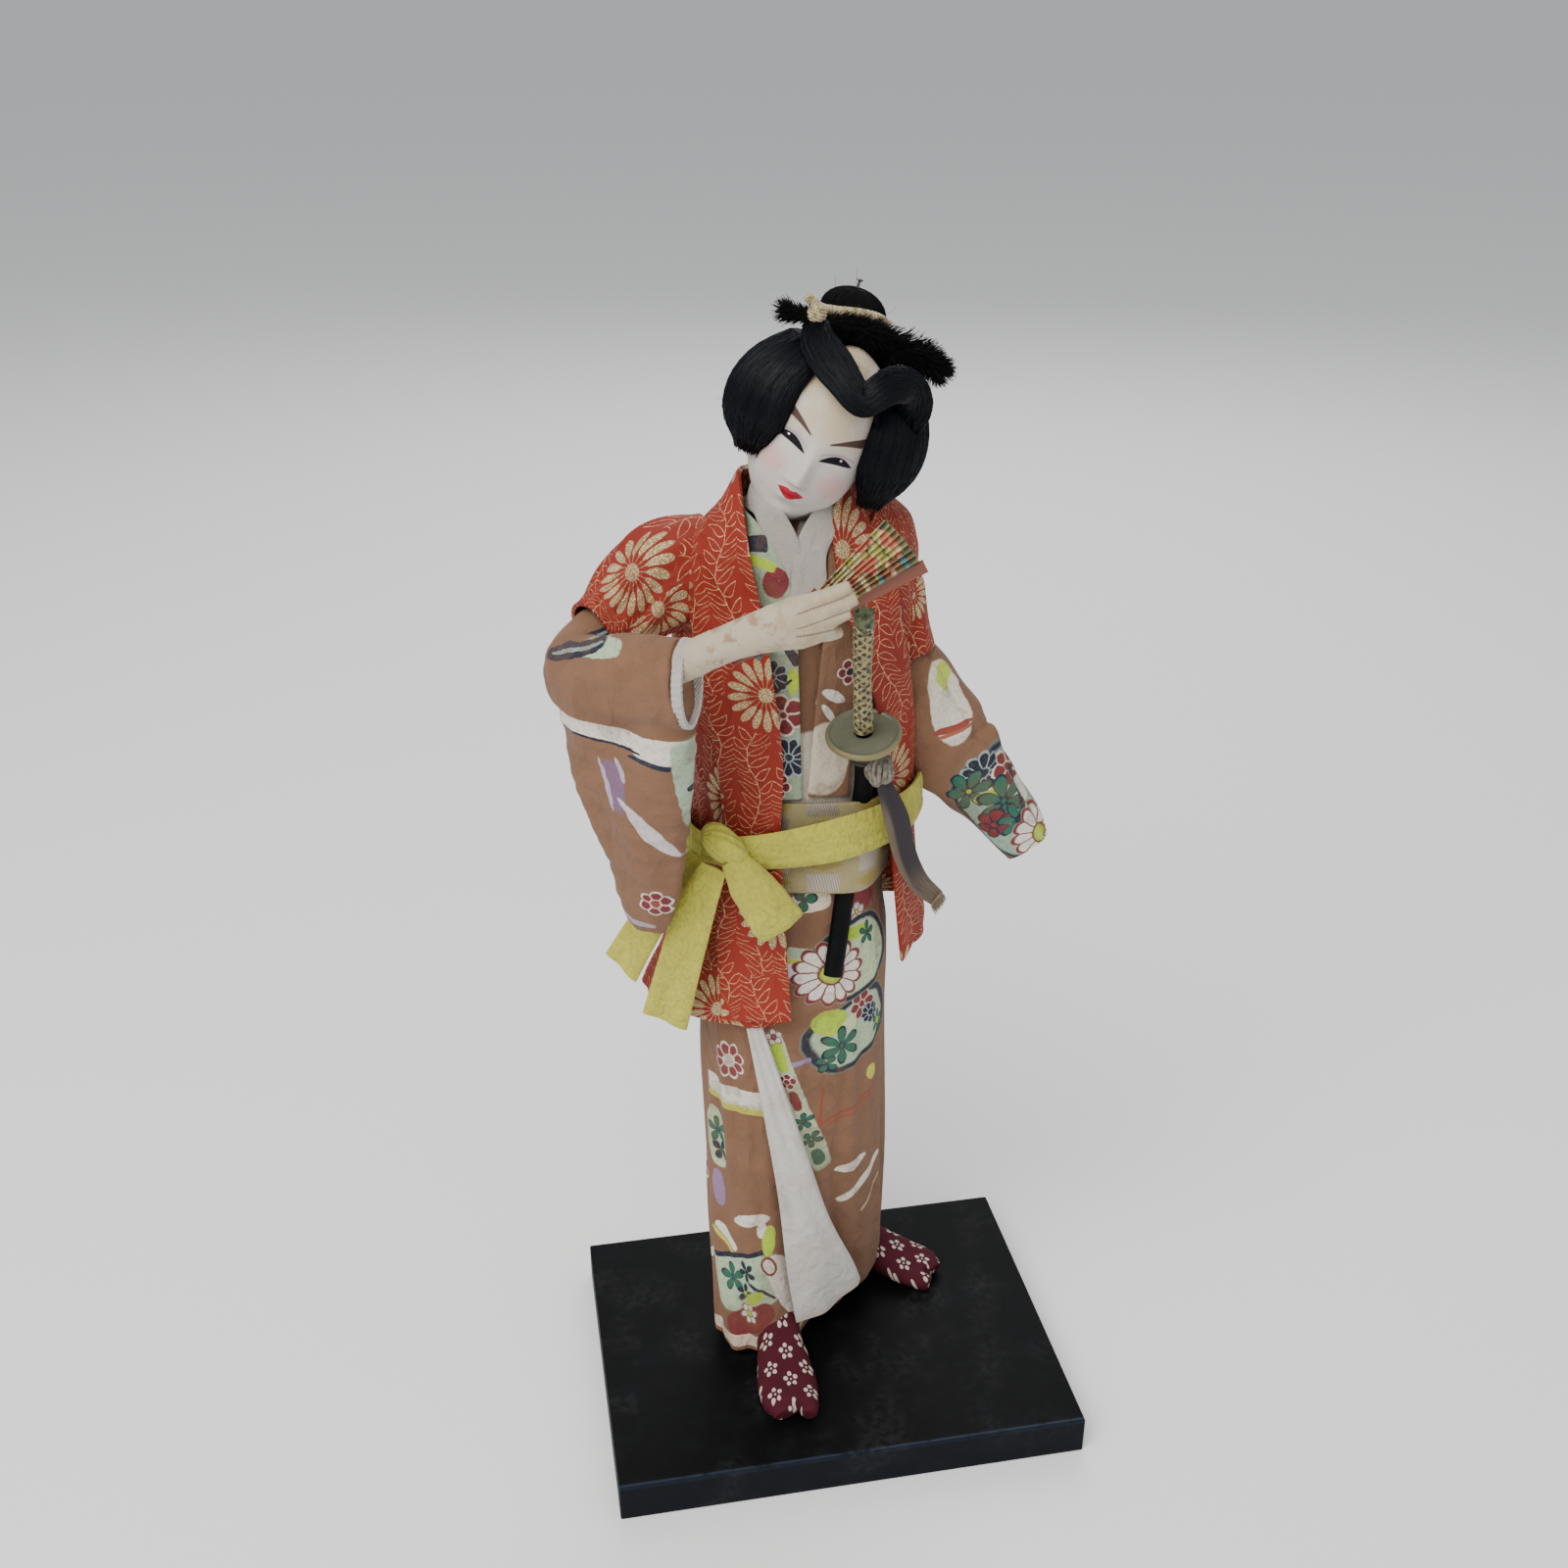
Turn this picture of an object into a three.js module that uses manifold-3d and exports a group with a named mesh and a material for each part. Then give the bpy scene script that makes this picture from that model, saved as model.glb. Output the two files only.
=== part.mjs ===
// Samurai doll: a cloth-dressed figure on a black lacquered board, with a fan and a sword.
// Millimetres, +Z up, the figure faces -Y, +X is its left; the origin is the middle of the
// board's underside.
import * as THREE from 'three';
import Module from 'manifold-3d';
import { mergeVertices } from 'three/addons/utils/BufferGeometryUtils.js';

const wasm = await Module();
wasm.setup();

// Driving dimensions
const BOARD = { width: 170, depth: 126, height: 15, edge: 1 };
const GAP = 0.3; // kept between pieces that touch
const BROCADE = 1.6; // thickness of the vest's cloth with its lining
const CLOTH = 1.3; // thickness of a single folded strip
const HEAD = { middle: [-5.8, 8, 361.2], halfWidth: 17.3, front: 18.3, back: 20.5, up: 32.5, down: 24.5 };
const HEAD_TURN = [0, 28, -11.5]; // degrees about X, Y and Z
const HAIR_TURN = [0, 18, -11.5]; // the wig sits ten degrees straighter than the face
const WAIST = { x: -6, y: 20, z: 237 };

const DEG = Math.PI / 180;
const rad = (degrees) => degrees * DEG;
const clamp = (t, low = 0, high = 1) => Math.min(high, Math.max(low, t));
const mix = (a, b, t) => a + (b - a) * t;
const ease = (t) => clamp(t) ** 2 * (3 - 2 * clamp(t));
const bell = (t, width) => Math.exp(-((t / width) ** 2));
const vec = (x, y, z) => new THREE.Vector3(x, y, z);
const power = (t, e) => Math.sign(t) * Math.abs(t) ** e;

// A smooth table: rows of [station, a, b, ...] become a function of the station
function track(rows) {
  const slope = (i, j, k) => (rows[j][k] - rows[i][k]) / (rows[j][0] - rows[i][0]);
  return (s) => {
    let i = 0;
    while (i < rows.length - 2 && s > rows[i + 1][0]) i += 1;
    const before = Math.max(i - 1, 0);
    const after = Math.min(i + 2, rows.length - 1);
    const span = rows[i + 1][0] - rows[i][0];
    const t = clamp((s - rows[i][0]) / span);
    return rows[i].slice(1).map((a, n) => {
      const b = rows[i + 1][n + 1];
      const m0 = slope(before, i + 1, n + 1) * span;
      const m1 = slope(i, after, n + 1) * span;
      const t2 = t * t;
      const t3 = t2 * t;
      return (2 * t3 - 3 * t2 + 1) * a + (t3 - 2 * t2 + t) * m0 + (3 * t2 - 2 * t3) * b + (t3 - t2) * m1;
    });
  };
}

// Rows without a station are spaced evenly from 0 to 1
const evenly = (rows) => track(rows.map((row, i) => [i / (rows.length - 1), ...row]));

// Closed geometry warped point by point, then turned outside out if it came out reversed
function warp(geometry, place) {
  geometry.deleteAttribute('normal');
  geometry.deleteAttribute('uv');
  const merged = mergeVertices(geometry, 1e-4);
  const at = merged.getAttribute('position');
  for (let i = 0; i < at.count; i += 1) {
    const p = place(at.getX(i), at.getY(i), at.getZ(i));
    at.setXYZ(i, p.x, p.y, p.z);
  }
  return solid(merged);
}

function solid(geometry) {
  const vertProperties = new Float32Array(geometry.getAttribute('position').array);
  const triVerts = new Uint32Array(geometry.getIndex().array);
  const point = (i) => vec(...vertProperties.subarray(i * 3, i * 3 + 3));
  let volume = 0;
  for (let i = 0; i < triVerts.length; i += 3) {
    const [a, b, c] = [0, 1, 2].map((k) => point(triVerts[i + k]));
    volume += a.dot(b.cross(c));
  }
  if (volume < 0) {
    for (let i = 0; i < triVerts.length; i += 3) {
      [triVerts[i + 1], triVerts[i + 2]] = [triVerts[i + 2], triVerts[i + 1]];
    }
  }
  return new wasm.Manifold(new wasm.Mesh({ numProp: 3, vertProperties, triVerts }));
}

// A skinned body: place(v, angle, out) with v up its length and out from 0 at the middle to 1
function loft(sides, rings, place) {
  const drum = new THREE.CylinderGeometry(1, 1, 1, sides, rings);
  return warp(drum, (x, y, z) => place(y + 0.5, Math.atan2(x, z), Math.hypot(x, z)));
}

// A strip or sheet with thickness: place(u, v, w), w from -0.5 inside to 0.5 outside
function sheet(columns, rows, place) {
  const box = new THREE.BoxGeometry(1, 1, 1, columns, rows, 1);
  return warp(box, (x, y, z) => place(x + 0.5, y + 0.5, z));
}

// A closed belt: place(v, angle, w) with v up its height, w from 0 inside to 1 outside
function belt(segments, rows, place) {
  const profile = [];
  for (let i = 0; i <= rows; i += 1) profile.push(new THREE.Vector2(2, i / rows));
  for (let i = rows; i >= 0; i -= 1) profile.push(new THREE.Vector2(1, i / rows));
  profile.push(new THREE.Vector2(2, 0));
  const ring = new THREE.LatheGeometry(profile, segments);
  return warp(ring, (x, y, z) => place(y, Math.atan2(x, z), Math.hypot(x, z) - 1));
}

// A round or flattened body along a path of [x, y, z, across, through] rows; across lies
// along side, and through stands square to it and to the path
function limb(rows, side, { sides = 12, rings = 10, roundness = 1 } = {}) {
  const along = evenly(rows);
  const middle = (v) => vec(...along(v).slice(0, 3));
  return loft(sides, rings, (v, angle, out) => {
    const tangent = middle(Math.min(v + 0.02, 1)).sub(middle(Math.max(v - 0.02, 0))).normalize();
    const wide = side.clone().addScaledVector(tangent, -side.dot(tangent)).normalize();
    const deep = tangent.clone().cross(wide);
    const [, , , a, b] = along(v);
    return middle(v)
      .addScaledVector(wide, a * out * power(Math.sin(angle), roundness))
      .addScaledVector(deep, b * out * power(Math.cos(angle), roundness));
  });
}

// A flat strip along a path of [x, y, z, width] rows, its face square to `face`
function strip(rows, face, thickness, { columns = 2, lengths = 12, slant = () => 0 } = {}) {
  const along = evenly(rows);
  const middle = (v) => vec(...along(v).slice(0, 3));
  return sheet(columns, lengths, (u, v, w) => {
    const tangent = middle(Math.min(v + 0.02, 1)).sub(middle(Math.max(v - 0.02, 0))).normalize();
    const out = face(v, middle(v));
    out.addScaledVector(tangent, -out.dot(tangent)).normalize();
    const across = out.clone().cross(tangent);
    return middle(v).addScaledVector(across, (u - 0.5) * along(v)[3]).addScaledVector(out, w * thickness)
      .add(vec(0, 0, (u - 0.5) * slant(v)));
  });
}

// The same solid swollen by a clearance, used to make room for it in a neighbour
function swollen(body, by = GAP) {
  const mesh = body.getMesh();
  const n = mesh.numProp;
  const count = mesh.vertProperties.length / n;
  const at = (i) => vec(...mesh.vertProperties.subarray(i * n, i * n + 3));
  const normals = Array.from({ length: count }, () => vec(0, 0, 0));
  for (let i = 0; i < mesh.triVerts.length; i += 3) {
    const ids = [0, 1, 2].map((k) => mesh.triVerts[i + k]);
    const [a, b, c] = ids.map(at);
    const corners = [[a, b, c], [b, c, a], [c, a, b]];
    const flat = b.clone().sub(a).cross(c.clone().sub(a)).normalize();
    corners.forEach(([p, q, r], k) => {
      normals[ids[k]].addScaledVector(flat, q.clone().sub(p).angleTo(r.clone().sub(p)));
    });
  }
  const moved = new Float32Array(count * 3);
  normals.forEach((normal, i) => at(i).addScaledVector(normal.normalize(), by).toArray(moved, i * 3));
  return new wasm.Manifold(
    new wasm.Mesh({ numProp: 3, vertProperties: moved, triVerts: new Uint32Array(mesh.triVerts) }),
  );
}

// A piece with room made in it for its neighbours; crumbs that a cut leaves are dropped
function roomFor(body, ...neighbours) {
  const cut = neighbours.reduce((rest, other) => rest.subtract(other), body);
  return cut.decompose().reduce((best, part) => (part.volume() > best.volume() ? part : best));
}

const joined = (...bodies) => bodies.reduce((all, body) => all.add(body));

const pieces = {};
function keep(name, body, colour, roughness = 0.85, metalness = 0) {
  pieces[name] = { body, colour, roughness, metalness };
  return body;
}

// The board and the split-toed socks

function makeBoard() {
  const { width, depth, height, edge } = BOARD;
  const outline = new THREE.Shape();
  outline.moveTo(-width / 2, -depth / 2);
  outline.lineTo(width / 2, -depth / 2);
  outline.lineTo(width / 2, depth / 2);
  outline.lineTo(-width / 2, depth / 2);
  outline.closePath();
  const slab = new THREE.ExtrudeGeometry(outline, {
    depth: height - 2 * edge, bevelThickness: edge, bevelSize: edge, bevelOffset: -edge, bevelSegments: 2,
  });
  slab.translate(0, 0, edge);
  return warp(slab, vec);
}

const SOLE = BOARD.height + GAP;
// Along the foot from the ankle: half-width and height
const FOOT = track([[-9, 4, 7], [-5, 7, 15], [4, 8.2, 20], [14, 8.6, 15], [24, 10, 11.5], [34, 11, 9],
  [42, 10, 7.5], [47, 7.5, 5.5], [49.5, 3, 3]]);
const RIGHT_FOOT = { ankle: [-18.6, 1.8], heading: vec(-0.03, -1, 0), reach: 1, split: 1 };
const LEFT_FOOT = { ankle: [17, 42], heading: vec(0.79, -0.61, 0), reach: 0.88, split: -1 };
const LEG_TOP = 33;

function makeSock({ ankle, heading, reach, split }) {
  const ahead = heading.clone().normalize();
  const left = vec(0, 0, 1).cross(ahead);
  const heel = vec(ankle[0], ankle[1], 0);
  const foot = loft(12, 9, (v, angle, out) => {
    const s = mix(-9, 49.5, v);
    const [half, high] = FOOT(s);
    const rise = clamp(((1 - Math.cos(angle)) / 2 - 0.1) / 0.9) ** 0.85;
    return heel.clone().addScaledVector(ahead, s * reach)
      .addScaledVector(left, out * half * power(Math.sin(angle), 0.75))
      .setZ(SOLE + high * (out * rise + (1 - out) * 0.5));
  });
  const leg = limb([[0, 0, SOLE + 4, 7, 8], [0, 0, SOLE + 14, 6.6, 7.6], [0, 0, LEG_TOP, 6.6, 7]]
    .map(([, , z, a, b]) => [ankle[0], ankle[1], z, a, b]), left, { sides: 10, rings: 2 });
  const slot = sheet(1, 1, (u, v, w) => heel.clone()
    .addScaledVector(ahead, mix(37.5, 52, v) * reach)
    .addScaledVector(left, split * 3.2 + w * mix(0.7, 1.5, v))
    .setZ(SOLE - 1 + u * 14));
  return roomFor(joined(foot, leg), slot);
}

// The kimono: a skirt drawn in between the legs, and the padded chest above it

// Height: centre x, y, half-width, half-depth, turn in degrees, how far the front is drawn in;
// the turn follows the left foot, which is set back and out
const SKIRT = track([[21, -5.5, 17, 40, 20.5, 36, 0.26], [45, -6, 17, 38, 21.5, 30, 0.2],
  [70, -7, 18, 35.5, 23.5, 22, 0.12], [110, -7.8, 19, 33.5, 25.5, 12, 0.05], [150, -8.3, 19.5, 33, 26, 5, 0],
  [186, -6.4, 20, 31.4, 25.2, 0, 0], [202, -5, 20, 27.8, 23.6, 0, 0], [236, -5, 20, 27.4, 23.4, 0, 0]]);
const SKIRT_FOLDS = 9;
const HEM = 20.5;

function skirtPoint(z, angle, scale = 1) {
  const [cx, cy, a, b, turn, drawn] = SKIRT(z);
  const loose = ease((236 - z) / 180);
  const folds = 1 + 0.022 * loose * Math.cos(SKIRT_FOLDS * angle + z * 0.02);
  const inward = 1 - drawn * bell(angle + 0.15, 0.5) - 0.08 * loose * bell(Math.abs(angle) - Math.PI, 0.6);
  const r = scale * folds * inward;
  return vec(r * a * power(Math.sin(angle), 0.9), -r * b * power(Math.cos(angle), 0.9), 0)
    .applyAxisAngle(vec(0, 0, 1), rad(turn)).add(vec(cx, cy, z));
}

function makeSkirt() {
  const lift = (angle) => 8 * bell(angle - 1, 0.6) - 1.2 * bell(angle + 0.9, 0.5);
  const outside = loft(20, 7, (v, angle, out) => {
    const z = mix(HEM, 236, v ** 1.1);
    return skirtPoint(z, angle, 0).lerp(skirtPoint(z, angle), out).setZ(z + (1 - v) ** 6 * lift(angle) * out);
  });
  const hollow = loft(16, 1, (v, angle, out) => {
    const z = mix(HEM - 5, HEM + 13, v);
    return skirtPoint(z, angle, 0).lerp(skirtPoint(Math.max(z, HEM), angle, 0.9), out).setZ(z);
  });
  return outside.subtract(hollow);
}

// The white lining of the front panel, turned back in a long triangle
function makeLiningFlap() {
  const fold = evenly([[-30, -8.6, 164], [-21.5, -10.6, 108], [-17, -10.5, 66], [-12.5, -9, 29]]);
  const free = evenly([[-24.5, -8.9, 164], [-8, -9.8, 106], [4.2, -6.5, 66], [14.8, 1, 36]]);
  return sheet(3, 9, (u, v, w) => {
    const left = vec(...fold(v));
    const right = vec(...free(v));
    const across = right.clone().sub(left);
    const out = vec(across.y, -across.x, 0).normalize();
    return left.lerp(right, u).addScaledVector(out, w * 1.2 + 1.6 * Math.sin(Math.PI * u) * v + 0.4);
  });
}

const CHEST = track([[236.5, -5, 20, 27.4, 23.4], [248, -5, 20, 27.6, 22.6], [262, -6, 19, 30, 21.5],
  [285, -7, 18, 33, 20.4],
  [305, -8, 18, 33, 20], [318, -8, 18, 32, 19], [326, -7, 17, 27, 17.5],
  [333, -6, 16, 18, 14], [338, -6, 15, 12, 11]]);

function makeChest() {
  return loft(16, 6, (v, angle, out) => {
    const z = mix(236.5, 338, v);
    const [cx, cy, a, b] = CHEST(z);
    return vec(cx + out * a * Math.sin(angle), cy - out * b * Math.cos(angle), z);
  });
}

// Faces away from the trunk, which is wider than deep, and a little up
const outward = (cx, cy, broad = 1.8) => (v, p) => {
  const flat = vec((p.x - cx) / broad, p.y - cy, 0).normalize();
  return flat.setZ(0.3);
};

// Both collars run up the figure's right front, round the nape and down over the left front
function makeKimonoCollar() {
  return strip([[-15.2, -3.6, 247.5, 10], [-17.5, -3.6, 290, 12], [-19.5, -3.8, 316, 13], [-25, -1, 333, 10],
    [-28, 12, 338, 9], [-21, 26, 338, 9], [-6, 30.5, 338, 9], [9, 26, 338, 9], [11, 13, 338, 10],
    [4.5, -0.5, 333, 13],
    [3.5, -4.4, 312, 14], [1.5, -4.8, 285, 15], [-1.5, -4, 247.5, 14]],
  outward(-6, 16), CLOTH, { columns: 1, lengths: 24 });
}

function makeUnderCollar() {
  return strip([[-11, -3.8, 306, 8], [-14, -5, 322, 9], [-17, -3.8, 335, 9.5], [-22, 0.5, 344.5, 8],
    [-24.5, 12, 345, 8], [-18, 22, 344, 8], [-6, 26, 344, 8], [5, 22, 344, 8], [6.5, 12, 344, 9],
    [-1.5, -0.5, 341, 10], [-8, -5.2, 332, 10], [-9, -7, 320, 11], [-9.5, -7.2, 305, 11.5]],
    outward(-8, 14, 1.3), CLOTH, { columns: 1, lengths: 24 });
}

// The brocade vest, open in front and tied in at the waist

const VEST = track([[165, -12, 20, 50, 31], [185, -7.5, 20, 45.5, 30], [210, -6.5, 20, 40.5, 28],
  [237, -6.8, 20, 36.8, 26.4], [260, -7.5, 20, 38.5, 26.5], [285, -8, 20, 40, 26.5], [305, -8, 20, 40, 25.5],
  [322, -6, 20, 38, 23], [334, -4.5, 20, 33.5, 19], [340, -5, 20, 28, 17]]);
const VEST_EDGES = track([[165, -18, 29], [210, -18.5, 27], [240, -20, 25], [258, -19, 19], [275, -20, 17],
  [295, -24, 13], [310, -27, 10], [322, -28, 9], [334, -30, 12], [340, -30, 15]]);
const VEST_HEM = 165;
const VEST_TOP = 340;

function vestPoint(z, angle, inset = 0) {
  const [cx, cy, a, b] = VEST(z);
  const loose = ease((232 - z) / 60) + 0.3 * ease((z - 245) / 30) * ease((330 - z) / 20);
  const fold = 1.1 * loose * Math.cos(8 * angle + 0.015 * z);
  return vec(cx + (a - inset + fold) * Math.sin(angle), cy - (b - inset + fold) * Math.cos(angle), z);
}

function vestAngles(z) {
  const [cx, , a] = VEST(z);
  const [right, left] = VEST_EDGES(z);
  return [Math.asin(clamp((right - cx) / a, -1, 1)), Math.asin(clamp((left - cx) / a, -1, 1)) - 2 * Math.PI];
}

function makeVestBody() {
  return sheet(20, 8, (u, v, w) => {
    const z = mix(VEST_HEM, VEST_TOP, v);
    const [start, end] = vestAngles(z);
    const angle = mix(start, end, u);
    const near = (1 - v) ** 5;
    const lift = 11 * ease((u - 0.35) / 0.2) + 12 * ease((u - 0.62) / 0.2) - 6 * bell(u - 1, 0.07);
    return vestPoint(z, angle, (0.5 - w) * BROCADE).setZ(z + near * lift);
  });
}

const VEST_SLEEVES = {
  right: { path: [[-38, 20, 317, 19.5, 15], [-50, 17, 317.5, 18.2, 14], [-60, 12.5, 313.5, 15.2, 12],
    [-69, 6.5, 308.5, 12, 10.6], [-74.5, 3, 306.5, 10.5, 10]], across: vec(0.25, 0.3, 1) },
  left: { path: [[14, 20, 321, 13, 13], [20.5, 20, 314, 12, 13.5], [25, 19.5, 303, 10, 12.5],
    [29, 18, 288, 9.5, 11]],
    across: vec(1, 0, 0.3) },
};

function makeVestSleeve(side) {
  const { path, across } = VEST_SLEEVES[side];
  return limb(path, across, { sides: 12, rings: 5 });
}

// The vest's collar band: up one edge of the opening, round the nape and down the other
const BAND = [[-27, -11.7, 168, 24], [-28, -7.4, 200, 24], [-27, -4.2, 237, 20], [-27.5, -5, 262, 22],
  [-31, -4.8, 290, 23], [-34.5, -3, 312, 24], [-36, 1.5, 330, 22], [-33, 13, 342, 20], [-23, 29, 342, 18],
  [-6, 35.5, 341, 18], [9, 30, 341, 19], [15, 18, 341.5, 21], [10, 3.5, 337, 24], [10.5, -5, 321, 21],
  [13, -7, 308, 19], [17.5, -6, 292, 17.5], [21.5, -3.4, 275, 17], [24, -0.5, 258, 17], [25.5, 1.8, 238, 15],
  [27.5, 1, 212, 15], [30, 0.6, 185, 13]];

function makeBand() {
  return strip(BAND, outward(-6, 20), BROCADE, {
    columns: 2, lengths: 30, slant: (v) => 7 * ease((v - 0.95) / 0.05),
  });
}

// The sleeves of the kimono

const RIGHT_ARM = [[-64, 9, 308, 8.5, 8.5], [-74.5, 4, 302.5, 10.5, 9.5], [-79.5, -4, 297, 12, 11.4],
  [-73.5, -15, 298.5, 13.5, 11], [-62, -25, 301, 14.2, 9.5], [-51.5, -33.5, 302.5, 14.2, 8]];
// Height: centre x, y, half-length, half-thickness of the hanging bag
const RIGHT_BAG = track([[206, -62, -8.5, 6, 2.2], [212, -62.2, -9.2, 9, 4], [235, -63, -12.5, 14.2, 6.3],
  [257, -65.4, -15.5, 19.4, 8.2], [283, -66.6, -17, 22.4, 10.4], [300, -66.5, -18, 22, 10.5]]);
const BAG_LINE = vec(0.79, -0.61, 0).normalize();

function makeRightSleeve(cuff) {
  const arm = limb(RIGHT_ARM, vec(0, 0, 1), { sides: 10, rings: 8 });
  const across = vec(0, 0, 1).cross(BAG_LINE);
  const bag = loft(14, 5, (v, angle, out) => {
    const z = mix(206, 300, v);
    const [cx, cy, long, thick] = RIGHT_BAG(z);
    const drape = 1 + 0.08 * Math.sin(3 * angle + z * 0.05);
    return vec(cx, cy, z).addScaledVector(BAG_LINE, out * long * Math.sin(angle))
      .addScaledVector(across, out * thick * drape * power(Math.cos(angle), 0.8));
  });
  return roomFor(joined(arm, bag), cuff);
}

const CUFF_FACE = vec(0.83, -0.55, 0.02).normalize();

function cuffRing(length, inset, deep = 0) {
  const middle = vec(-50.4, -34.4, 303);
  const across = vec(0, 0, 1).cross(CUFF_FACE);
  return loft(14, 1, (v, angle, out) => middle.clone().addScaledVector(CUFF_FACE, mix(-length, deep, v))
    .add(vec(0, 0, out * (14.6 - inset) * Math.cos(angle)))
    .addScaledVector(across, out * (8.2 - inset) * Math.sin(angle)));
}

const LEFT_ARM = [[26, 18, 293, 7, 7.5], [33, 17, 278, 12.5, 9.5], [41, 14.5, 259, 15.5, 10],
  [49.7, 12, 246.5, 14, 9],
  [58, 9.5, 236.5, 12.4, 8], [66, 7.4, 226, 10.4, 6.5], [71.5, 5.5, 217, 8, 3.8]];

function makeLeftSleeve() {
  const arm = limb(LEFT_ARM, vec(0.85, 0.05, 0.5), { sides: 12, rings: 10 });
  const mouth = limb([[74.5, 1, 221, 5, 1.8], [69, 0.6, 214, 5, 1.8], [65, 0.6, 208, 4.5, 1.6]],
    vec(0.7, 0, -0.6),
    { sides: 8, rings: 2 });
  return roomFor(arm, mouth);
}

// The right hand in its sewn cloth skin: forearm, palm, joined fingers and a little finger apart

const FOREARM = [[-55.5, -30, 307, 5.6, 5], [-51.5, -33.2, 309.2, 5.6, 5.4], [-39, -43, 318.4, 5.4, 5.1],
  [-28, -48.2, 323.6, 6.6, 5], [-20, -50.4, 326, 7.8, 4.6], [-12, -51, 328.2, 7.6, 4.2]];
const FINGERS = [[-16, -51, 329.5, 6.6, 4], [-10, -51.6, 331.7, 5.8, 3.6], [-5.6, -51.8, 333, 4.4, 2.8]];
const LITTLE = [[-18, -49.8, 322.5, 2.8, 3.2], [-12, -50, 321.9, 2.4, 2.8], [-7.8, -49.6, 322.2, 1.8, 2]];

function makeHand() {
  const up = vec(0, 0, 1);
  const arm = limb(FOREARM, up, { sides: 10, rings: 8 });
  const slab = limb(FINGERS, up, { sides: 10, rings: 3 });
  const little = limb(LITTLE, up, { sides: 8, rings: 3 });
  const slit = (lift) => sheet(1, 1, (u, v, w) => vec(mix(-14, -4, v), -56 + u * 3.2,
    331 + lift + 2.2 * v + w * 0.5));
  return roomFor(joined(arm, slab, little), slit(2.1), slit(-1.9));
}

// The half-closed fan under the hand

const FAN = { pivot: vec(-31, -42.5, 314), reach: 53, low: rad(30), high: rad(48.5) };

// The fan opens in one plane, spanned by a level and a steep direction that both lean forward
const FAN_LEVEL = vec(1, -0.07, 0).normalize();
const FAN_STEEP = vec(0, -0.07, 1).normalize();
const FAN_BACK = FAN_STEEP.clone().cross(FAN_LEVEL).normalize();

function fanPoint(r, angle, out) {
  return FAN.pivot.clone().addScaledVector(FAN_LEVEL, r * Math.cos(angle))
    .addScaledVector(FAN_STEEP, r * Math.sin(angle)).addScaledVector(FAN_BACK, out);
}

function makeFanLeaf() {
  const pleats = 8;
  return sheet(pleats * 2, 1, (u, v, w) => {
    const zigzag = (Math.round(u * pleats * 2) % 2 ? 0.8 : -0.8);
    const angle = mix(FAN.low + 0.02, FAN.high, u);
    return fanPoint(mix(24, FAN.reach - 0.8 * Math.abs(zigzag), v), angle, zigzag + w * 0.8);
  });
}

// The outer stick lies behind the inner ones and a little lower
function makeFanGuard() {
  const angle = FAN.low - 0.045;
  return sheet(1, 1, (u, v, w) => fanPoint(mix(-7, FAN.reach, v), angle, 1.8 + w * 1.6)
    .add(fanPoint((u - 0.5) * mix(2.2, 3.6, v), angle + Math.PI / 2, 0)).sub(FAN.pivot));
}

function makeFanRibs() {
  return sheet(4, 1, (u, v, w) => fanPoint(mix(4, 23.4, v), mix(FAN.low - 0.03, FAN.high, u), w * 1.3));
}

// The obi, and the crepe sash tied round the vest in a half bow

// How far the belt cloth stands out where the scabbard is pushed in behind it
const overScabbard = (v, angle) => bell(angle - mix(rad(21), rad(31), v), 0.34);

function makeObi() {
  return belt(28, 1, (v, angle, w) => {
    const z = mix(213, 246, v);
    const r = 1.4 * w + 4.2 * overScabbard(v, angle);
    return vec(-5 + (28.6 + r) * power(Math.sin(angle), 0.9),
      20 - (24.6 + r) * power(Math.cos(angle), 0.9), z);
  });
}

const SASH = { halfWidth: 41, front: 32.6, back: 29, height: 16, thick: 1.6 };

function sashPoint(v, angle, w) {
  const height = mix(10.5, SASH.height, clamp(Math.abs(angle + 0.95) / 1.1));
  const z = WAIST.z - 2.5 + 6 * Math.sin(angle) + (v - 0.5) * height;
  const r = (w - 1) * SASH.thick + 0.6 * Math.sin(Math.PI * v);
  const deep = Math.cos(angle) > 0 ? SASH.front : SASH.back;
  return vec(WAIST.x + (SASH.halfWidth + r) * power(Math.sin(angle), 0.94),
    WAIST.y - (deep + r) * power(Math.cos(angle), 0.82), z);
}

const KNOT = vec(-36.5, -9, 235);

function makeKnot() {
  return loft(12, 7, (v, angle, out) => {
    const t = Math.sin(Math.PI * clamp(v, 0.02, 0.98)) ** 0.6;
    const twist = angle + 0.9 * (v - 0.5);
    const r = t * out * (1 + 0.1 * Math.cos(3 * twist));
    return KNOT.clone().add(vec(mix(-7.6, 7.6, v), 0, mix(4, -4, v)))
      .add(vec(2.2 * r * Math.cos(twist), -5.2 * r * Math.cos(twist), 7 * r * Math.sin(twist)));
  });
}

function makeSashLoop() {
  return limb([[-34, -10.5, 231, 4.5, 2.6], [-29.5, -13.6, 223.5, 7, 3.4], [-24.5, -15.4, 215.5, 8.2, 3.6],
    [-20.5, -15.8, 209, 8.6, 3], [-18.8, -15.6, 206.4, 8.2, 2.2]], vec(0.75, 0, 0.66),
    { sides: 10, rings: 6 });
}

const FACING = (x, y) => () => vec(x, y, 0.1);

function makeFrontTail() {
  return strip([[-40.5, -10, 228, 9], [-47, -10, 212, 13.5], [-52.5, -8, 190, 15], [-57.5, -4.5, 167, 16.5]],
    FACING(-0.45, -0.9), 1.4, { columns: 1, lengths: 6 });
}

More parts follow.
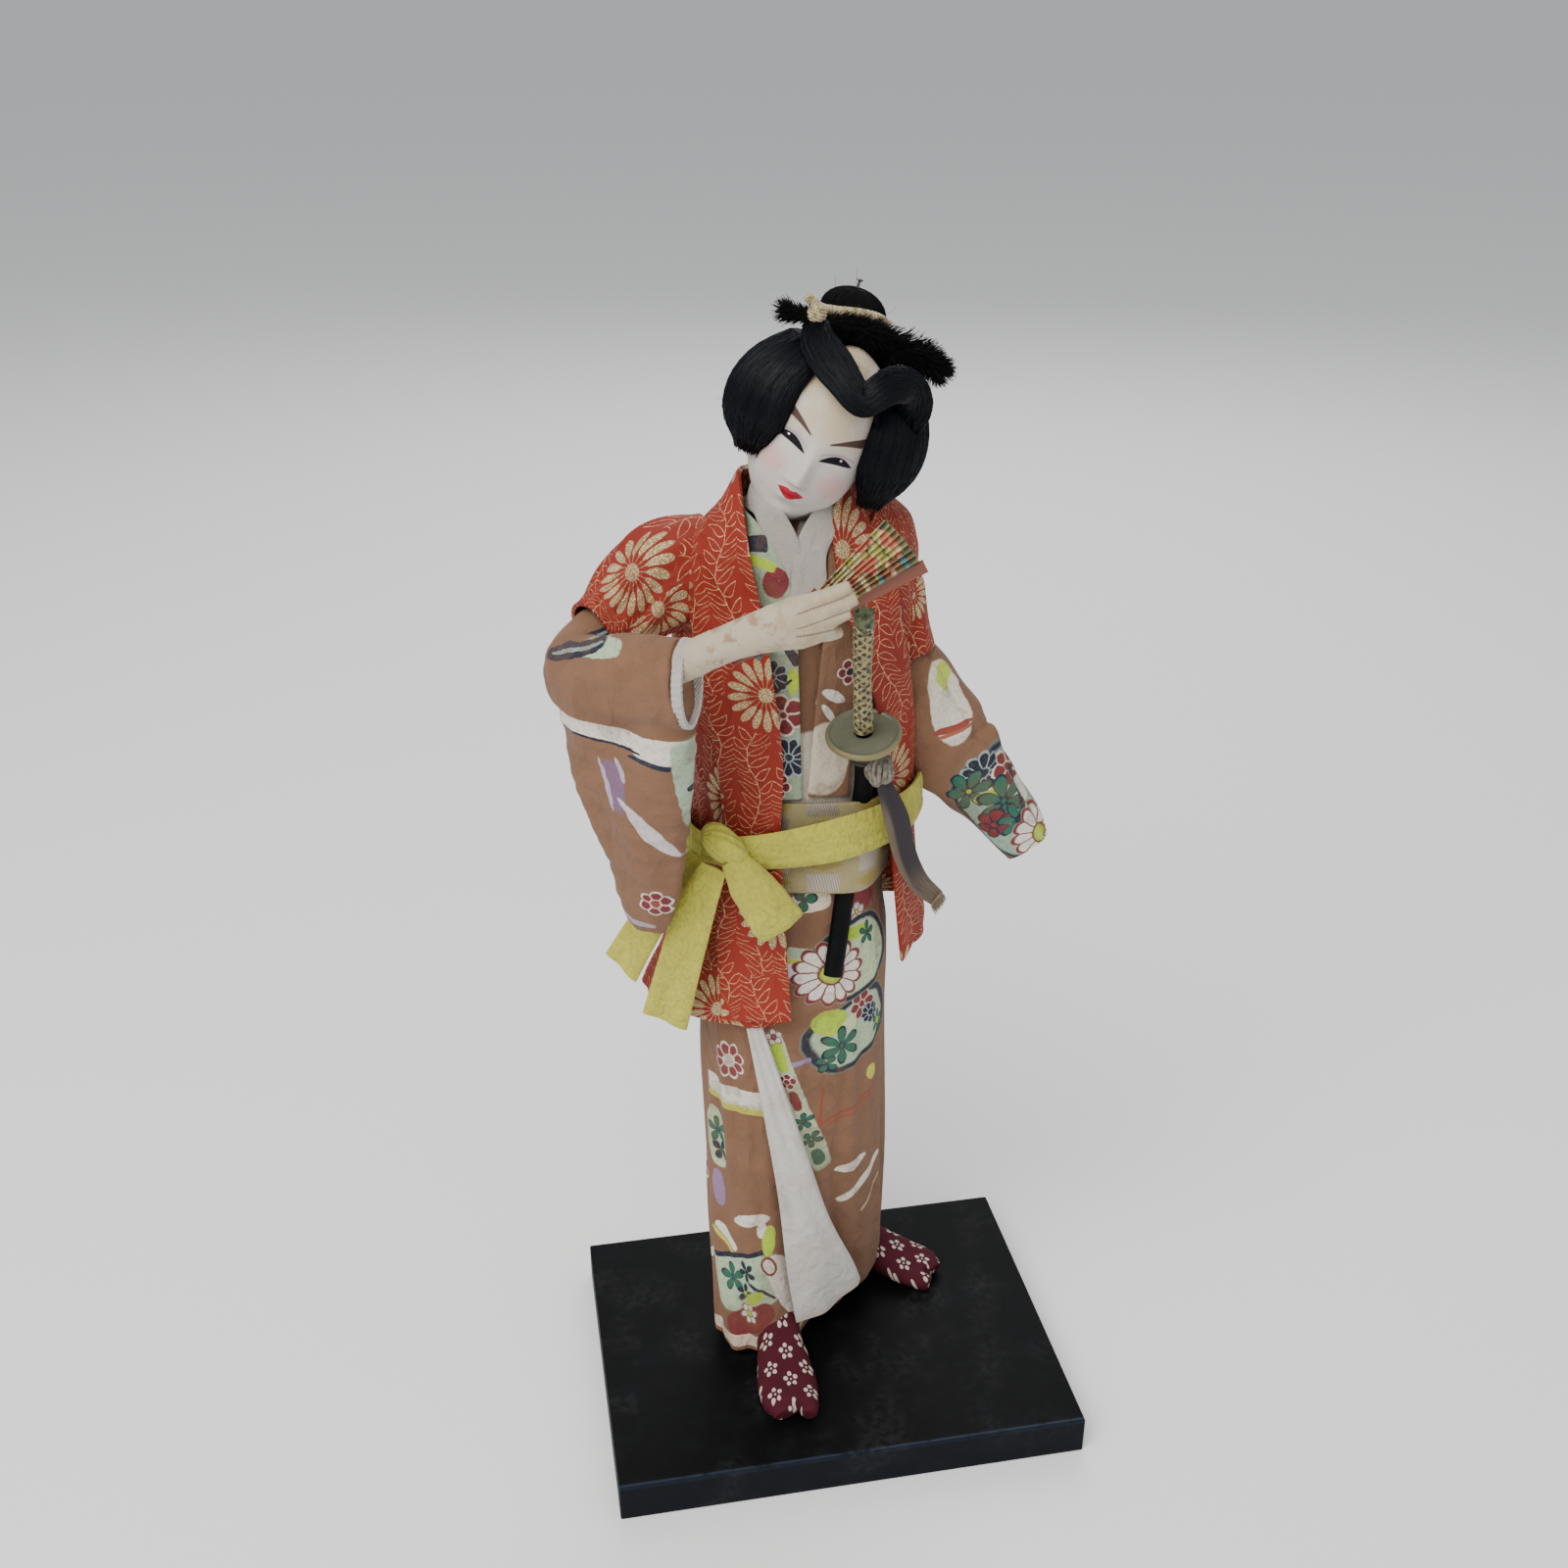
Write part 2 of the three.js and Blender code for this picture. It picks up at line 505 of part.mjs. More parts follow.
function makeBackTail() {
  return strip([[-44.5, -4.5, 229, 8], [-54.5, 1, 214, 12], [-63, 6, 197, 13.5], [-70.5, 10, 181, 15]],
    FACING(-0.7, -0.7), 1.4, { columns: 1, lengths: 6 });
}

// The sword: a gently bent line from the pommel to the scabbard's tip

const BLADE = evenly([[3, -29.5, 319.5], [4.7, -21.8, 296.5], [7.4, -14.2, 273.4], [9.8, -6.4, 252],
  [8, -2.8, 232],
  [5, -3.6, 212], [2.4, -6.4, 196], [-0.2, -9.6, 182]]);
const bladePoint = (t) => vec(...BLADE(t));
const GUARD_AT = 2 / 7;

function swordPart(from, to, across, through, { sides = 10, rings = 6, twist = 0 } = {}) {
  const rows = Array.from({ length: rings + 1 }, (_, i) => {
    const t = mix(from, to, i / rings);
    const swell = 1 + twist * Math.cos(i * Math.PI);
    return [...bladePoint(t).toArray(), across * swell, through * swell];
  });
  return limb(rows, vec(1, 0, 0), { sides, rings });
}

function makeGuard() {
  const middle = bladePoint(GUARD_AT);
  const axis = bladePoint(GUARD_AT - 0.03).sub(bladePoint(GUARD_AT + 0.03)).normalize();
  const right = vec(1, 0, 0).addScaledVector(axis, -axis.x).normalize();
  const deep = axis.clone().cross(right);
  return loft(20, 1, (v, angle, out) => middle.clone().addScaledVector(axis, mix(-1.1, 1.1, v))
    .addScaledVector(right, out * 12.2 * Math.sin(angle)).addScaledVector(deep,
      out * 11.4 * Math.cos(angle)));
}

const CORD_BALL = vec(13, -13.8, 260.5);

function makeCordBall() {
  return loft(10, 6, (v, angle, out) => {
    const r = out * Math.sin(Math.PI * clamp(v, 0.03, 0.97)) ** 0.7 * (1 + 0.08 * Math.cos(4 * angle + 5 * v));
    return CORD_BALL.clone().add(vec(4.2 * r * Math.sin(angle), -3.8 * r * Math.cos(angle), mix(-5, 5, v)));
  });
}

function makeRibbon() {
  return strip([[14, -14.6, 257, 5], [18.8, -15, 243, 9], [23, -13.4, 228, 8.5], [28.5, -10.6, 216, 7.5],
    [36, -7, 207, 6]], FACING(0.3, -0.95), 1.6, { columns: 1, lengths: 8 });
}

// The head, in its own frame: x to its left, y to its back, z up

const NOSE = { rise: 3.4, width: 2.4 };
const MOUTH_Z = -13.5;

function headPoint(dx, dy, dz) {
  const { halfWidth, front, back, up, down } = HEAD;
  const z = -1 + dz * (dz > 0 ? up : down);
  const taper = 1 - 0.16 * ease((-dz - 0.35) / 0.65) - 0.1 * ease((dz - 0.2) / 0.8);
  const x = dx * halfWidth * taper;
  const depth = dy < 0 ? front : back;
  let y = dy * depth * (1 - 0.06 * ease((dz - 0.2) / 0.8));
  if (dy < 0) {
    const facing = ease(-dy * 1.6);
    const along = ease((5 - z) / 12) * ease((z + 10.5) / 2.2);
    const nose = NOSE.rise * along * bell(x, NOSE.width);
    const lips = 0.9 * bell(x, 5) * bell(z - MOUTH_Z, 2.2);
    const chin = 1.3 * bell(x, 5.5) * bell(z + 21, 3.4);
    const cheeks = 0.7 * bell(Math.abs(x) - 10, 4.5) * bell(z + 8, 5);
    const sockets = 1.1 * bell(Math.abs(x) - 7.5, 4.5) * bell(z - 1.5, 3.2);
    const brow = 0.6 * bell(z - 8, 5) * bell(x, 13);
    y -= facing * (nose + lips + chin + cheeks + brow - sockets);
  }
  return vec(x, y, z);
}

function makeHead(around = 22, up = 15) {
  const ball = new THREE.SphereGeometry(1, around, up);
  ball.rotateX(Math.PI / 2);
  return warp(ball, headPoint);
}

const turnOf = (degrees) => new THREE.Euler(...degrees.map(rad), 'ZYX');
const headFrame = new THREE.Matrix4().makeRotationFromEuler(turnOf(HEAD_TURN)).setPosition(...HEAD.middle);
const hairFrame = new THREE.Matrix4().makeRotationFromEuler(turnOf(HAIR_TURN)).setPosition(...HEAD.middle);
const placed = (body, frame) => body.transform(frame.elements);

function makeNeck() {
  return limb([[-6, 14, 322, 7.6, 7.6], [-7.5, 13.5, 334, 7.4, 7.4], [-12, 11, 346, 7.8, 7.8]], vec(1, 0, 0),
    { sides: 10, rings: 2 });
}

// The wig, in the hair's frame

function makeWigCap() {
  const cap = warp(new THREE.SphereGeometry(1, 18, 11), (x, y, z) => {
    const top = y > 0 ? 29 : 22;
    const back = z > 0 ? 22.5 : 21;
    return vec(1 + x * (23 - 3 * Math.max(y, 0)), 2.5 + z * back, 5 + y * top);
  });
  const faceWindow = loft(16, 1, (v, angle, out) => vec(2.5 + out * 14.5 * power(Math.sin(angle), 0.7),
    mix(-40, 0, v), 1 + out * 22 * power(Math.cos(angle), 0.7)));
  const below = sheet(1, 1, (u, v, w) => vec(mix(-40, 40, u), mix(-40, 9, v), -22 + w * 26));
  const crown = loft(12, 1, (v, angle, out) => vec(8 + out * 8.5 * Math.sin(angle),
    -5 + out * 9 * Math.cos(angle),
    mix(20, 44, v)));
  return cap.subtract(faceWindow).subtract(below).subtract(crown);
}

// Height: centre x, y, half-length, half-thickness; the long side follows the temple
const SIDE_LOCKS = {
  right: [[-4.5, -18.6, -7, 7.5, 5], [0, -19.2, -7, 10.8, 6.6], [8, -19.2, -6.4, 12.2, 7.2],
    [16.5, -18, -5, 11.6, 7.2],
    [24, -14, -3, 10.6, 6.4], [30, -9, 0, 8, 4.6]],
  left: [[-10, 23, -5, 6.5, 5], [-5, 23.8, -4.5, 10, 6.6], [4, 24.2, -3.8, 11.8, 7.4],
    [14, 23.4, -2.4, 11, 7],
    [22, 20, -0.5, 9.4, 5.6], [27.5, 15.5, 1.5, 7, 4]],
};

function makeSideLock(side) {
  const rows = SIDE_LOCKS[side];
  const sign = side === 'right' ? -1 : 1;
  const table = track(rows);
  const long = vec(sign * 0.69, 0.72, 0);
  const thick = vec(sign * 0.72, -0.69, 0);
  return loft(12, 7, (v, angle, out) => {
    const z = mix(rows[0][0], rows[rows.length - 1][0], v);
    const [cx, cy, half, deep] = table(z);
    return vec(cx, cy, z).addScaledVector(long, out * half * Math.sin(angle))
      .addScaledVector(thick, out * deep * power(Math.cos(angle), 0.85));
  });
}

function makeForelock() {
  const down = limb([[-3, -6, 33.5, 6, 2.6], [-0.5, -12, 30, 5.6, 2.8], [3.5, -17, 24.5, 5, 2.6],
    [9, -20, 19, 4.2, 2.4]], vec(1, 0.2, 0.3), { sides: 8, rings: 5 });
  const across = limb([[8, -20, 19.6, 3.4, 2.4], [13, -18.8, 23.8, 5.6, 2.6], [18, -15.2, 26.6, 6.4, 2.8],
    [22.5, -9, 28, 6.2, 3]], vec(0.4, 0, -1), { sides: 8, rings: 5 });
  return joined(down, across);
}

// The stiff tuft that fans across the crown in front of the topknot
function makeBrush() {
  return sheet(12, 1, (u, v, w) => {
    const spread = mix(-1, 1, u);
    const x = 5 + spread * 25;
    const spikes = 1.4 * (Math.round(u * 12) % 2);
    const rise = 35.4 - 4.5 * spread ** 2 + (spread > 0 ? 2 : 0) * (1 - spread);
    const height = mix(-5, 4, v) * (1 - 0.55 * spread ** 2) + (v > 0.9 ? spikes : 0);
    return vec(x, 3 + 4 * spread ** 2 + w * mix(6, 3.4, v) * (1 - 0.5 * spread ** 2), rise + height);
  });
}

const TOPKNOT = { x: 0.4, y: 12.5, z: 38.4 };

function makeBun() {
  return warp(new THREE.SphereGeometry(1, 12, 8),
    (x, y, z) => vec(TOPKNOT.x + 9.8 * x, TOPKNOT.y + 8 * z, TOPKNOT.z + 7 * y));
}

function makeTopCord() {
  return limb([[-14.5, 1, 40.4, 1.7, 1.4], [-10, 1, 38.4, 2, 1.6], [-5, 3.4, 38.6, 1.8, 1.5],
    [1, 4.2, 39.8, 1.8, 1.5],
    [7, 5, 40.2, 1.8, 1.5], [11.5, 8, 38.6, 1.6, 1.4]], vec(0, 0, 1), { sides: 6, rings: 8 });
}

function makeBead() {
  return warp(new THREE.SphereGeometry(1, 8, 6), (x, y, z) => vec(-10.6 + 2.8 * x, -3 + 2.6 * z,
    37.2 + 2.6 * y));
}

function makePin() {
  const { x, y, z } = TOPKNOT;
  return limb([[x - 1, y, z + 6.2, 0.5, 0.5], [x - 1, y, z + 9, 0.5, 0.5], [x - 1, y, z + 9.2, 0.95, 0.95],
    [x - 1, y, z + 10, 0.8, 0.8]], vec(1, 0, 0), { sides: 6, rings: 4 });
}

// Assembly, from the inside out

keep('lacquered_board', makeBoard(), 0x101113, 0.35);
const rightSock = keep('right_sock', makeSock(RIGHT_FOOT), 0x6b1f2a);
const leftSock = keep('left_sock', makeSock(LEFT_FOOT), 0x6b1f2a);
const sword = {
  handle: swordPart(0.035, GUARD_AT - 0.012, 3.4, 3, { sides: 8, rings: 8, twist: 0.03 }),
  pommel: swordPart(0, 0.05, 3.7, 3.3, { sides: 8, rings: 2 }),
  guard: makeGuard(),
  scabbard: swordPart(GUARD_AT + 0.012, 1, 3.3, 2.4, { sides: 8, rings: 10 }),
};

keep('sword_guard', roomFor(sword.guard, swollen(sword.handle), swollen(sword.scabbard)), 0x77775c,
  0.45, 0.6);
keep('sword_handle', sword.handle, 0xb9a878, 0.5, 0.3);
keep('sword_pommel', roomFor(sword.pommel, swollen(sword.handle)), 0x2c3b2c, 0.5, 0.3);
keep('scabbard', sword.scabbard, 0x14161c, 0.35);

const head = placed(makeHead(), headFrame).add(makeNeck());
keep('head', head, 0xe9e2dc, 0.5);
const headRoom = swollen(head);
const skullRoom = swollen(placed(makeHead(14, 9), headFrame), 1.3);
const scabbardRoom = swollen(sword.scabbard, 0.4);

keep('kimono_skirt', roomFor(makeSkirt(), swollen(rightSock), swollen(leftSock), scabbardRoom), 0x94694c);
const skirtRoom = swollen(makeSkirt());
keep('kimono_lining_flap', roomFor(makeLiningFlap(), skirtRoom, swollen(rightSock)), 0xddd6cc);
const chest = keep('kimono_chest', roomFor(makeChest(), headRoom, scabbardRoom), 0x94694c);
const chestRoom = swollen(chest);
const guardRoom = swollen(sword.guard);
const kimonoCollar = keep('kimono_collar',
  roomFor(makeKimonoCollar(), headRoom, chestRoom, scabbardRoom, guardRoom), 0x7f8f6f);
const kimonoCollarRoom = swollen(kimonoCollar);
const underCollar = keep('under_collar',
  roomFor(makeUnderCollar(), headRoom, chestRoom, kimonoCollarRoom), 0xd8cfc6);
const underCollarRoom = swollen(underCollar, 0.5);

const obi = keep('obi', roomFor(makeObi(), scabbardRoom), 0xb9a777);
const obiRoom = swollen(obi);

const hand = keep('right_hand', makeHand(), 0xe4d9c3);
const handRoom = swollen(hand);
keep('sleeve_cuff', roomFor(cuffRing(4, 0, 1.2), cuffRing(6, 1.6, 3), handRoom), 0xe6e1da);
const cuffHole = joined(cuffRing(4.4, -0.3, 6), cuffRing(9.5, 1.3, 6));
const rightSleeve = keep('right_sleeve', makeRightSleeve(cuffHole), 0x94694c);
const leftSleeve = roomFor(makeLeftSleeve(), chestRoom);
const sleeveRoom = [swollen(rightSleeve, 0.45), swollen(leftSleeve, 0.45)];

keep('vest_body', roomFor(makeVestBody(), headRoom, chestRoom, skirtRoom, kimonoCollarRoom, obiRoom,
  ...sleeveRoom),
  0xc0392b);
const vestRoom = swollen(makeVestBody());
const band = keep('vest_band',
  roomFor(makeBand(), vestRoom, headRoom, kimonoCollarRoom, underCollarRoom, chestRoom, obiRoom,
    guardRoom), 0xc0392b);
const bandRoom = swollen(band, 0.4);
const besideBand = [[-GAP, 0, 0], [0, -GAP, 0], [0, GAP, 0], [0, 0, GAP], [0, 0, -GAP]]
  .map((by) => band.translate(by));
for (const side of ['right', 'left']) {
  keep(`vest_${side}_sleeve`, roomFor(makeVestSleeve(side), vestRoom, chestRoom, bandRoom,
    ...besideBand, ...sleeveRoom),
    0xc0392b);
}

const dressed = [vestRoom, bandRoom];
const knot = makeKnot();
const knotRoom = swollen(knot);
const loop = makeSashLoop();
const frontTail = makeFrontTail();
const sash = keep('sash', roomFor(belt(28, 1, sashPoint), knotRoom, obiRoom, sleeveRoom[0], ...dressed),
  0xc2bb45);
const sashRoom = swollen(sash);
keep('left_sleeve', roomFor(leftSleeve, sashRoom), 0x94694c);
keep('sash_knot', roomFor(knot, ...dressed), 0xc2bb45);
keep('sash_loop', roomFor(loop, knotRoom, sashRoom, ...dressed), 0xc2bb45);
const tailRoom = [knotRoom, sashRoom, sleeveRoom[0], ...dressed];
keep('sash_front_tail', roomFor(frontTail, swollen(loop), ...tailRoom), 0xc2bb45);
keep('sash_back_tail', roomFor(makeBackTail(), swollen(frontTail), ...tailRoom), 0xc2bb45);

const cordBall = keep('sword_cord_knot', roomFor(makeCordBall(), guardRoom, scabbardRoom, sashRoom),
  0x877d6a);
keep('sword_ribbon', roomFor(makeRibbon(), swollen(cordBall), sashRoom, ...dressed), 0x5a4a48);
keep('fan_leaf', roomFor(makeFanLeaf(), handRoom, bandRoom), 0xb7ab72);
keep('fan_ribs', roomFor(makeFanRibs(), handRoom, bandRoom), 0x8a4a2c, 0.5);
keep('fan_guard', roomFor(makeFanGuard(), handRoom, bandRoom), 0x8a4a2c, 0.5);

const hair = 0x0d0f16;
const inHair = (body) => placed(body, hairFrame);
keep('wig_cap', roomFor(inHair(makeWigCap()), skullRoom, underCollarRoom, ...dressed), hair, 0.55);
const forelock = inHair(makeForelock());
const locks = ['right', 'left'].map((side) => inHair(makeSideLock(side)));
const bun = inHair(makeBun());
const brush = inHair(makeBrush());
const cord = inHair(makeTopCord());
const bead = inHair(makeBead());
const capSolid = swollen(inHair(makeWigCap()), 0.8);
['right', 'left'].forEach((side, i) => {
  keep(`${side}_side_lock`, roomFor(locks[i], skullRoom, capSolid, ...dressed), hair, 0.5);
});
const lockRoom = locks.map((body) => swollen(body));
keep('forelock', roomFor(forelock, headRoom, capSolid, ...lockRoom), hair, 0.5);
keep('crown_tuft', roomFor(brush, headRoom, capSolid, ...lockRoom, swollen(forelock)), hair, 0.7);
keep('topknot', roomFor(bun, capSolid, swollen(brush)), hair, 0.7);
keep('topknot_cord', roomFor(cord, capSolid, swollen(brush), swollen(bun), swollen(bead)), 0xd9cfa8,
  0.5, 0.2);
keep('cord_bead', roomFor(bead, capSolid, swollen(brush), ...lockRoom), 0xc9b24e, 0.4, 0.5);
keep('topknot_pin', roomFor(inHair(makePin()), swollen(bun)), 0x3a3a3c, 0.4, 0.6);

function meshOf(name, { body, colour, roughness, metalness }) {
  const { vertProperties, triVerts } = body.getMesh();
  const geometry = new THREE.BufferGeometry();
  geometry.setAttribute('position', new THREE.BufferAttribute(new Float32Array(vertProperties), 3));
  geometry.setIndex(new THREE.BufferAttribute(new Uint32Array(triVerts), 1));
  geometry.computeVertexNormals();
  const mesh = new THREE.Mesh(geometry, new THREE.MeshStandardMaterial({ color: colour, roughness,
    metalness }));
  mesh.name = name;
  return mesh;
}

const doll = new THREE.Group();
for (const [name, piece] of Object.entries(pieces)) doll.add(meshOf(name, piece));

export default doll;
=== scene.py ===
"""Builds the look of a cloth-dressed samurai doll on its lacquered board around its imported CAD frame."""

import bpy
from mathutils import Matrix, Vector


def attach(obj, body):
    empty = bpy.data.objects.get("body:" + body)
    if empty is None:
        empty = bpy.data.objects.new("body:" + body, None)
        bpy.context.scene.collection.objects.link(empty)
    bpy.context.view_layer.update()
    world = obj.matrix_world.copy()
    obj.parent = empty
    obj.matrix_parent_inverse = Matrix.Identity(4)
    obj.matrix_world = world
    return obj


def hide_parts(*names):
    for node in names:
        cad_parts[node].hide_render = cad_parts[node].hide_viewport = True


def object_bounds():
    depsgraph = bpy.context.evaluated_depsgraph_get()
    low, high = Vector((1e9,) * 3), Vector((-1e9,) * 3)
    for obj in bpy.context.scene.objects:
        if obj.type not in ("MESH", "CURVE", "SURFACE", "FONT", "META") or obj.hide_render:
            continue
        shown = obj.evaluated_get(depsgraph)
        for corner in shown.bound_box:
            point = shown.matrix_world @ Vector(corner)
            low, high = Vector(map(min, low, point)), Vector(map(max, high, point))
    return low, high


bl_info = {
    "name": "Samurai Doll",
    "version": (1, 0, 0),
    "blender": (4, 5, 0),
    "location": "View3D > Sidebar > Doll",
    "description": "Makes a standing doll in brocade vest and crepe kimono, with its fan, sword, wig and board",
    "category": "Object",
}

from functools import reduce
from inspect import signature
from math import pi, radians

import bpy
import numpy as np
from mathutils import Euler, Matrix, Vector
from numpy import cos, sin

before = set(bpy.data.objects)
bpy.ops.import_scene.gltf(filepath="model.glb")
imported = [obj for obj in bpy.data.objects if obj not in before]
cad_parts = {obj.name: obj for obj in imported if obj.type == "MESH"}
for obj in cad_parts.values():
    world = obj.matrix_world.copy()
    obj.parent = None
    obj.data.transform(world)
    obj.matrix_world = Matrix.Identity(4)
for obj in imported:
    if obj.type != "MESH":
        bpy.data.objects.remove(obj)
cad_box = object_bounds()

MM = 0.001
MERGE = 0.02 * MM  # points nearer than this are one


# Shared shape tools. Shapes are worked out in millimetres, for many points at once.


def clamp(t, low=0.0, high=1.0):
    return np.clip(t, low, high)


def mix(a, b, t):
    return a + (b - a) * t


def ease(t):
    t = clamp(t)
    return t * t * (3 - 2 * t)


def bell(t, width):
    return np.exp(-((t / width) ** 2))


def power(t, e):
    return np.sign(t) * np.abs(t) ** e


def unit(v):
    return v / np.maximum(np.linalg.norm(v, axis=-1, keepdims=True), 1e-9)


def stack(*parts):
    return np.stack(np.broadcast_arrays(*parts), axis=-1).astype(float)


def track(rows):
    """A smooth table: rows of (station, a, b, ...) become a function of the station"""
    table = np.array(rows, float)
    at, values = table[:, 0], table[:, 1:]
    last = len(at) - 1

    def slope(i, j):
        return (values[j] - values[i]) / (at[j] - at[i])[:, None]

    def read(s):
        s = np.atleast_1d(np.asarray(s, float))
        i = np.clip(np.searchsorted(at, s, side="left") - 1, 0, last - 1)
        span = (at[i + 1] - at[i])[:, None]
        t = clamp((s - at[i]) / span[:, 0])[:, None]
        m0 = slope(np.maximum(i - 1, 0), i + 1) * span
        m1 = slope(i, np.minimum(i + 2, last)) * span
        t2, t3 = t * t, t * t * t
        start, end = (2 * t3 - 3 * t2 + 1) * values[i], (3 * t2 - 2 * t3) * values[i + 1]
        return start + (t3 - 2 * t2 + t) * m0 + end + (t3 - t2) * m1

    return read


def evenly(rows):
    """Rows without a station are spaced evenly from 0 to 1"""
    return track([(i / (len(rows) - 1), *row) for i, row in enumerate(rows)])


def heading(along, v, step=0.02):
    """The direction that a path takes at each station"""
    return unit((along(np.minimum(v + step, 1)) - along(np.maximum(v - step, 0)))[:, :3])


def ball(wide, deep, tall, polar, angle):
    """Points of an oval round its own middle"""
    return stack(wide * sin(polar) * sin(angle), -deep * sin(polar) * cos(angle), tall * cos(polar))


def ripple(points, size, seed):
    """Soft unevenness about size millimetres across, from roughly -1 to 1"""
    rng = np.random.default_rng(seed)
    total = np.zeros(len(points))
    for _ in range(9):
        way = unit(rng.normal(size=3)) * 2 * pi / (size * rng.uniform(0.7, 1.7))
        total += sin(points @ way + rng.uniform(0, 6.28))
    return total / 4.5


def limb(rows, side, roundness=1.0):
    """A flattened round body along (x, y, z, across, through) rows; across lies along side"""
    along = evenly(rows)
    side = np.array(side, float)

    def place(v, angle, out=1.0):
        middle = along(v)
        ahead = heading(along, v)
        wide = unit(side - ahead * (ahead @ side)[:, None])
        deep = np.cross(ahead, wide)
        across = middle[:, 3] * out * power(sin(angle), roundness)
        through = middle[:, 4] * out * power(cos(angle), roundness)
        return middle[:, :3] + wide * across[:, None] + deep * through[:, None]

    return place


def strip(rows, face, slant=None):
    """A flat band along (x, y, z, width) rows, its face turned towards face(points)"""
    along = evenly(rows)
    steps = np.linspace(0, 1, 400)
    runs = np.linalg.norm(np.diff(along(steps)[:, :3], axis=0), axis=1)
    length = np.concatenate([[0], np.cumsum(runs)])

    def place(u, v, lift=0.0):
        middle = along(v)
        ahead = heading(along, v)
        out = face(middle[:, :3])
        out = unit(out - ahead * (out * ahead).sum(axis=1)[:, None])
        across = np.cross(out, ahead)
        aside, proud = (u - 0.5) * middle[:, 3], np.broadcast_to(lift, u.shape)
        points = middle[:, :3] + across * aside[:, None] + out * proud[:, None]
        if slant:
            points[:, 2] += (u - 0.5) * slant(v)
        return points

    place.cloth = lambda u, v: stack((u - 0.5) * along(v)[:, 3], np.interp(v, steps, length))
    place.length = length[-1]
    return place


def outward(cx, cy, broad=1.8):
    """Faces away from the trunk, which is wider than deep, and a little up"""

    def face(points):
        flat = unit(stack((points[:, 0] - cx) / broad, points[:, 1] - cy, np.zeros(len(points))))
        flat[:, 2] = 0.3
        return flat

    return face


def towards(x, y, z=0.1):
    return lambda points: np.tile([float(x), float(y), float(z)], (len(points), 1))


# Shared making tools


def only(*pieces):
    """Leaves nothing selected but these pieces, the first of them active"""
    bpy.ops.object.select_all(action="DESELECT")
    for piece in pieces:
        piece.select_set(True)
    bpy.context.view_layer.objects.active = pieces[0]


def points_of(piece):
    mesh = piece.data
    flat = np.empty(len(mesh.vertices) * 3)
    mesh.vertices.foreach_get("co", flat)
    return flat.reshape(-1, 3) / MM


def move_to(piece, points):
    piece.data.vertices.foreach_set("co", (np.asarray(points) * MM).ravel())
    piece.data.update()


def normals_of(piece):
    flat = np.empty(len(piece.data.vertices) * 3)
    piece.data.vertex_normals.foreach_get("vector", flat)
    return flat.reshape(-1, 3)


def in_edit(piece, *steps):
    """Runs edit mode steps on the whole mesh"""
    only(piece)
    bpy.ops.object.mode_set(mode="EDIT")
    bpy.ops.mesh.select_all(action="SELECT")
    for step in steps:
        step()
    bpy.ops.object.mode_set(mode="OBJECT")


def apply(piece, kind, **settings):
    only(piece)
    modifier = piece.modifiers.new("step", kind)
    for key, value in settings.items():
        setattr(modifier, key, value)
    bpy.ops.object.modifier_apply(modifier=modifier.name)


def set_cloth(piece, coordinates):
    """Writes the cloth's own coordinates, in millimetres, to the piece's UV map"""
    mesh = piece.data
    layer = mesh.uv_layers.active or mesh.uv_layers.new()
    layer.name = "Cloth"
    index = np.empty(len(mesh.loops), int)
    mesh.loops.foreach_get("vertex_index", index)
    layer.data.foreach_set("uv", coordinates[index].ravel())


def grid(name, columns, rows, place, cloth):
    """A dense sheet from Blender's grid: place(u, v) puts its points, cloth(u, v) its UV map"""
    bpy.ops.object.select_all(action="DESELECT")
    bpy.ops.mesh.primitive_grid_add(x_subdivisions=columns, y_subdivisions=rows, size=2)
    piece = bpy.context.object
    piece.name = piece.data.name = name
    at = points_of(piece) * MM
    u, v = (at[:, 0] + 1) / 2, (at[:, 1] + 1) / 2
    set_cloth(piece, cloth(u, v))
    move_to(piece, place(u, v))
    return piece


def turn_out(piece, middle):
    """Turns the faces away from a middle line or point, given as a function of the points"""
    points, normals = points_of(piece), normals_of(piece)
    if ((points - middle(points)) * normals).sum() < 0:
        in_edit(piece, bpy.ops.mesh.flip_normals)


def from_axis(cx, cy):
    return lambda points: stack(cx, cy, points[:, 2])


TRUNK = from_axis(-6, 20)


def towards_face(direction):
    way = np.array(direction, float) * 1000
    return lambda points: points - way


def sheet(name, columns, rows, place, cloth, thick, middle, lined=True):
    """A sheet with its lining turned in behind it; the lining can take another material"""
    piece = grid(name, columns, rows, place, cloth)
    turn_out(piece, middle)
    inner = 1 if lined else 0
    apply(piece, "SOLIDIFY", thickness=thick * MM, offset=-1, material_offset=inner, material_offset_rim=0)
    return finish_surface(piece)


def round_grid(name, sides, rows, place, cloth):
    """A grid whose columns go once round, from -pi to pi, and meet"""

    def by_angle(shape):
        return lambda u, v: shape((u - 0.5) * 2 * pi, v)

    piece = grid(name, sides, rows, by_angle(place), by_angle(cloth))
    in_edit(piece, lambda: bpy.ops.mesh.remove_doubles(threshold=MERGE))
    return piece


def ring(name, sides, rows, place, cloth, thick, middle, closed=False):
    """A sheet closed round into a tube; closed tubes end in their own caps"""
    piece = round_grid(name, sides, rows, place, cloth)
    if closed:
        in_edit(piece, lambda: bpy.ops.mesh.normals_make_consistent(inside=False))
    else:
        turn_out(piece, middle)
        apply(piece, "SOLIDIFY", thickness=thick * MM, offset=-1, material_offset=1, material_offset_rim=0)
    return finish_surface(piece)


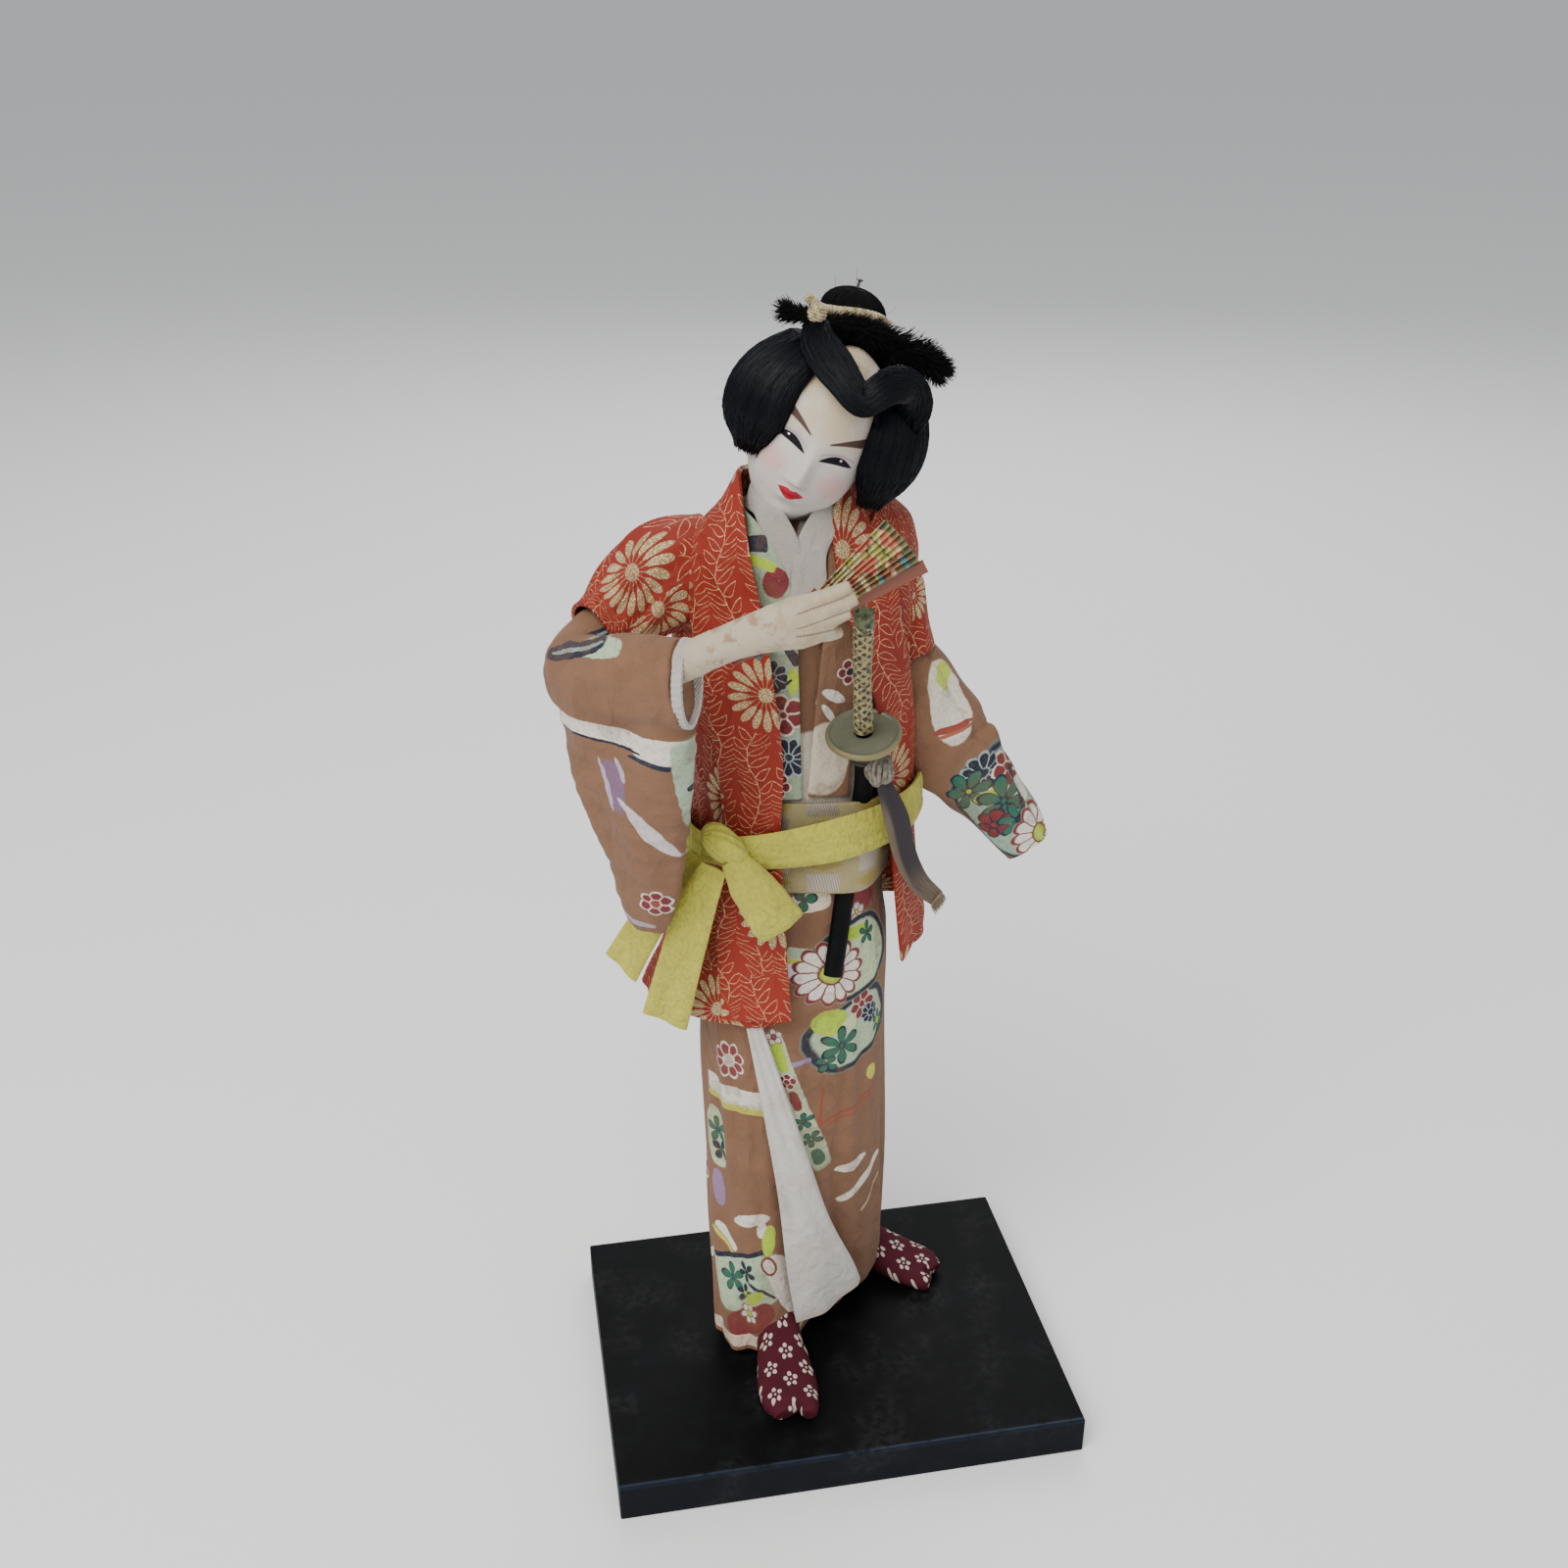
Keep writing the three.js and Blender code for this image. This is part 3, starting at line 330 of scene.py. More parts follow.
def capped(v, cap=0.05):
    """For a closed tube: where along it each row lies, and how far out, with rounded ends"""
    at = clamp((v - cap) / (1 - 2 * cap))
    past = np.maximum(np.maximum(cap - v, v - 1 + cap), 0) / cap
    return at, np.sqrt(np.maximum(1 - past**2, 0))


def finish_surface(piece, angle=60):
    only(piece)
    bpy.ops.object.shade_smooth_by_angle(angle=radians(angle))
    return piece


def ruffle(piece, amount, size, seed):
    """Pushes the surface in and out a little, as handled cloth lies"""
    points = points_of(piece)
    push = ripple(points, size, seed) * amount
    move_to(piece, points + normals_of(piece) * push[:, None])


def welded(name, pieces, voxel, smooth):
    """Joins closed pieces and remeshes them into one skin"""
    only(*pieces)
    bpy.ops.object.join()
    piece = pieces[0]
    piece.name = piece.data.name = name
    apply(piece, "REMESH", mode="VOXEL", voxel_size=voxel * MM, use_smooth_shade=True)
    apply(piece, "SMOOTH", factor=0.5, iterations=smooth)
    piece.data.uv_layers.new(name="Cloth")
    return finish_surface(piece)


def dress(piece, *materials):
    for material in materials:
        piece.data.materials.append(material)


def settle(piece, slot, node, *materials):
    """Dresses a finished piece, ties it to the doll and hides the plain solid it stands for"""
    dress(piece, *materials)
    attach(piece, "root")
    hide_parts(node)


def strands(name, paths, radii, sides=3, seed=1):
    """Many thin tapered threads as one mesh: paths holds (thread, step, xyz) in millimetres"""
    paths = np.asarray(paths, float)
    count, steps = paths.shape[:2]
    ahead = unit(np.gradient(paths, axis=1))
    rng = np.random.default_rng(seed)
    aside = unit(np.cross(ahead, unit(rng.normal(size=(count, 1, 3)))))
    other = np.cross(ahead, aside)
    turns = np.arange(sides) * 2 * pi / sides
    radii = np.broadcast_to(np.asarray(radii, float), (count, steps))[:, :, None, None]
    c, s = cos(turns)[None, None, :, None], sin(turns)[None, None, :, None]
    rings = paths[:, :, None, :] + radii * (c * aside[:, :, None, :] + s * other[:, :, None, :])
    vertices = rings.reshape(-1, 3) * MM
    base = (np.arange(count)[:, None] * steps + np.arange(steps - 1)[None, :]) * sides
    faces = []
    for k in range(sides):
        n = (k + 1) % sides
        faces.append(stack(base + k, base + n, base + n + sides, base + k + sides).reshape(-1, 4))
    quads = np.concatenate(faces).astype(int)
    first = np.arange(count) * steps * sides
    last = first + (steps - 1) * sides
    ends = stack(*(first + k for k in reversed(range(sides)))), stack(*(last + k for k in range(sides)))
    caps = np.concatenate(ends).astype(int)
    mesh = bpy.data.meshes.new(name)
    mesh.from_pydata(vertices.tolist(), [], quads.tolist() + caps.tolist())
    piece = bpy.data.objects.new(name, mesh)
    bpy.context.scene.collection.objects.link(piece)
    only(piece)
    tone = np.repeat(rng.uniform(0, 1, count), steps * sides)
    along = np.tile(np.repeat(np.linspace(0, 1, steps), sides), count)
    set_cloth(piece, stack(tone, along))
    in_edit(piece, lambda: bpy.ops.mesh.normals_make_consistent(inside=False))
    bpy.ops.object.shade_smooth()
    return piece


# The doll's own shapes, the same stations as its solids

SKIRT = track([
    (21, -5.5, 17, 40, 20.5, 36, 0.26), (45, -6, 17, 38, 21.5, 30, 0.2), (70, -7, 18, 35.5, 23.5, 22, 0.12),
    (110, -7.8, 19, 33.5, 25.5, 12, 0.05), (150, -8.3, 19.5, 33, 26, 5, 0), (186, -6.4, 20, 31.4, 25.2, 0, 0),
    (202, -5, 20, 27.8, 23.6, 0, 0), (236, -5, 20, 27.4, 23.4, 0, 0),
])
HEM = 20.5
CHEST = track([
    (236.5, -5, 20, 27.4, 23.4), (248, -5, 20, 27.6, 22.6), (262, -6, 19, 30, 21.5), (285, -7, 18, 33, 20.4),
    (305, -8, 18, 33, 20), (318, -8, 18, 32, 19), (326, -7, 17, 27, 17.5), (333, -6, 16, 18, 14),
    (338, -6, 15, 12, 11),
])
VEST = track([
    (165, -12, 20, 50, 31), (185, -7.5, 20, 45.5, 30), (210, -6.5, 20, 40.5, 28), (237, -6.8, 20, 36.8, 26.4),
    (260, -7.5, 20, 38.5, 26.5), (285, -8, 20, 40, 26.5), (305, -8, 20, 40, 25.5), (322, -6, 20, 38, 23),
    (334, -4.5, 20, 33.5, 19), (340, -5, 20, 28, 17),
])
VEST_EDGES = track([
    (165, -18, 29), (210, -18.5, 27), (240, -20, 25), (258, -19, 19), (275, -20, 17), (295, -24, 13),
    (310, -27, 10), (322, -28, 9), (334, -30, 12), (340, -30, 15),
])
BAND = strip(
    [
        (-27, -11.7, 168, 24), (-28, -7.4, 200, 24), (-27, -4.2, 237, 20), (-27.5, -5, 262, 22),
        (-31, -4.8, 290, 23), (-34.5, -3, 312, 24), (-36, 1.5, 330, 22), (-33, 13, 342, 20), (-23, 29, 342, 18),
        (-6, 35.5, 341, 18), (9, 30, 341, 19), (15, 18, 341.5, 21), (10, 3.5, 337, 24), (10.5, -5, 321, 21),
        (13, -7, 308, 19), (17.5, -6, 292, 17.5), (21.5, -3.4, 275, 17), (24, -0.5, 258, 17),
        (25.5, 1.8, 238, 15), (27.5, 1, 212, 15), (30, 0.6, 185, 13),
    ],
    outward(-6, 20),
    slant=lambda v: 7 * ease((v - 0.95) / 0.05),
)
KIMONO_COLLAR = strip(
    [
        (-15.2, -3.6, 247.5, 10), (-17.5, -3.6, 290, 12), (-19.5, -3.8, 316, 13), (-25, -1, 333, 10),
        (-28, 12, 338, 9), (-21, 26, 338, 9), (-6, 30.5, 338, 9), (9, 26, 338, 9), (11, 13, 338, 10),
        (4.5, -0.5, 333, 13), (3.5, -4.4, 312, 14), (1.5, -4.8, 285, 15), (-1.5, -4, 247.5, 14),
    ],
    outward(-6, 16),
)
UNDER_COLLAR = strip(
    [
        (-11, -3.8, 306, 8), (-14, -5, 322, 9), (-17, -3.8, 335, 9.5), (-22, 0.5, 344.5, 8), (-24.5, 12, 345, 8),
        (-18, 22, 344, 8), (-6, 26, 344, 8), (5, 22, 344, 8), (6.5, 12, 344, 9), (-1.5, -0.5, 341, 10),
        (-8, -5.2, 332, 10), (-9, -7, 320, 11), (-9.5, -7.2, 305, 11.5),
    ],
    outward(-8, 14, 1.3),
)
VEST_SLEEVES = {
    "right": limb(
        [(-38, 20, 317, 19.5, 15), (-50, 17, 317.5, 18.2, 14), (-60, 12.5, 313.5, 15.2, 12),
         (-69, 6.5, 308.5, 12, 10.6), (-74.5, 3, 306.5, 10.5, 10)],
        (0.25, 0.3, 1),
    ),
    "left": limb(
        [(14, 20, 321, 13, 13), (20.5, 20, 314, 12, 13.5), (25, 19.5, 303, 10, 12.5), (29, 18, 288, 9.5, 11)],
        (1, 0, 0.3),
    ),
}
RIGHT_ARM = limb(
    [(-64, 9, 308, 8.5, 8.5), (-74.5, 4, 302.5, 10.5, 9.5), (-79.5, -4, 297, 12, 11.4),
     (-73.5, -15, 298.5, 13.5, 11), (-62, -25, 301, 14.2, 9.5), (-51.5, -33.5, 302.5, 14.2, 8)],
    (0, 0, 1),
)
RIGHT_BAG = track([
    (206, -62, -8.5, 6, 2.2), (212, -62.2, -9.2, 9, 4), (235, -63, -12.5, 14.2, 6.3),
    (257, -65.4, -15.5, 19.4, 8.2), (283, -66.6, -17, 22.4, 10.4), (300, -66.5, -18, 22, 10.5),
])
BAG_LINE = unit(np.array([0.79, -0.61, 0]))
LEFT_ARM = limb(
    [(26, 18, 293, 7, 7.5), (33, 17, 278, 12.5, 9.5), (41, 14.5, 259, 15.5, 10), (49.7, 12, 246.5, 14, 9),
     (58, 9.5, 236.5, 12.4, 8), (66, 7.4, 226, 10.4, 6.5), (71.5, 5.5, 217, 8, 3.8)],
    (0.85, 0.05, 0.5),
)
CUFF_FACE = unit(np.array([0.83, -0.55, 0.02]))
CUFF_MIDDLE = np.array([-50.4, -34.4, 303])
BLADE = evenly([
    (3, -29.5, 319.5), (4.7, -21.8, 296.5), (7.4, -14.2, 273.4), (9.8, -6.4, 252), (8, -2.8, 232), (5, -3.6, 212),
    (2.4, -6.4, 196), (-0.2, -9.6, 182),
])
GUARD_AT = 2 / 7
CORD_BALL = np.array([13, -13.8, 260.5])
KNOT = np.array([-36.5, -9, 235])
FAN = {"pivot": np.array([-31, -42.5, 314]), "reach": 53, "low": radians(30), "high": radians(48.5)}
FAN_FRONT = (0, -1, 0)
HEAD = {"middle": (-5.8, 8, 361.2), "half_width": 17.3, "front": 18.3, "back": 20.5, "up": 32.5, "down": 24.5}
HEAD_TURN = (0, 28, -11.5)
HAIR_TURN = (0, 18, -11.5)
SIDE_LOCKS = {
    "right": track([
        (-4.8, -17.8, -7.4, 4.6, 3.2), (0, -19, -7, 9.8, 6.2), (8, -19.2, -6.4, 12.2, 7.2),
        (16.5, -18, -5, 11.6, 7.2), (24, -14, -3, 10.6, 6.4), (30, -9, 0, 8, 4.6),
    ]),
    "left": track([
        (-10.4, 22.2, -5.2, 4.4, 3.2), (-5, 23.5, -4.6, 9, 6), (4, 24.2, -3.8, 11.8, 7.4),
        (14, 23.4, -2.4, 11, 7), (22, 20, -0.5, 9.4, 5.6), (27.5, 15.5, 1.5, 7, 4),
    ]),
}
LOCK_REACH = {"right": (-4.8, 30), "left": (-10.4, 27.5)}


def skirt_at(z, angle):
    cx, cy, a, b, turn, drawn = SKIRT(z).T
    loose = ease((236 - z) / 180)
    folds = 1 + 0.022 * loose * cos(9 * angle + z * 0.02)
    inward = 1 - drawn * bell(angle + 0.15, 0.5) - 0.08 * loose * bell(np.abs(angle) - pi, 0.6)
    r = folds * inward
    x, y = r * a * power(sin(angle), 0.9), -r * b * power(cos(angle), 0.9)
    c, s = cos(np.radians(turn)), sin(np.radians(turn))
    return stack(cx + x * c - y * s, cy + x * s + y * c, z)


def skirt_surface(angle, v):
    """The skirt, with the soft upright folds and the drag lines that run down from the waist"""
    z = mix(HEM, 236, v)
    points = skirt_at(z, angle)
    lift = 8 * bell(angle - 1, 0.6) - 1.2 * bell(angle + 0.9, 0.5)
    points[:, 2] += (1 - v) ** 6 * lift
    loose = ease((205 - z) / 90)
    out = unit(stack(points[:, 0] + 6, points[:, 1] - 20, 0.0))
    drag = 0.55 * sin(angle * 13 + z * 0.035 + 1.2 * sin(z * 0.03)) * mix(0.35, 1, loose)
    drag += 0.35 * sin(angle * 21 - z * 0.05) * loose
    drag -= 1.1 * bell(angle - 0.2 - 0.004 * (z - 100), 0.07) * ease((170 - z) / 40)
    return points + out * drag[:, None]


def flap_surface(u, v):
    fold = evenly([(-30, -8.6, 164), (-21.5, -10.6, 108), (-17, -10.5, 66), (-12.5, -9, 29)])(v)
    free = evenly([(-24.5, -8.9, 164), (-8, -9.8, 106), (4.2, -6.5, 66), (14.8, 1, 36)])(v)
    free = free + unit(free - fold) * (0.9 * sin(8.5 * v + 0.6) * ease((v - 0.2) / 0.5))[:, None]
    across = free - fold
    out = unit(stack(across[:, 1], -across[:, 0], 0.0))
    bow = 1 + 1.6 * sin(pi * u) * v + 0.6 * sin(u * 8 + v * 6) * v + 0.25 * sin(u * 15 - v * 11)
    bow -= 1.4 * clamp((u - 0.93) / 0.07)
    points = mix(fold, free, u[:, None]) + out * bow[:, None]
    points[:, 2] -= 2.2 * bell(u - 0.45, 0.3) * ease((v - 0.9) / 0.1)
    return points


def chest_surface(angle, v):
    at, out = capped(v, 0.03)
    z = mix(236.5, 338, at)
    cx, cy, a, b = CHEST(z).T
    r = out * (1 + 0.006 * sin(angle * 7 + z * 0.06))
    return stack(cx + r * a * sin(angle), cy - r * b * cos(angle), z)


def vest_at(z, angle):
    cx, cy, a, b = VEST(z).T
    loose = ease((232 - z) / 60) + 0.3 * ease((z - 245) / 30) * ease((330 - z) / 20)
    fold = 1.1 * loose * cos(8 * angle + 0.015 * z)
    fold += 0.5 * loose * sin(17 * angle + 0.04 * z) + 0.5 * bell(z - 237, 9) * cos(26 * angle)
    return stack(cx + (a + fold) * sin(angle), cy - (b + fold) * cos(angle), z)


def vest_surface(u, v):
    z = mix(165, 340, v)
    cx, _, a, _ = VEST(z).T
    right, left = VEST_EDGES(z).T
    start = np.arcsin(clamp((right - cx) / a, -1, 1))
    end = np.arcsin(clamp((left - cx) / a, -1, 1)) - 2 * pi
    points = vest_at(z, mix(start, end, u))
    lift = 11 * ease((u - 0.35) / 0.2) + 12 * ease((u - 0.62) / 0.2) - 6 * bell(u - 1, 0.07)
    points[:, 2] += (1 - v) ** 5 * lift
    return points


def bag_surface(angle, v):
    at, out = capped(v, 0.04)
    z = mix(206, 300, at)
    cx, cy, long, thick = RIGHT_BAG(z).T
    across = np.cross([0, 0, 1], BAG_LINE)
    drape = 1 + 0.14 * sin(3 * angle + z * 0.05) + 0.08 * sin(5 * angle - z * 0.08)
    middle = stack(cx, cy, z)
    thick *= out * drape * power(cos(angle), 0.8)
    return middle + BAG_LINE * (out * long * sin(angle))[:, None] + across * thick[:, None]


def sash_surface(angle, v):
    height = mix(10.5, 16, clamp(np.abs(angle + 0.95) / 1.1))
    z = 237 - 2.5 + 6 * sin(angle) + (v - 0.5) * height
    crease = 0.5 * bell(v - 0.2, 0.12) - 0.7 * bell(v - 0.3 - 0.05 * sin(angle * 2), 0.06)
    crease += 0.25 * sin(v * 11 + angle * 4)
    r = 0.9 * sin(pi * v) ** 0.5 + 0.5 * crease - 0.4
    deep = np.where(cos(angle) > 0, 32.6, 29.0)
    return stack(-6 + (41 + r) * power(sin(angle), 0.94), 20 - (deep + r) * power(cos(angle), 0.82), z)


def obi_surface(angle, v):
    z = mix(213, 246, v)
    over = bell(angle - mix(radians(21), radians(31), v), 0.34)
    behind = ease((np.abs(angle) - 1.9) / 0.4)
    r = 1.4 + 4.2 * over - 1.4 * behind - 0.5 * (np.abs(2 * v - 1) ** 8) + 0.12 * sin(v * 19 + angle * 3)
    return stack(-5 + (28.6 + r) * power(sin(angle), 0.9), 20 - (24.6 + r) * power(cos(angle), 0.9), z)


FAN_LEVEL = unit(np.array([1, -0.07, 0]))
FAN_STEEP = unit(np.array([0, -0.07, 1]))
FAN_BACK = unit(np.cross(FAN_STEEP, FAN_LEVEL))


def fan_at(r, angle, out):
    """A point of the fan's plane, r from its pin, and out behind it"""
    level, steep = r * cos(angle), r * sin(angle)
    out = np.broadcast_to(out, level.shape)
    return FAN["pivot"] + level[:, None] * FAN_LEVEL + steep[:, None] * FAN_STEEP + out[:, None] * FAN_BACK


def fan_side(angle):
    return -sin(angle) * FAN_LEVEL + cos(angle) * FAN_STEEP


def head_at(dx, dy, dz):
    """The head in its own frame: x to its left, y to its back, z up"""
    z = -1 + dz * np.where(dz > 0, HEAD["up"], HEAD["down"])
    x = dx * HEAD["half_width"] * (1 - 0.16 * ease((-dz - 0.35) / 0.65) - 0.1 * ease((dz - 0.2) / 0.8))
    y = dy * np.where(dy < 0, HEAD["front"], HEAD["back"]) * (1 - 0.06 * ease((dz - 0.2) / 0.8))
    facing = ease(-dy * 1.6)
    side = np.abs(x)
    bridge = ease((6 - z) / 13) * ease((z + 10.3) / 1.6)
    nose = 3.6 * bridge * (0.72 * bell(x, 2.1) + 0.28 * bell(x, 3.6))
    nose += 0.5 * bell(side - 1.7, 1.0) * bell(z + 8.2, 1.3) - 0.35 * bell(side - 1.1, 0.55) * bell(z + 9.7, 0.6)
    lips = 0.95 * bell(x, 4.2) * bell(z + 13.2, 2.4) + 0.45 * bell(x, 2.8) * bell(z + 12.5, 0.7)
    lips += 0.5 * bell(x, 2.4) * bell(z + 14.7, 0.8) - 0.4 * bell(x, 3.8) * bell(z + 13.5 + 0.02 * x * x, 0.3)
    lips -= 0.35 * bell(x, 0.7) * bell(z + 11, 1.0) + 0.4 * bell(x, 3.2) * bell(z + 17, 1.0)
    chin = 1.3 * bell(x, 5.2) * bell(z + 21, 3.2)
    cheeks = 0.7 * bell(side - 10, 4.5) * bell(z + 8, 5)
    sockets = 1.25 * bell(side - 7.6, 4.2) * bell(z - 2.2, 2.6)
    lids = 0.55 * bell(side - 8.8, 3.6) * bell(z - 0.6 - 0.14 * (side - 8.6), 1.3)
    fold = 0.3 * bell(side - 8.8, 4.2) * bell(z - 2.7 - 0.2 * (side - 8.6), 0.45)
    brow = 0.6 * bell(z - 8, 5) * bell(x, 13)
    y -= facing * (nose + lips + chin + cheeks + brow + lids - sockets - fold)
    crown = 2.2 * bell(x - 9.5, 4) * bell(y + 4, 7) * ease((z - 10) / 6)
    x, z = x + 0.4 * crown, z + 0.9 * crown
    return stack(x, y, z)


def turned(points, turn=HAIR_TURN):
    """From the wig's own frame, or the head's, to the doll's; threads keep their (thread, step, xyz)"""
    matrix = np.array(Euler([radians(a) for a in turn], "XYZ").to_matrix())
    return points @ matrix.T + np.array(HEAD["middle"])


SOLE = 15.3
FOOT = track([
    (-9, 4, 7), (-5, 7, 15), (4, 8.2, 20), (14, 8.6, 15), (24, 10, 11.5), (34, 11, 9), (42, 10, 7.5),
    (47, 7.5, 5.5), (49.5, 3, 3),
])
FEET = {
    "right": {"ankle": (-18.6, 1.8), "heading": (-0.03, -1, 0), "reach": 1.0, "split": 1},
    "left": {"ankle": (17, 42), "heading": (0.79, -0.61, 0), "reach": 0.88, "split": -1},
}
FOREARM = limb(
    [(-55.5, -30, 307, 5.6, 5), (-51.5, -33.2, 309.2, 5.6, 5.4), (-39, -43, 318.4, 5.4, 5.1),
     (-28, -48.2, 323.6, 6.6, 5), (-20, -50.4, 326, 7.8, 4.6), (-12, -51, 328.2, 6.6, 3.6)],
    (0, 0, 1),
)
FINGERS = [
    limb([(-20, -50.4, 331, 2.4, 3.2), (-12, -51.4, 333.6, 2.3, 3.1), (-6.4, -51.6, 336, 1.7, 2.3)], (0, 0, 1)),
    limb([(-20, -50.8, 327.6, 2.5, 3.5), (-11, -51.8, 330.6, 2.4, 3.4), (-4.6, -52, 332.6, 1.8, 2.5)], (0, 0, 1)),
    limb([(-20, -50.6, 324.4, 2.5, 3.5), (-12, -51.5, 326.8, 2.4, 3.3), (-6.6, -51.7, 328.6, 1.8, 2.4)], (0, 0, 1)),
    limb([(-19, -49.8, 322, 2.4, 3.0), (-12, -50, 321.9, 2.2, 2.7), (-8.2, -49.7, 322.1, 1.5, 1.9)], (0, 0, 1)),
]
SASH_LOOP = limb(
    [(-34, -10.5, 231, 4.5, 2.6), (-29.5, -13.6, 223.5, 7, 3.4), (-24.5, -15.4, 215.5, 8.2, 3.6),
     (-20.5, -15.8, 209, 8.6, 3), (-18.8, -15.6, 206.4, 8.2, 2.2)],
    (0.75, 0, 0.66),
)
FRONT_TAIL = strip(
    [(-40.5, -10, 228, 9), (-47, -10, 212, 13.5), (-52.5, -8, 190, 15), (-57.5, -4.5, 167, 16.5)],
    towards(-0.45, -0.9),
)
BACK_TAIL = strip(
    [(-44.5, -4.5, 229, 8), (-54.5, 1, 214, 12), (-63, 6, 197, 13.5), (-70.5, 10, 181, 15)],
    towards(-0.7, -0.7),
)
RIBBON = strip(
    [(14, -14.6, 257, 5), (18.8, -15, 243, 9), (23, -13.4, 228, 8.5), (28.5, -10.6, 216, 7.5), (36, -7, 207, 6)],
    towards(0.3, -0.95),
)
NECK = limb([(-6, 14, 322, 7.6, 7.6), (-7.5, 13.5, 334, 7.4, 7.4), (-12, 11, 346, 7.8, 7.8)], (1, 0, 0))
FORELOCK = limb(
    [(-10, -1.5, 35, 2.2, 3.4), (-7.4, -8, 30.4, 2.4, 5.4), (-2.4, -13.4, 27, 2.6, 5.8),
     (2.6, -17, 23.8, 2.7, 5), (6.6, -19.2, 21.2, 2.7, 4.4), (9.4, -20, 20.8, 2.6, 4.2),
     (11.8, -19.8, 23.8, 2.7, 4.6), (14.6, -17.8, 26.6, 2.8, 5), (18.4, -14.4, 27.8, 3, 5.4),
     (22, -11, 26, 3.2, 5.6), (24.2, -8, 21, 3, 6), (24, -5.4, 13, 2.2, 5)],
    (0, -0.85, 0.5),
)
TUFT = evenly([
    (-18.5, -2, 35, 4.4), (-10.2, -2, 35.8, 3.4), (1.9, 0.5, 36.4, 5.6), (10, 1, 35.3, 6.8), (17.9, 1, 34.2, 7.2),
    (24.6, 0.2, 34, 5.4), (28, -0.2, 33, 4.2),
])
TOP_CORD = evenly([
    (-14.5, 1, 40.4), (-10, 1, 38.4), (-5, 3.4, 38.6), (1, 4.2, 39.8), (7, 5, 40.2), (11.5, 8, 38.6),
])
TOPKNOT = np.array([0.4, 12.5, 38.4])
BEAD = np.array([-10.6, -3, 37.2])
WIG_MIDDLE = np.array([1, 2.5, 5])


def knot_surface(angle, v):
    """The tight twist of the sash's knot, with pinched folds running round it"""
    t = sin(pi * clamp(v)) ** 0.6
    twist = angle + 0.9 * (v - 0.5)
    r = t * (1 + 0.1 * cos(3 * twist) + 0.05 * cos(11 * twist + 5 * v))
    return KNOT + stack(
        mix(-7.6, 7.6, v) + 2.2 * r * cos(twist), -5.2 * r * cos(twist), mix(4, -4, v) + 7 * r * sin(twist)
    )


def lock_at(side, angle, z, out=1.0):
    """A side lock's surface, in the wig's frame"""
    sign = -1 if side == "right" else 1
    cx, cy, half, deep = SIDE_LOCKS[side](z).T
    long, thick = np.array([sign * 0.69, 0.72, 0]), np.array([sign * 0.72, -0.69, 0])
    half, deep = out * half * sin(angle), out * deep * power(cos(angle), 0.85)
    return stack(cx, cy, z) + long * half[:, None] + thick * deep[:, None]


def cap_edge(angle):
    """How far down from the crown, as an angle, the wig's hair reaches at each side"""
    back = ease((np.abs(angle) - 1.25) / 0.7)
    front = ease((0.9 - np.abs(angle)) / 0.5)
    return mix(1.62, 2.42, back) - 0.62 * front - 0.36 * bell(angle + 0.55, 0.35) - 0.26 * bell(angle - 0.75, 0.4)


def cap_at(angle, down, lift=0.0):
    """The wig cap; angle 0 is the front, down runs from 0 at the crown to 1 at the hair's edge"""
    polar = down * cap_edge(angle)
    high = cos(polar)
    wide = 23 - 3 * np.maximum(high, 0) + lift
    deep = np.where(cos(angle) > 0, 21.0, 22.5) + lift
    tall = np.where(high > 0, 29.0, 22.0) + lift
    swell = 3.2 * bell(polar - 0.72, 0.32) * bell(angle - 1.5, 0.55)
    points = WIG_MIDDLE + ball(wide + swell, deep, tall + swell, polar, angle)
    gather = (1 - clamp(down)) ** 3
    return points + np.array([0, 8.5, 0.5]) * gather[:, None]


def bare_crown(points):
    """True on the shaved crown, which the hair leaves free"""
    return ((points[:, 0] - 7.0) / 8.8) ** 2 + ((points[:, 1] + 9.5) / 13.5) ** 2 < 1


# Pieces


def centre(points):
    return points.mean(axis=0)


def tube(shape, cap=0.05):
    """A limb's shape with both of its ends rounded off"""

    def place(angle, v):
        at, out = capped(v, cap)
        return shape(at, angle, out)

    return place


def round_cloth(radius, end, start=0):
    """A tube's UV map: millimetres round it, and from start to end along it"""
    return lambda angle, v: stack(angle * radius, mix(start, end, v))


def blank(name, sides, rows, place, cloth=round_cloth(10, 50)):
    """A closed body, ready to be welded or finished"""
    return ring(name, sides, rows, place, cloth, 0, None, closed=True)


def make_board(sizes, finish):
    bpy.ops.object.select_all(action="DESELECT")
    bpy.ops.mesh.primitive_cube_add(size=1, location=(0, 0, sizes.height / 2))
    board = bpy.context.object
    board.name = board.data.name = "board"
    board.scale = (sizes.width, sizes.depth, sizes.height)
    bpy.ops.object.transform_apply(location=True, rotation=True, scale=True)
    in_edit(board, lambda: bpy.ops.mesh.bevel(offset=sizes.edge, segments=4, profile=0.6))
    in_edit(board, lambda: bpy.ops.mesh.subdivide(number_cuts=5))
    finish_surface(board, 40)
    settle(board, "lacquer", "lacquered_board", finish)


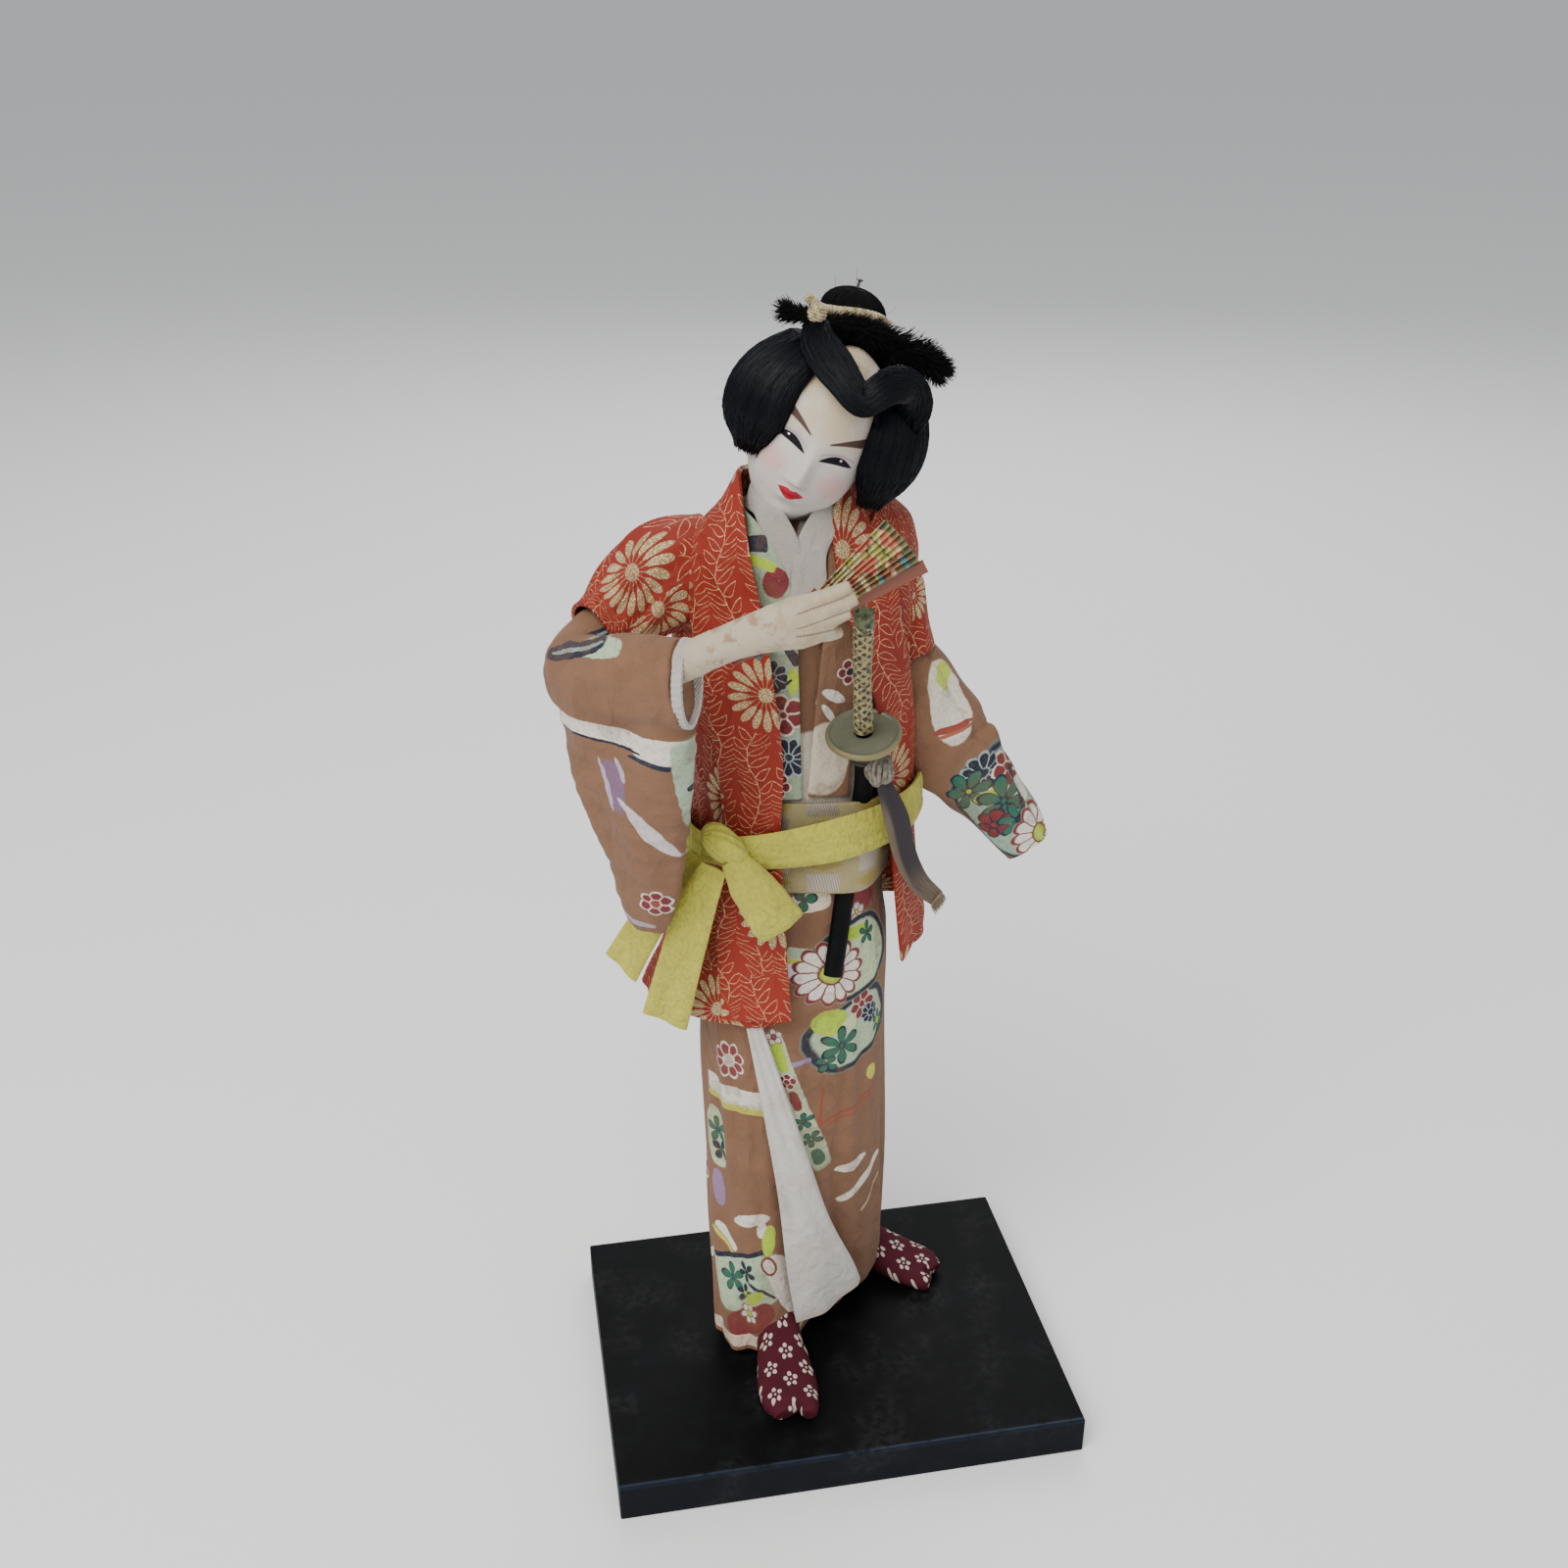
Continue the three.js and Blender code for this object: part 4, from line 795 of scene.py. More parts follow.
def make_sock(side, finish):
    foot = FEET[side]
    ahead = unit(np.array(foot["heading"], float))
    left = np.array([-ahead[1], ahead[0], 0])
    heel = np.array([*foot["ankle"], 0.0])
    reach, split = foot["reach"], foot["split"]

    def sole(angle, v):
        at, out = capped(v, 0.08)
        s = mix(-9, 43, at)
        half, high = FOOT(s).T
        rise = clamp(((1 - cos(angle)) / 2 - 0.1) / 0.9) ** 0.85
        points = heel + ahead * (s * reach)[:, None] + left * (out * half * power(sin(angle), 0.75))[:, None]
        points[:, 2] = SOLE + high * (out * rise + (1 - out) * 0.5)
        return points

    def toe(rows):
        spots = [(heel + ahead * s * reach + left * across * split)[:2] for s, across, *_ in rows]
        path = [(*spot, SOLE + z, a, b) for spot, (*_, z, a, b) in zip(spots, rows)]
        return limb(path, left)

    big = toe([(30, 5.6, 4.2, 4.4, 4.0), (42, 6.4, 3.8, 3.9, 3.7), (47.2, 5.8, 3.1, 2.9, 2.9)])
    small = toe([(30, -3.4, 4.1, 6.6, 3.9), (41, -3.2, 3.6, 5.7, 3.5), (45.4, -2.2, 2.9, 4.4, 2.8)])
    heights = ((SOLE + 4, 7, 8), (SOLE + 14, 6.6, 7.6), (33, 6.6, 7))
    leg = limb([(*foot["ankle"], *rest) for rest in heights], left)
    parts = [
        blank("foot", 72, 72, sole),
        blank("big_toe", 40, 40, tube(big, 0.1)),
        blank("small_toes", 40, 40, tube(small, 0.1)),
        blank("ankle", 60, 40, tube(leg, 0.02)),
    ]
    sock = welded(f"{side}_sock_cloth", parts, 0.55, 5)
    points = points_of(sock)
    points[:, 2] = np.maximum(points[:, 2], SOLE - 0.2)
    move_to(sock, points)
    ruffle(sock, 0.12, 6, 3 if side == "right" else 4)
    points = points_of(sock) - heel
    set_cloth(sock, stack(points @ left, points @ ahead + 0.6 * points[:, 2]))
    settle(sock, "sock_cloth", f"{side}_sock", finish)


def make_skirt(finish, lining):
    skirt = ring("skirt_cloth", 220, 120, skirt_surface, round_cloth(33, 236, HEM), 1.0, TRUNK)
    settle(skirt, "kimono_crepe", "kimono_skirt", finish, lining)


def make_flap(finish):
    cloth = lambda u, v: stack((u - 0.5) * 35 * v, 165 - 140 * v)
    flap = sheet("front_panel_lining", 60, 150, flap_surface, cloth, 0.9, TRUNK, lined=False)
    settle(flap, "white_cloth", "kimono_lining_flap", finish)


def make_chest(finish):
    chest = blank("chest_cloth", 160, 110, chest_surface, round_cloth(28, 338, 236))
    settle(chest, "kimono_crepe", "kimono_chest", finish)


def strip_piece(name, shape, columns, rows, thick, bow, middle):
    """A folded strip of cloth, slightly bowed across, its two long edges turned under"""

    def place(u, v):
        return shape(u, v, bow(u, v) - 0.5 * np.abs(2 * u - 1) ** 10)

    return sheet(name, columns, rows, place, shape.cloth, thick, middle, lined=False)


def cut(piece, width, length, held, rests_on):
    wide = max(width, 10.0)
    area = width * length * MM * MM if width < wide else None
    wide * MM


def make_collars(kimono, white):
    bow = lambda u, v: 0.35 + 0.2 * sin(3 * u + 9 * v)
    collar = strip_piece("collar_cloth", KIMONO_COLLAR, 26, 300, 1.0, bow, from_axis(-6, 16))
    cut(collar, 11.1, KIMONO_COLLAR.length, "folded", "chest_cloth")
    settle(collar, "kimono_crepe", "kimono_collar", kimono)
    bow = lambda u, v: 0.3 + 0.1 * sin(2 * u + 8 * v)
    under = strip_piece("under_collar_cloth", UNDER_COLLAR, 20, 260, 0.9, bow, from_axis(-8, 14))
    cut(under, 8.9, UNDER_COLLAR.length, "folded", "collar_cloth")
    settle(under, "white_cloth", "under_collar", white)


def make_obi(finish):
    obi = ring("obi_cloth", 240, 40, obi_surface, round_cloth(28, 246, 213), 1.2, TRUNK)
    settle(obi, "obi_brocade", "obi", finish, finish)


def make_vest(brocade, lining):
    cloth = lambda u, v: stack(38 * 2 * pi * u, mix(165, 340, v))
    vest = sheet("vest_cloth", 220, 120, vest_surface, cloth, 1.5, TRUNK)
    ruffle(vest, 0.3, 10, 12)
    settle(vest, "vest_brocade", "vest_body", brocade("body"), lining)
    for side, columns, radius, length, across, long in (
        ("right", 100, 15, 42, 0.1, 0.052), ("left", 90, 12, 38, 0.082, 0.04),
    ):
        shape = VEST_SLEEVES[side]

        def place(angle, v, shape=shape):
            points = shape(v, angle)
            pucker = (0.8 * sin(5 * angle + 5 * v) + 0.4 * sin(11 * angle - 7 * v)) * sin(pi * v)
            return points + unit(points - shape(v, angle, np.zeros(len(v)))) * pucker[:, None]

        piece = ring(f"vest_{side}_shoulder", columns, 60, place, round_cloth(radius, length), 1.3, centre)
        settle(piece, "vest_brocade", f"vest_{side}_sleeve", brocade(f"{side} shoulder"), lining)


def make_band(brocade):
    bow = lambda u, v: 0.1 + 0.35 * sin(pi * u) + 0.25 * sin(5 * u + 14 * v)
    band = strip_piece("vest_band_cloth", BAND, 44, 420, 1.5, bow, TRUNK)
    cut(band, 19.8, BAND.length, "folded", "vest_cloth")
    settle(band, "vest_brocade", "vest_band", brocade)


def make_right_sleeve(finish, white):
    arm = blank("arm", 90, 90, tube(RIGHT_ARM, 0.06))
    bag = blank("bag", 160, 130, bag_surface)
    sleeve = welded("right_sleeve_cloth", [arm, bag], 0.7, 4)
    ruffle(sleeve, 0.35, 14, 8)
    points = points_of(sleeve)
    set_cloth(sleeve, stack(points @ BAG_LINE, points[:, 2]))
    ruffle(sleeve, 0.3, 7, 18)
    settle(sleeve, "kimono_crepe", "right_sleeve", finish)

    across = np.cross([0, 0, 1], CUFF_FACE)

    def cuff(angle, v):
        rib = 0.14 * cos(angle * 40)
        reach = mix(-1.6, 1.5, v)
        high, wide = 14.0 + rib, 7.6 + rib
        points = CUFF_MIDDLE + CUFF_FACE * reach[:, None] + across * (wide * sin(angle))[:, None]
        points[:, 2] += high * cos(angle)
        return points

    piece = ring("cuff_cloth", 360, 12, cuff, round_cloth(11, 5), 1.2, centre)
    settle(piece, "white_cloth", "sleeve_cuff", white, white)


def make_left_sleeve(finish):
    def place(angle, v):
        at, out = capped(v, 0.05)
        points = LEFT_ARM(at, angle, out)
        fold = 0.9 * sin(2.2 * angle + 11 * at) * sin(pi * at) - 1.2 * bell(angle - 0.6 - 0.5 * at, 0.14)
        fold += 0.7 * bell(at - 0.4, 0.2) * sin(38 * at + 3 * sin(angle))
        fold -= 0.9 * bell(at - 0.36 - 0.05 * sin(angle), 0.018)
        return points + unit(points - LEFT_ARM(at, angle, np.zeros(len(at)))) * fold[:, None]

    sleeve = blank("left_sleeve_cloth", 160, 170, place, round_cloth(10, 92))
    settle(sleeve, "kimono_crepe", "left_sleeve", finish)


def make_hand(finish):
    parts = [blank("forearm", 70, 90, tube(FOREARM, 0.04))]
    parts += [blank("finger", 40, 40, tube(shape, 0.12)) for shape in FINGERS]
    hand = welded("hand_cloth", parts, 0.5, 3)
    ruffle(hand, 0.1, 4, 5)
    settle(hand, "hand_cloth", "right_hand", finish)


def make_sash(finish):
    belt = ring("sash_cloth", 260, 44, sash_surface, round_cloth(36, 16), 1.4, TRUNK)
    settle(belt, "sash_crepe", "sash", finish, finish)
    knot = blank("sash_knot_cloth", 160, 90, knot_surface, round_cloth(6, 16))
    settle(knot, "sash_crepe", "sash_knot", finish)
    loop = blank("sash_loop_cloth", 110, 110, tube(SASH_LOOP, 0.05), round_cloth(7, 30))
    ruffle(loop, 0.25, 7, 12)
    settle(loop, "sash_crepe", "sash_loop", finish)
    bow = lambda u, v: 0.2 + 0.5 * sin(2.5 * pi * u + 1.5 * v) * (0.5 + 0.5 * v)
    for side, shape, width in (("front", FRONT_TAIL, 14.2), ("back", BACK_TAIL, 12.8)):
        tail = strip_piece(f"sash_{side}_tail_cloth", shape, 50, 160, 1.0, bow, towards_face((-0.5, -0.8, 0)))
        cut(tail, width, shape.length, "hung", "sash_knot_cloth")
        settle(tail, "sash_crepe", f"sash_{side}_tail", finish)


# The sword, the fan, the cords and the hair


def along_blade(t, angle, wide, deep, forward=0.0):
    """Points round the sword's middle line, wide and deep from it at an angle, at each station"""
    ahead = heading(BLADE, t)
    right = unit(np.array([1.0, 0, 0]) - ahead * ahead[:, :1])
    aside, behind, forward = stack(wide * sin(angle), deep * cos(angle), forward).T[:, :, None]
    return BLADE(t) + right * aside + np.cross(ahead, right) * behind + ahead * forward


def make_sword(braid, lacquer, metal, dark):
    def handle(angle, v):
        at, out = capped(v, 0.02)
        wrap = np.maximum(sin(4 * angle + at * 60), sin(4 * angle - at * 60))
        swell = out * (1 + 0.05 * cos(at * 6) + 0.05 * wrap)
        return along_blade(mix(0.022, GUARD_AT - 0.012, at), angle, 2.95 * swell, 2.6 * swell)

    piece = blank("handle_braid", 80, 280, handle, round_cloth(3.1, 46))
    settle(piece, "gilt_braid", "sword_handle", braid)

    def pommel(angle, v):
        at, out = capped(v, 0.3)
        return along_blade(mix(0, 0.034, at), angle, 3.15 * out, 2.8 * out, -0.4)

    piece = blank("pommel", 72, 50, pommel, round_cloth(3.5, 8))
    settle(piece, "sword_metal", "sword_pommel", metal)

    def guard(angle, v):
        reach, rise = track([
            (0, 0.25, -0.8), (0.34, 0.84, -0.8), (0.4, 0.9, -1.15), (0.48, 0.985, -0.9), (0.5, 1, 0),
            (0.52, 0.985, 0.9), (0.6, 0.9, 1.15), (0.66, 0.84, 0.8), (1, 0.25, 0.8),
        ])(v).T
        reach = reach * (1 + 0.012 * cos(4 * angle))
        return along_blade(np.full(len(v), GUARD_AT), angle, 12.1 * reach, 11.3 * reach, -rise)

    piece = blank("guard_plate", 120, 60, guard, round_cloth(12, 25))
    settle(piece, "sword_metal", "sword_guard", dark)

    def scabbard(angle, v):
        at, out = capped(v, 0.02)
        return along_blade(mix(GUARD_AT + 0.012, 1, at), angle, 3.3 * out, 2.4 * out)

    piece = blank("scabbard_lacquer", 60, 120, scabbard, round_cloth(3, 134))
    settle(piece, "lacquer", "scabbard", lacquer)


def twisted(name, path, radius, strand, turns):
    """Three cords laid round each other along a path of points"""
    t = np.linspace(0, 1, 160)
    middle = path(t)
    ahead = unit(np.gradient(middle, axis=0))
    aside = unit(np.cross(ahead, [0.1, 0.9, 0.3]))
    other = np.cross(ahead, aside)
    paths = []
    for i in range(3):
        phase = t * turns * 2 * pi + i * 2 * pi / 3
        paths.append(middle + radius * (cos(phase)[:, None] * aside + sin(phase)[:, None] * other))
    return strands(name, paths, strand, sides=8, seed=3)


def make_cords(braid, ribbon_cloth, dark):
    turn = np.linspace(0, 2 * pi, 240)
    loops = []
    for i in range(7):
        tilt = pi * i / 7
        bulge = 1 + 0.06 * sin(3 * turn + i)
        x, z = 4.0 * sin(turn) * bulge, 4.9 * cos(turn) * bulge
        y = 1.3 * sin(2 * turn + tilt * 2)
        loops.append(CORD_BALL + stack(x * cos(tilt), -3.4 * sin(turn) * sin(tilt) + y * 0.4, z))
    knot = strands("cord_ball", loops, 0.85, sides=8, seed=5)
    kernel = lambda angle, v: CORD_BALL + ball(3.6, 3.1, 4.5, pi * v, angle)
    core = blank("cord_ball_core", 40, 30, kernel, round_cloth(4, 8))
    at_wrap = np.full(len(turn), GUARD_AT + 0.035)
    wraps = [along_blade(at_wrap, turn, 4.4, 3.6, 1.5 * i + 0.2 * sin(turn * 2)) for i in range(4)]
    rope = strands("scabbard_wrap", wraps, 0.75, sides=8, seed=6)
    settle(knot, "gilt_braid", "sword_cord_knot", braid)
    settle(core, "ribbon", "sword_cord_knot", dark)
    settle(rope, "ribbon", "sword_cord_knot", dark)
    bow = lambda u, v: 0.4 * sin(6 * u + 2 * v) + 0.3 * sin(9 * v)
    ribbon = strip_piece("ribbon_cloth", RIBBON, 40, 150, 1.0, bow, towards_face((0.3, -0.9, 0)))
    cut(ribbon, 7.8, RIBBON.length, "hung", "cord_ball")
    settle(ribbon, "ribbon", "sword_ribbon", ribbon_cloth())
    ends = []
    rng = np.random.default_rng(21)
    for _ in range(260):
        u = rng.uniform(0.03, 0.97)
        start = RIBBON(np.array([u]), np.array([0.985]), 0.2)[0]
        fall = start + np.array([rng.uniform(0.5, 2.2), rng.uniform(-1.0, 0.6), rng.uniform(-4.5, -1.5)])
        bend = (start + fall) / 2 + rng.normal(size=3) * 0.35
        s = np.linspace(0, 1, 7)[:, None]
        ends.append((1 - s) ** 2 * start + 2 * s * (1 - s) * bend + s * s * fall)
    fray = strands("ribbon_fray", ends, np.linspace(0.1, 0.05, 7)[None, :], seed=22)
    settle(fray, "ribbon", "sword_ribbon", ribbon_cloth("frayed"))


def make_fan(paper, wood, metal):
    pleats = 8

    def leaf(u, v):
        fold = (u * pleats * 2) % 2
        zigzag = 0.8 * (1 - 2 * np.abs(1 - fold))
        angle = mix(FAN["low"] + 0.02, FAN["high"], u)
        return fan_at(mix(24, FAN["reach"] - 0.4, v), angle, zigzag)

    cloth = lambda u, v: stack(u * 15, mix(24, 53, v))
    piece = sheet("fan_paper", pleats * 16, 60, leaf, cloth, 0.35, towards_face(FAN_FRONT), lined=False)
    settle(piece, "fan_paper", "fan_leaf", paper)

    sticks = []
    for i in range(6):
        angle = mix(FAN["low"] + 0.03, FAN["high"] - 0.02, i / 5)

        def stick(u, v, angle=angle, i=i):
            width = mix(2.6, 3.4, v) * (0.75 + 0.25 * sin(pi * clamp(v * 1.2)))
            r = mix(0, 25, v)
            aim = np.full(len(u), angle)
            return fan_at(r, aim, -0.5 + 0.28 * i) + fan_side(angle) * ((u - 0.5) * width)[:, None]

        cloth = lambda u, v: stack(u * 3, v * 25)
        sticks.append(sheet("stick", 4, 24, stick, cloth, 0.5, towards_face(FAN_FRONT), lined=False))
    only(*sticks)
    bpy.ops.object.join()
    ribs = sticks[0]
    ribs.name = ribs.data.name = "fan_ribs_wood"
    settle(ribs, "fan_wood", "fan_ribs", wood)

    def outer(u, v):
        r = mix(-8, FAN["reach"] + 0.5, v)
        width = mix(1.9, 3.7, clamp(v * 2.2)) * np.minimum(1, 0.12 + 6 * v)
        angle = FAN["low"] - 0.045
        return fan_at(r, np.full(len(u), angle), 1.0) + fan_side(angle) * ((u - 0.5) * width)[:, None]

    cloth = lambda u, v: stack(u * 4, v * 60)
    guard = sheet("fan_guard_wood", 8, 90, outer, cloth, 1.3, towards_face(FAN_FRONT), lined=False)
    apply(guard, "BEVEL", width=0.25 * MM, segments=2, limit_method="ANGLE", angle_limit=radians(50))
    settle(guard, "fan_wood", "fan_guard", wood)

    bpy.ops.object.select_all(action="DESELECT")
    through = (pi / 2, 0, 0)
    bpy.ops.mesh.primitive_cylinder_add(
        vertices=24, radius=MM, depth=5 * MM, location=tuple(FAN["pivot"] * MM), rotation=through
    )
    pin = bpy.context.object
    pin.name = pin.data.name = "fan_pin"
    bpy.ops.object.transform_apply(location=True, rotation=True, scale=True)
    apply(pin, "BEVEL", width=0.3 * MM, segments=3, limit_method="ANGLE", angle_limit=radians(40))
    finish_surface(pin, 50)
    settle(pin, "pin_metal", "fan_ribs", metal)


def make_head(skin):
    def round_head(angle, v):
        """Points in the head's own frame, closer together in front"""
        turn = angle - 0.42 * sin(angle)
        return head_at(*ball(1, 1, 1, pi * v, turn).T), turn

    def paint(angle, v):
        points, turn = round_head(angle, v)
        back = np.where(np.abs(turn) > pi / 2, 60.0, 0.0)
        return stack(points[:, 0] + back, points[:, 2])

    head = blank("face_and_head", 250, 200, lambda angle, v: turned(round_head(angle, v)[0], HEAD_TURN), paint)
    neck = blank("neck", 90, 40, tube(NECK, 0.04), lambda angle, v: stack(angle * 7 + 60, v * 24))
    only(head, neck)
    bpy.ops.object.join()
    settle(head, "face", "head", skin)


def make_wig(hair, hairs, count):
    rng = np.random.default_rng(40)
    shell = round_grid("wig_shell", 160, 80, cap_at, round_cloth(20, 45))
    cut_away(shell, bare_crown)
    move_to(shell, turned(points_of(shell)))
    turn_out(shell, centre)
    apply(shell, "SOLIDIFY", thickness=1.6 * MM, offset=-1)
    finish_surface(shell)
    settle(shell, "hair", "wig_cap", hair)

    angle = rng.uniform(-pi, pi, count)
    drift = rng.normal(size=(count, 1)) * 0.05
    s = np.linspace(0, 1, 12)
    paths = []
    for a, d in zip(angle, drift):
        down = 1.02 - 0.96 * s
        lift = 0.15 + 0.35 * rng.uniform() + 0.1 * sin(s * 9 + a * 5)
        points = cap_at(a + d * s, down, lift)
        if bare_crown(points[3:]).any():
            keep = ~bare_crown(points)
            last = max(int(np.argmin(keep)), 2)
            points = points[:last]
            spread = np.linspace(0, last - 1, 12)
            points = np.stack([np.interp(spread, np.arange(last), part) for part in points.T], 1)
        paths.append(turned(points))
    piece = strands("wig_strands", paths, 0.14, seed=41)
    settle(piece, "hair", "wig_cap", hairs)


def cut_away(piece, region):
    """Deletes the points that lie in a region"""
    gone = region(points_of(piece))
    only(piece)
    bpy.ops.object.mode_set(mode="EDIT")
    bpy.ops.mesh.select_all(action="DESELECT")
    bpy.ops.object.mode_set(mode="OBJECT")
    piece.data.vertices.foreach_set("select", gone)
    bpy.ops.object.mode_set(mode="EDIT")
    bpy.ops.mesh.delete(type="VERT")
    bpy.ops.object.mode_set(mode="OBJECT")


def make_side_locks(hair, hairs, count):
    for side, seed in (("right", 50), ("left", 60)):
        low, high = LOCK_REACH[side]

        def body(angle, v, side=side, low=low, high=high):
            at, out = capped(v, 0.07)
            z = mix(high, low, at)
            groove = 1 - 0.03 * cos(26 * angle + 2 * sin(6 * at)) - 0.05
            return turned(lock_at(side, angle, z, out * groove))

        core = blank(f"{side}_lock_core", 150, 60, body, round_cloth(9, 35))
        settle(core, "hair", f"{side}_side_lock", hair)

        rng = np.random.default_rng(seed)
        angle = rng.uniform(-pi, pi, (count, 1))
        s = np.linspace(0, 1, 12)[None, :]
        bottom = low + rng.normal(size=(count, 1)) * 0.7 - 0.4
        z = mix(high - 0.5, bottom, s)
        curl = angle + 0.12 * rng.normal(size=(count, 1)) * sin(3 * s)
        out = np.sqrt(rng.uniform(0.55, 1.0, (count, 1))) * (1.0 + 0.03 * sin(5 * s + angle * 3))
        out = np.where(s > 0.8, out, 1.005 + 0.02 * rng.uniform(size=(count, 1)))
        points = lock_at(side, curl.ravel(), z.ravel(), out.ravel()).reshape(count, 12, 3)
        piece = strands(f"{side}_lock_strands", turned(points), 0.15, seed=seed + 1)
        settle(piece, "hair", f"{side}_side_lock", hairs)


def make_forelock(hair, hairs, count):
    """One lock swept down over the brow and up again into the left side lock"""
    inner = tube(FORELOCK, 0.04)
    core = blank("forelock_core", 100, 160, lambda angle, v: turned(inner(angle, v)), round_cloth(5, 60))
    settle(core, "hair", "forelock", hair)
    rng = np.random.default_rng(70)
    steps = 22
    angle = rng.uniform(-pi, pi, (count, 1)) + 0.5 * rng.normal(size=(count, 1)) * np.linspace(0, 1, steps)
    start, end = 0.3 * rng.uniform(size=(count, 1)) ** 2, 1 - 0.4 * rng.uniform(size=(count, 1)) ** 2
    s = mix(start, end, np.linspace(0, 1, steps)[None, :])
    out = 1.0 + 0.05 * rng.uniform(size=(count, 1)) + 0.015 * sin(20 * s + angle * 3)
    points = FORELOCK(clamp(s, 0.01, 0.99).ravel(), angle.ravel(), out.ravel())
    piece = strands("forelock_strands", turned(points).reshape(count, steps, 3), 0.12, seed=72)
    settle(piece, "hair", "forelock", hairs)


def make_tuft(hairs, count):
    """The stiff brush of cut hair: bristles lean out from a line that runs across the crown"""
    rng = np.random.default_rng(80)
    t = rng.uniform(0, 1, count)
    root = TUFT(t)
    along = heading(TUFT, t, 0.03) * np.where(t < 0.2, -1, 1)[:, None]
    around = rng.uniform(-pi, pi, count)
    up = unit(np.cross([0, 1, 0], along))
    radial = np.abs(cos(around))[:, None] * up * np.sign(cos(around) * up[:, 2])[:, None]
    radial = radial + 0.75 * sin(around)[:, None] * np.array([0, 1.0, 0])
    lean = rng.uniform(0.35, 1.25, count)[:, None]
    way = unit(along * cos(lean) + radial * sin(lean) + 0.12 * rng.normal(size=(count, 3)))
    reach = (root[:, 3] * rng.uniform(0.72, 1.12, count) * (1 + 0.25 * (t > 0.93)))[:, None, None]
    s = np.linspace(0, 1, 5)[None, :, None]
    bend = rng.normal(size=(count, 1, 3)) * 0.35 + 0.9 * along[:, None, :]
    paths = root[:, None, :3] + way[:, None, :] * s * reach + bend * s * s
    piece = strands("tuft_bristles", turned(paths), np.linspace(0.17, 0.07, 5)[None, :], seed=81)
    settle(piece, "hair", "crown_tuft", hairs)


def make_strays(hairs, count):
    """Single hairs that have come loose and stand off the wig"""
    rng = np.random.default_rng(95)
    s = np.linspace(0, 1, 14)[None, :, None]
    root = cap_at(rng.uniform(-pi, pi, count), rng.uniform(0.05, 0.95, count))
    off = unit(root - WIG_MIDDLE)
    way = unit(off * 0.55 + rng.normal(size=(count, 3)) * 0.8)
    curl = rng.normal(size=(count, 3)) * 4.5 + off * 1.5
    reach = rng.uniform(4, 10, count)[:, None, None]
    paths = root[:, None, :] + way[:, None, :] * s * reach + curl[:, None, :] * s * s
    piece = strands("stray_hairs", turned(paths), 0.045, seed=96)
    settle(piece, "hair", "wig_cap", hairs)


def make_topknot(hair, hairs, braid, metal, count):
    def bun(angle, v):
        polar = pi * v
        groove = 1 - 0.035 * cos(30 * angle + 4 * sin(2 * polar))
        return turned(TOPKNOT + ball(9.6 * groove, 7.8 * groove, 6.8, polar, angle))

    piece = blank("bun", 160, 90, bun, round_cloth(9, 25))
    settle(piece, "hair", "topknot", hair)
    rng = np.random.default_rng(90)
    s = np.linspace(0, 1, 14)[None, :]
    start = rng.uniform(-pi, pi, (count, 1))
    angle = start + rng.normal(size=(count, 1)) * 0.5 * s
    polar = mix(0.15, 2.9, s) + 0 * start
    out = 1.01 + 0.03 * rng.uniform(size=(count, 1)) + 0 * s
    paths = turned(TOPKNOT + ball(9.8 * out, 8 * out, 6.9 * out, polar, angle))
    piece = strands("bun_strands", paths, 0.13, seed=91)
    settle(piece, "hair", "topknot", hairs)

    cord = twisted("hair_cord", lambda t: turned(TOP_CORD(t)), 0.85, 0.75, 9)
    settle(cord, "gilt_braid", "topknot_cord", braid)

    def wound(t):
        turn = t * 2 * pi * 7
        polar = 0.35 + 2.45 * t
        return turned(BEAD + ball(2.6, 2.4, 2.5, polar, turn))

    bead = strands("cord_bead_thread", [wound(np.linspace(0, 1, 300))], 0.5, sides=8, seed=92)
    kernel = lambda angle, v: turned(BEAD + ball(2.2, 2.0, 2.1, pi * v, angle))
    core = blank("cord_bead_core", 40, 24, kernel, round_cloth(2, 5))
    settle(bead, "gilt_braid", "cord_bead", braid)
    settle(core, "gilt_braid", "cord_bead", braid)

    def pin_profile(angle, v):
        rows = [(0, 0, 5.6), (0.1, 0.5, 5.7), (0.55, 0.45, 9.0), (0.62, 0.9, 9.2), (0.8, 0.95, 9.6), (1, 0, 10.0)]
        r, z = track(rows)(v).T
        r = np.maximum(r, 0)
        return turned(TOPKNOT + stack(-1 + r * sin(angle), -r * cos(angle), z))

    pin = blank("hair_pin", 24, 30, pin_profile, round_cloth(1, 5))
    settle(pin, "pin_metal", "topknot_pin", metal)


# Materials


def linear(hexadecimal):
    """A web colour as Blender's linear one"""
    parts = [int(hexadecimal[i : i + 2], 16) / 255 for i in (1, 3, 5)]
    return (*(c / 12.92 if c <= 0.04045 else ((c + 0.055) / 1.055) ** 2.4 for c in parts), 1.0)


def tint(name, light=1.0):
    """One of the doll's main colours, lighter or darker"""
    red, green, blue = getattr(bpy.context.scene.doll_colours, name)
    return (red * light, green * light, blue * light, 1.0)


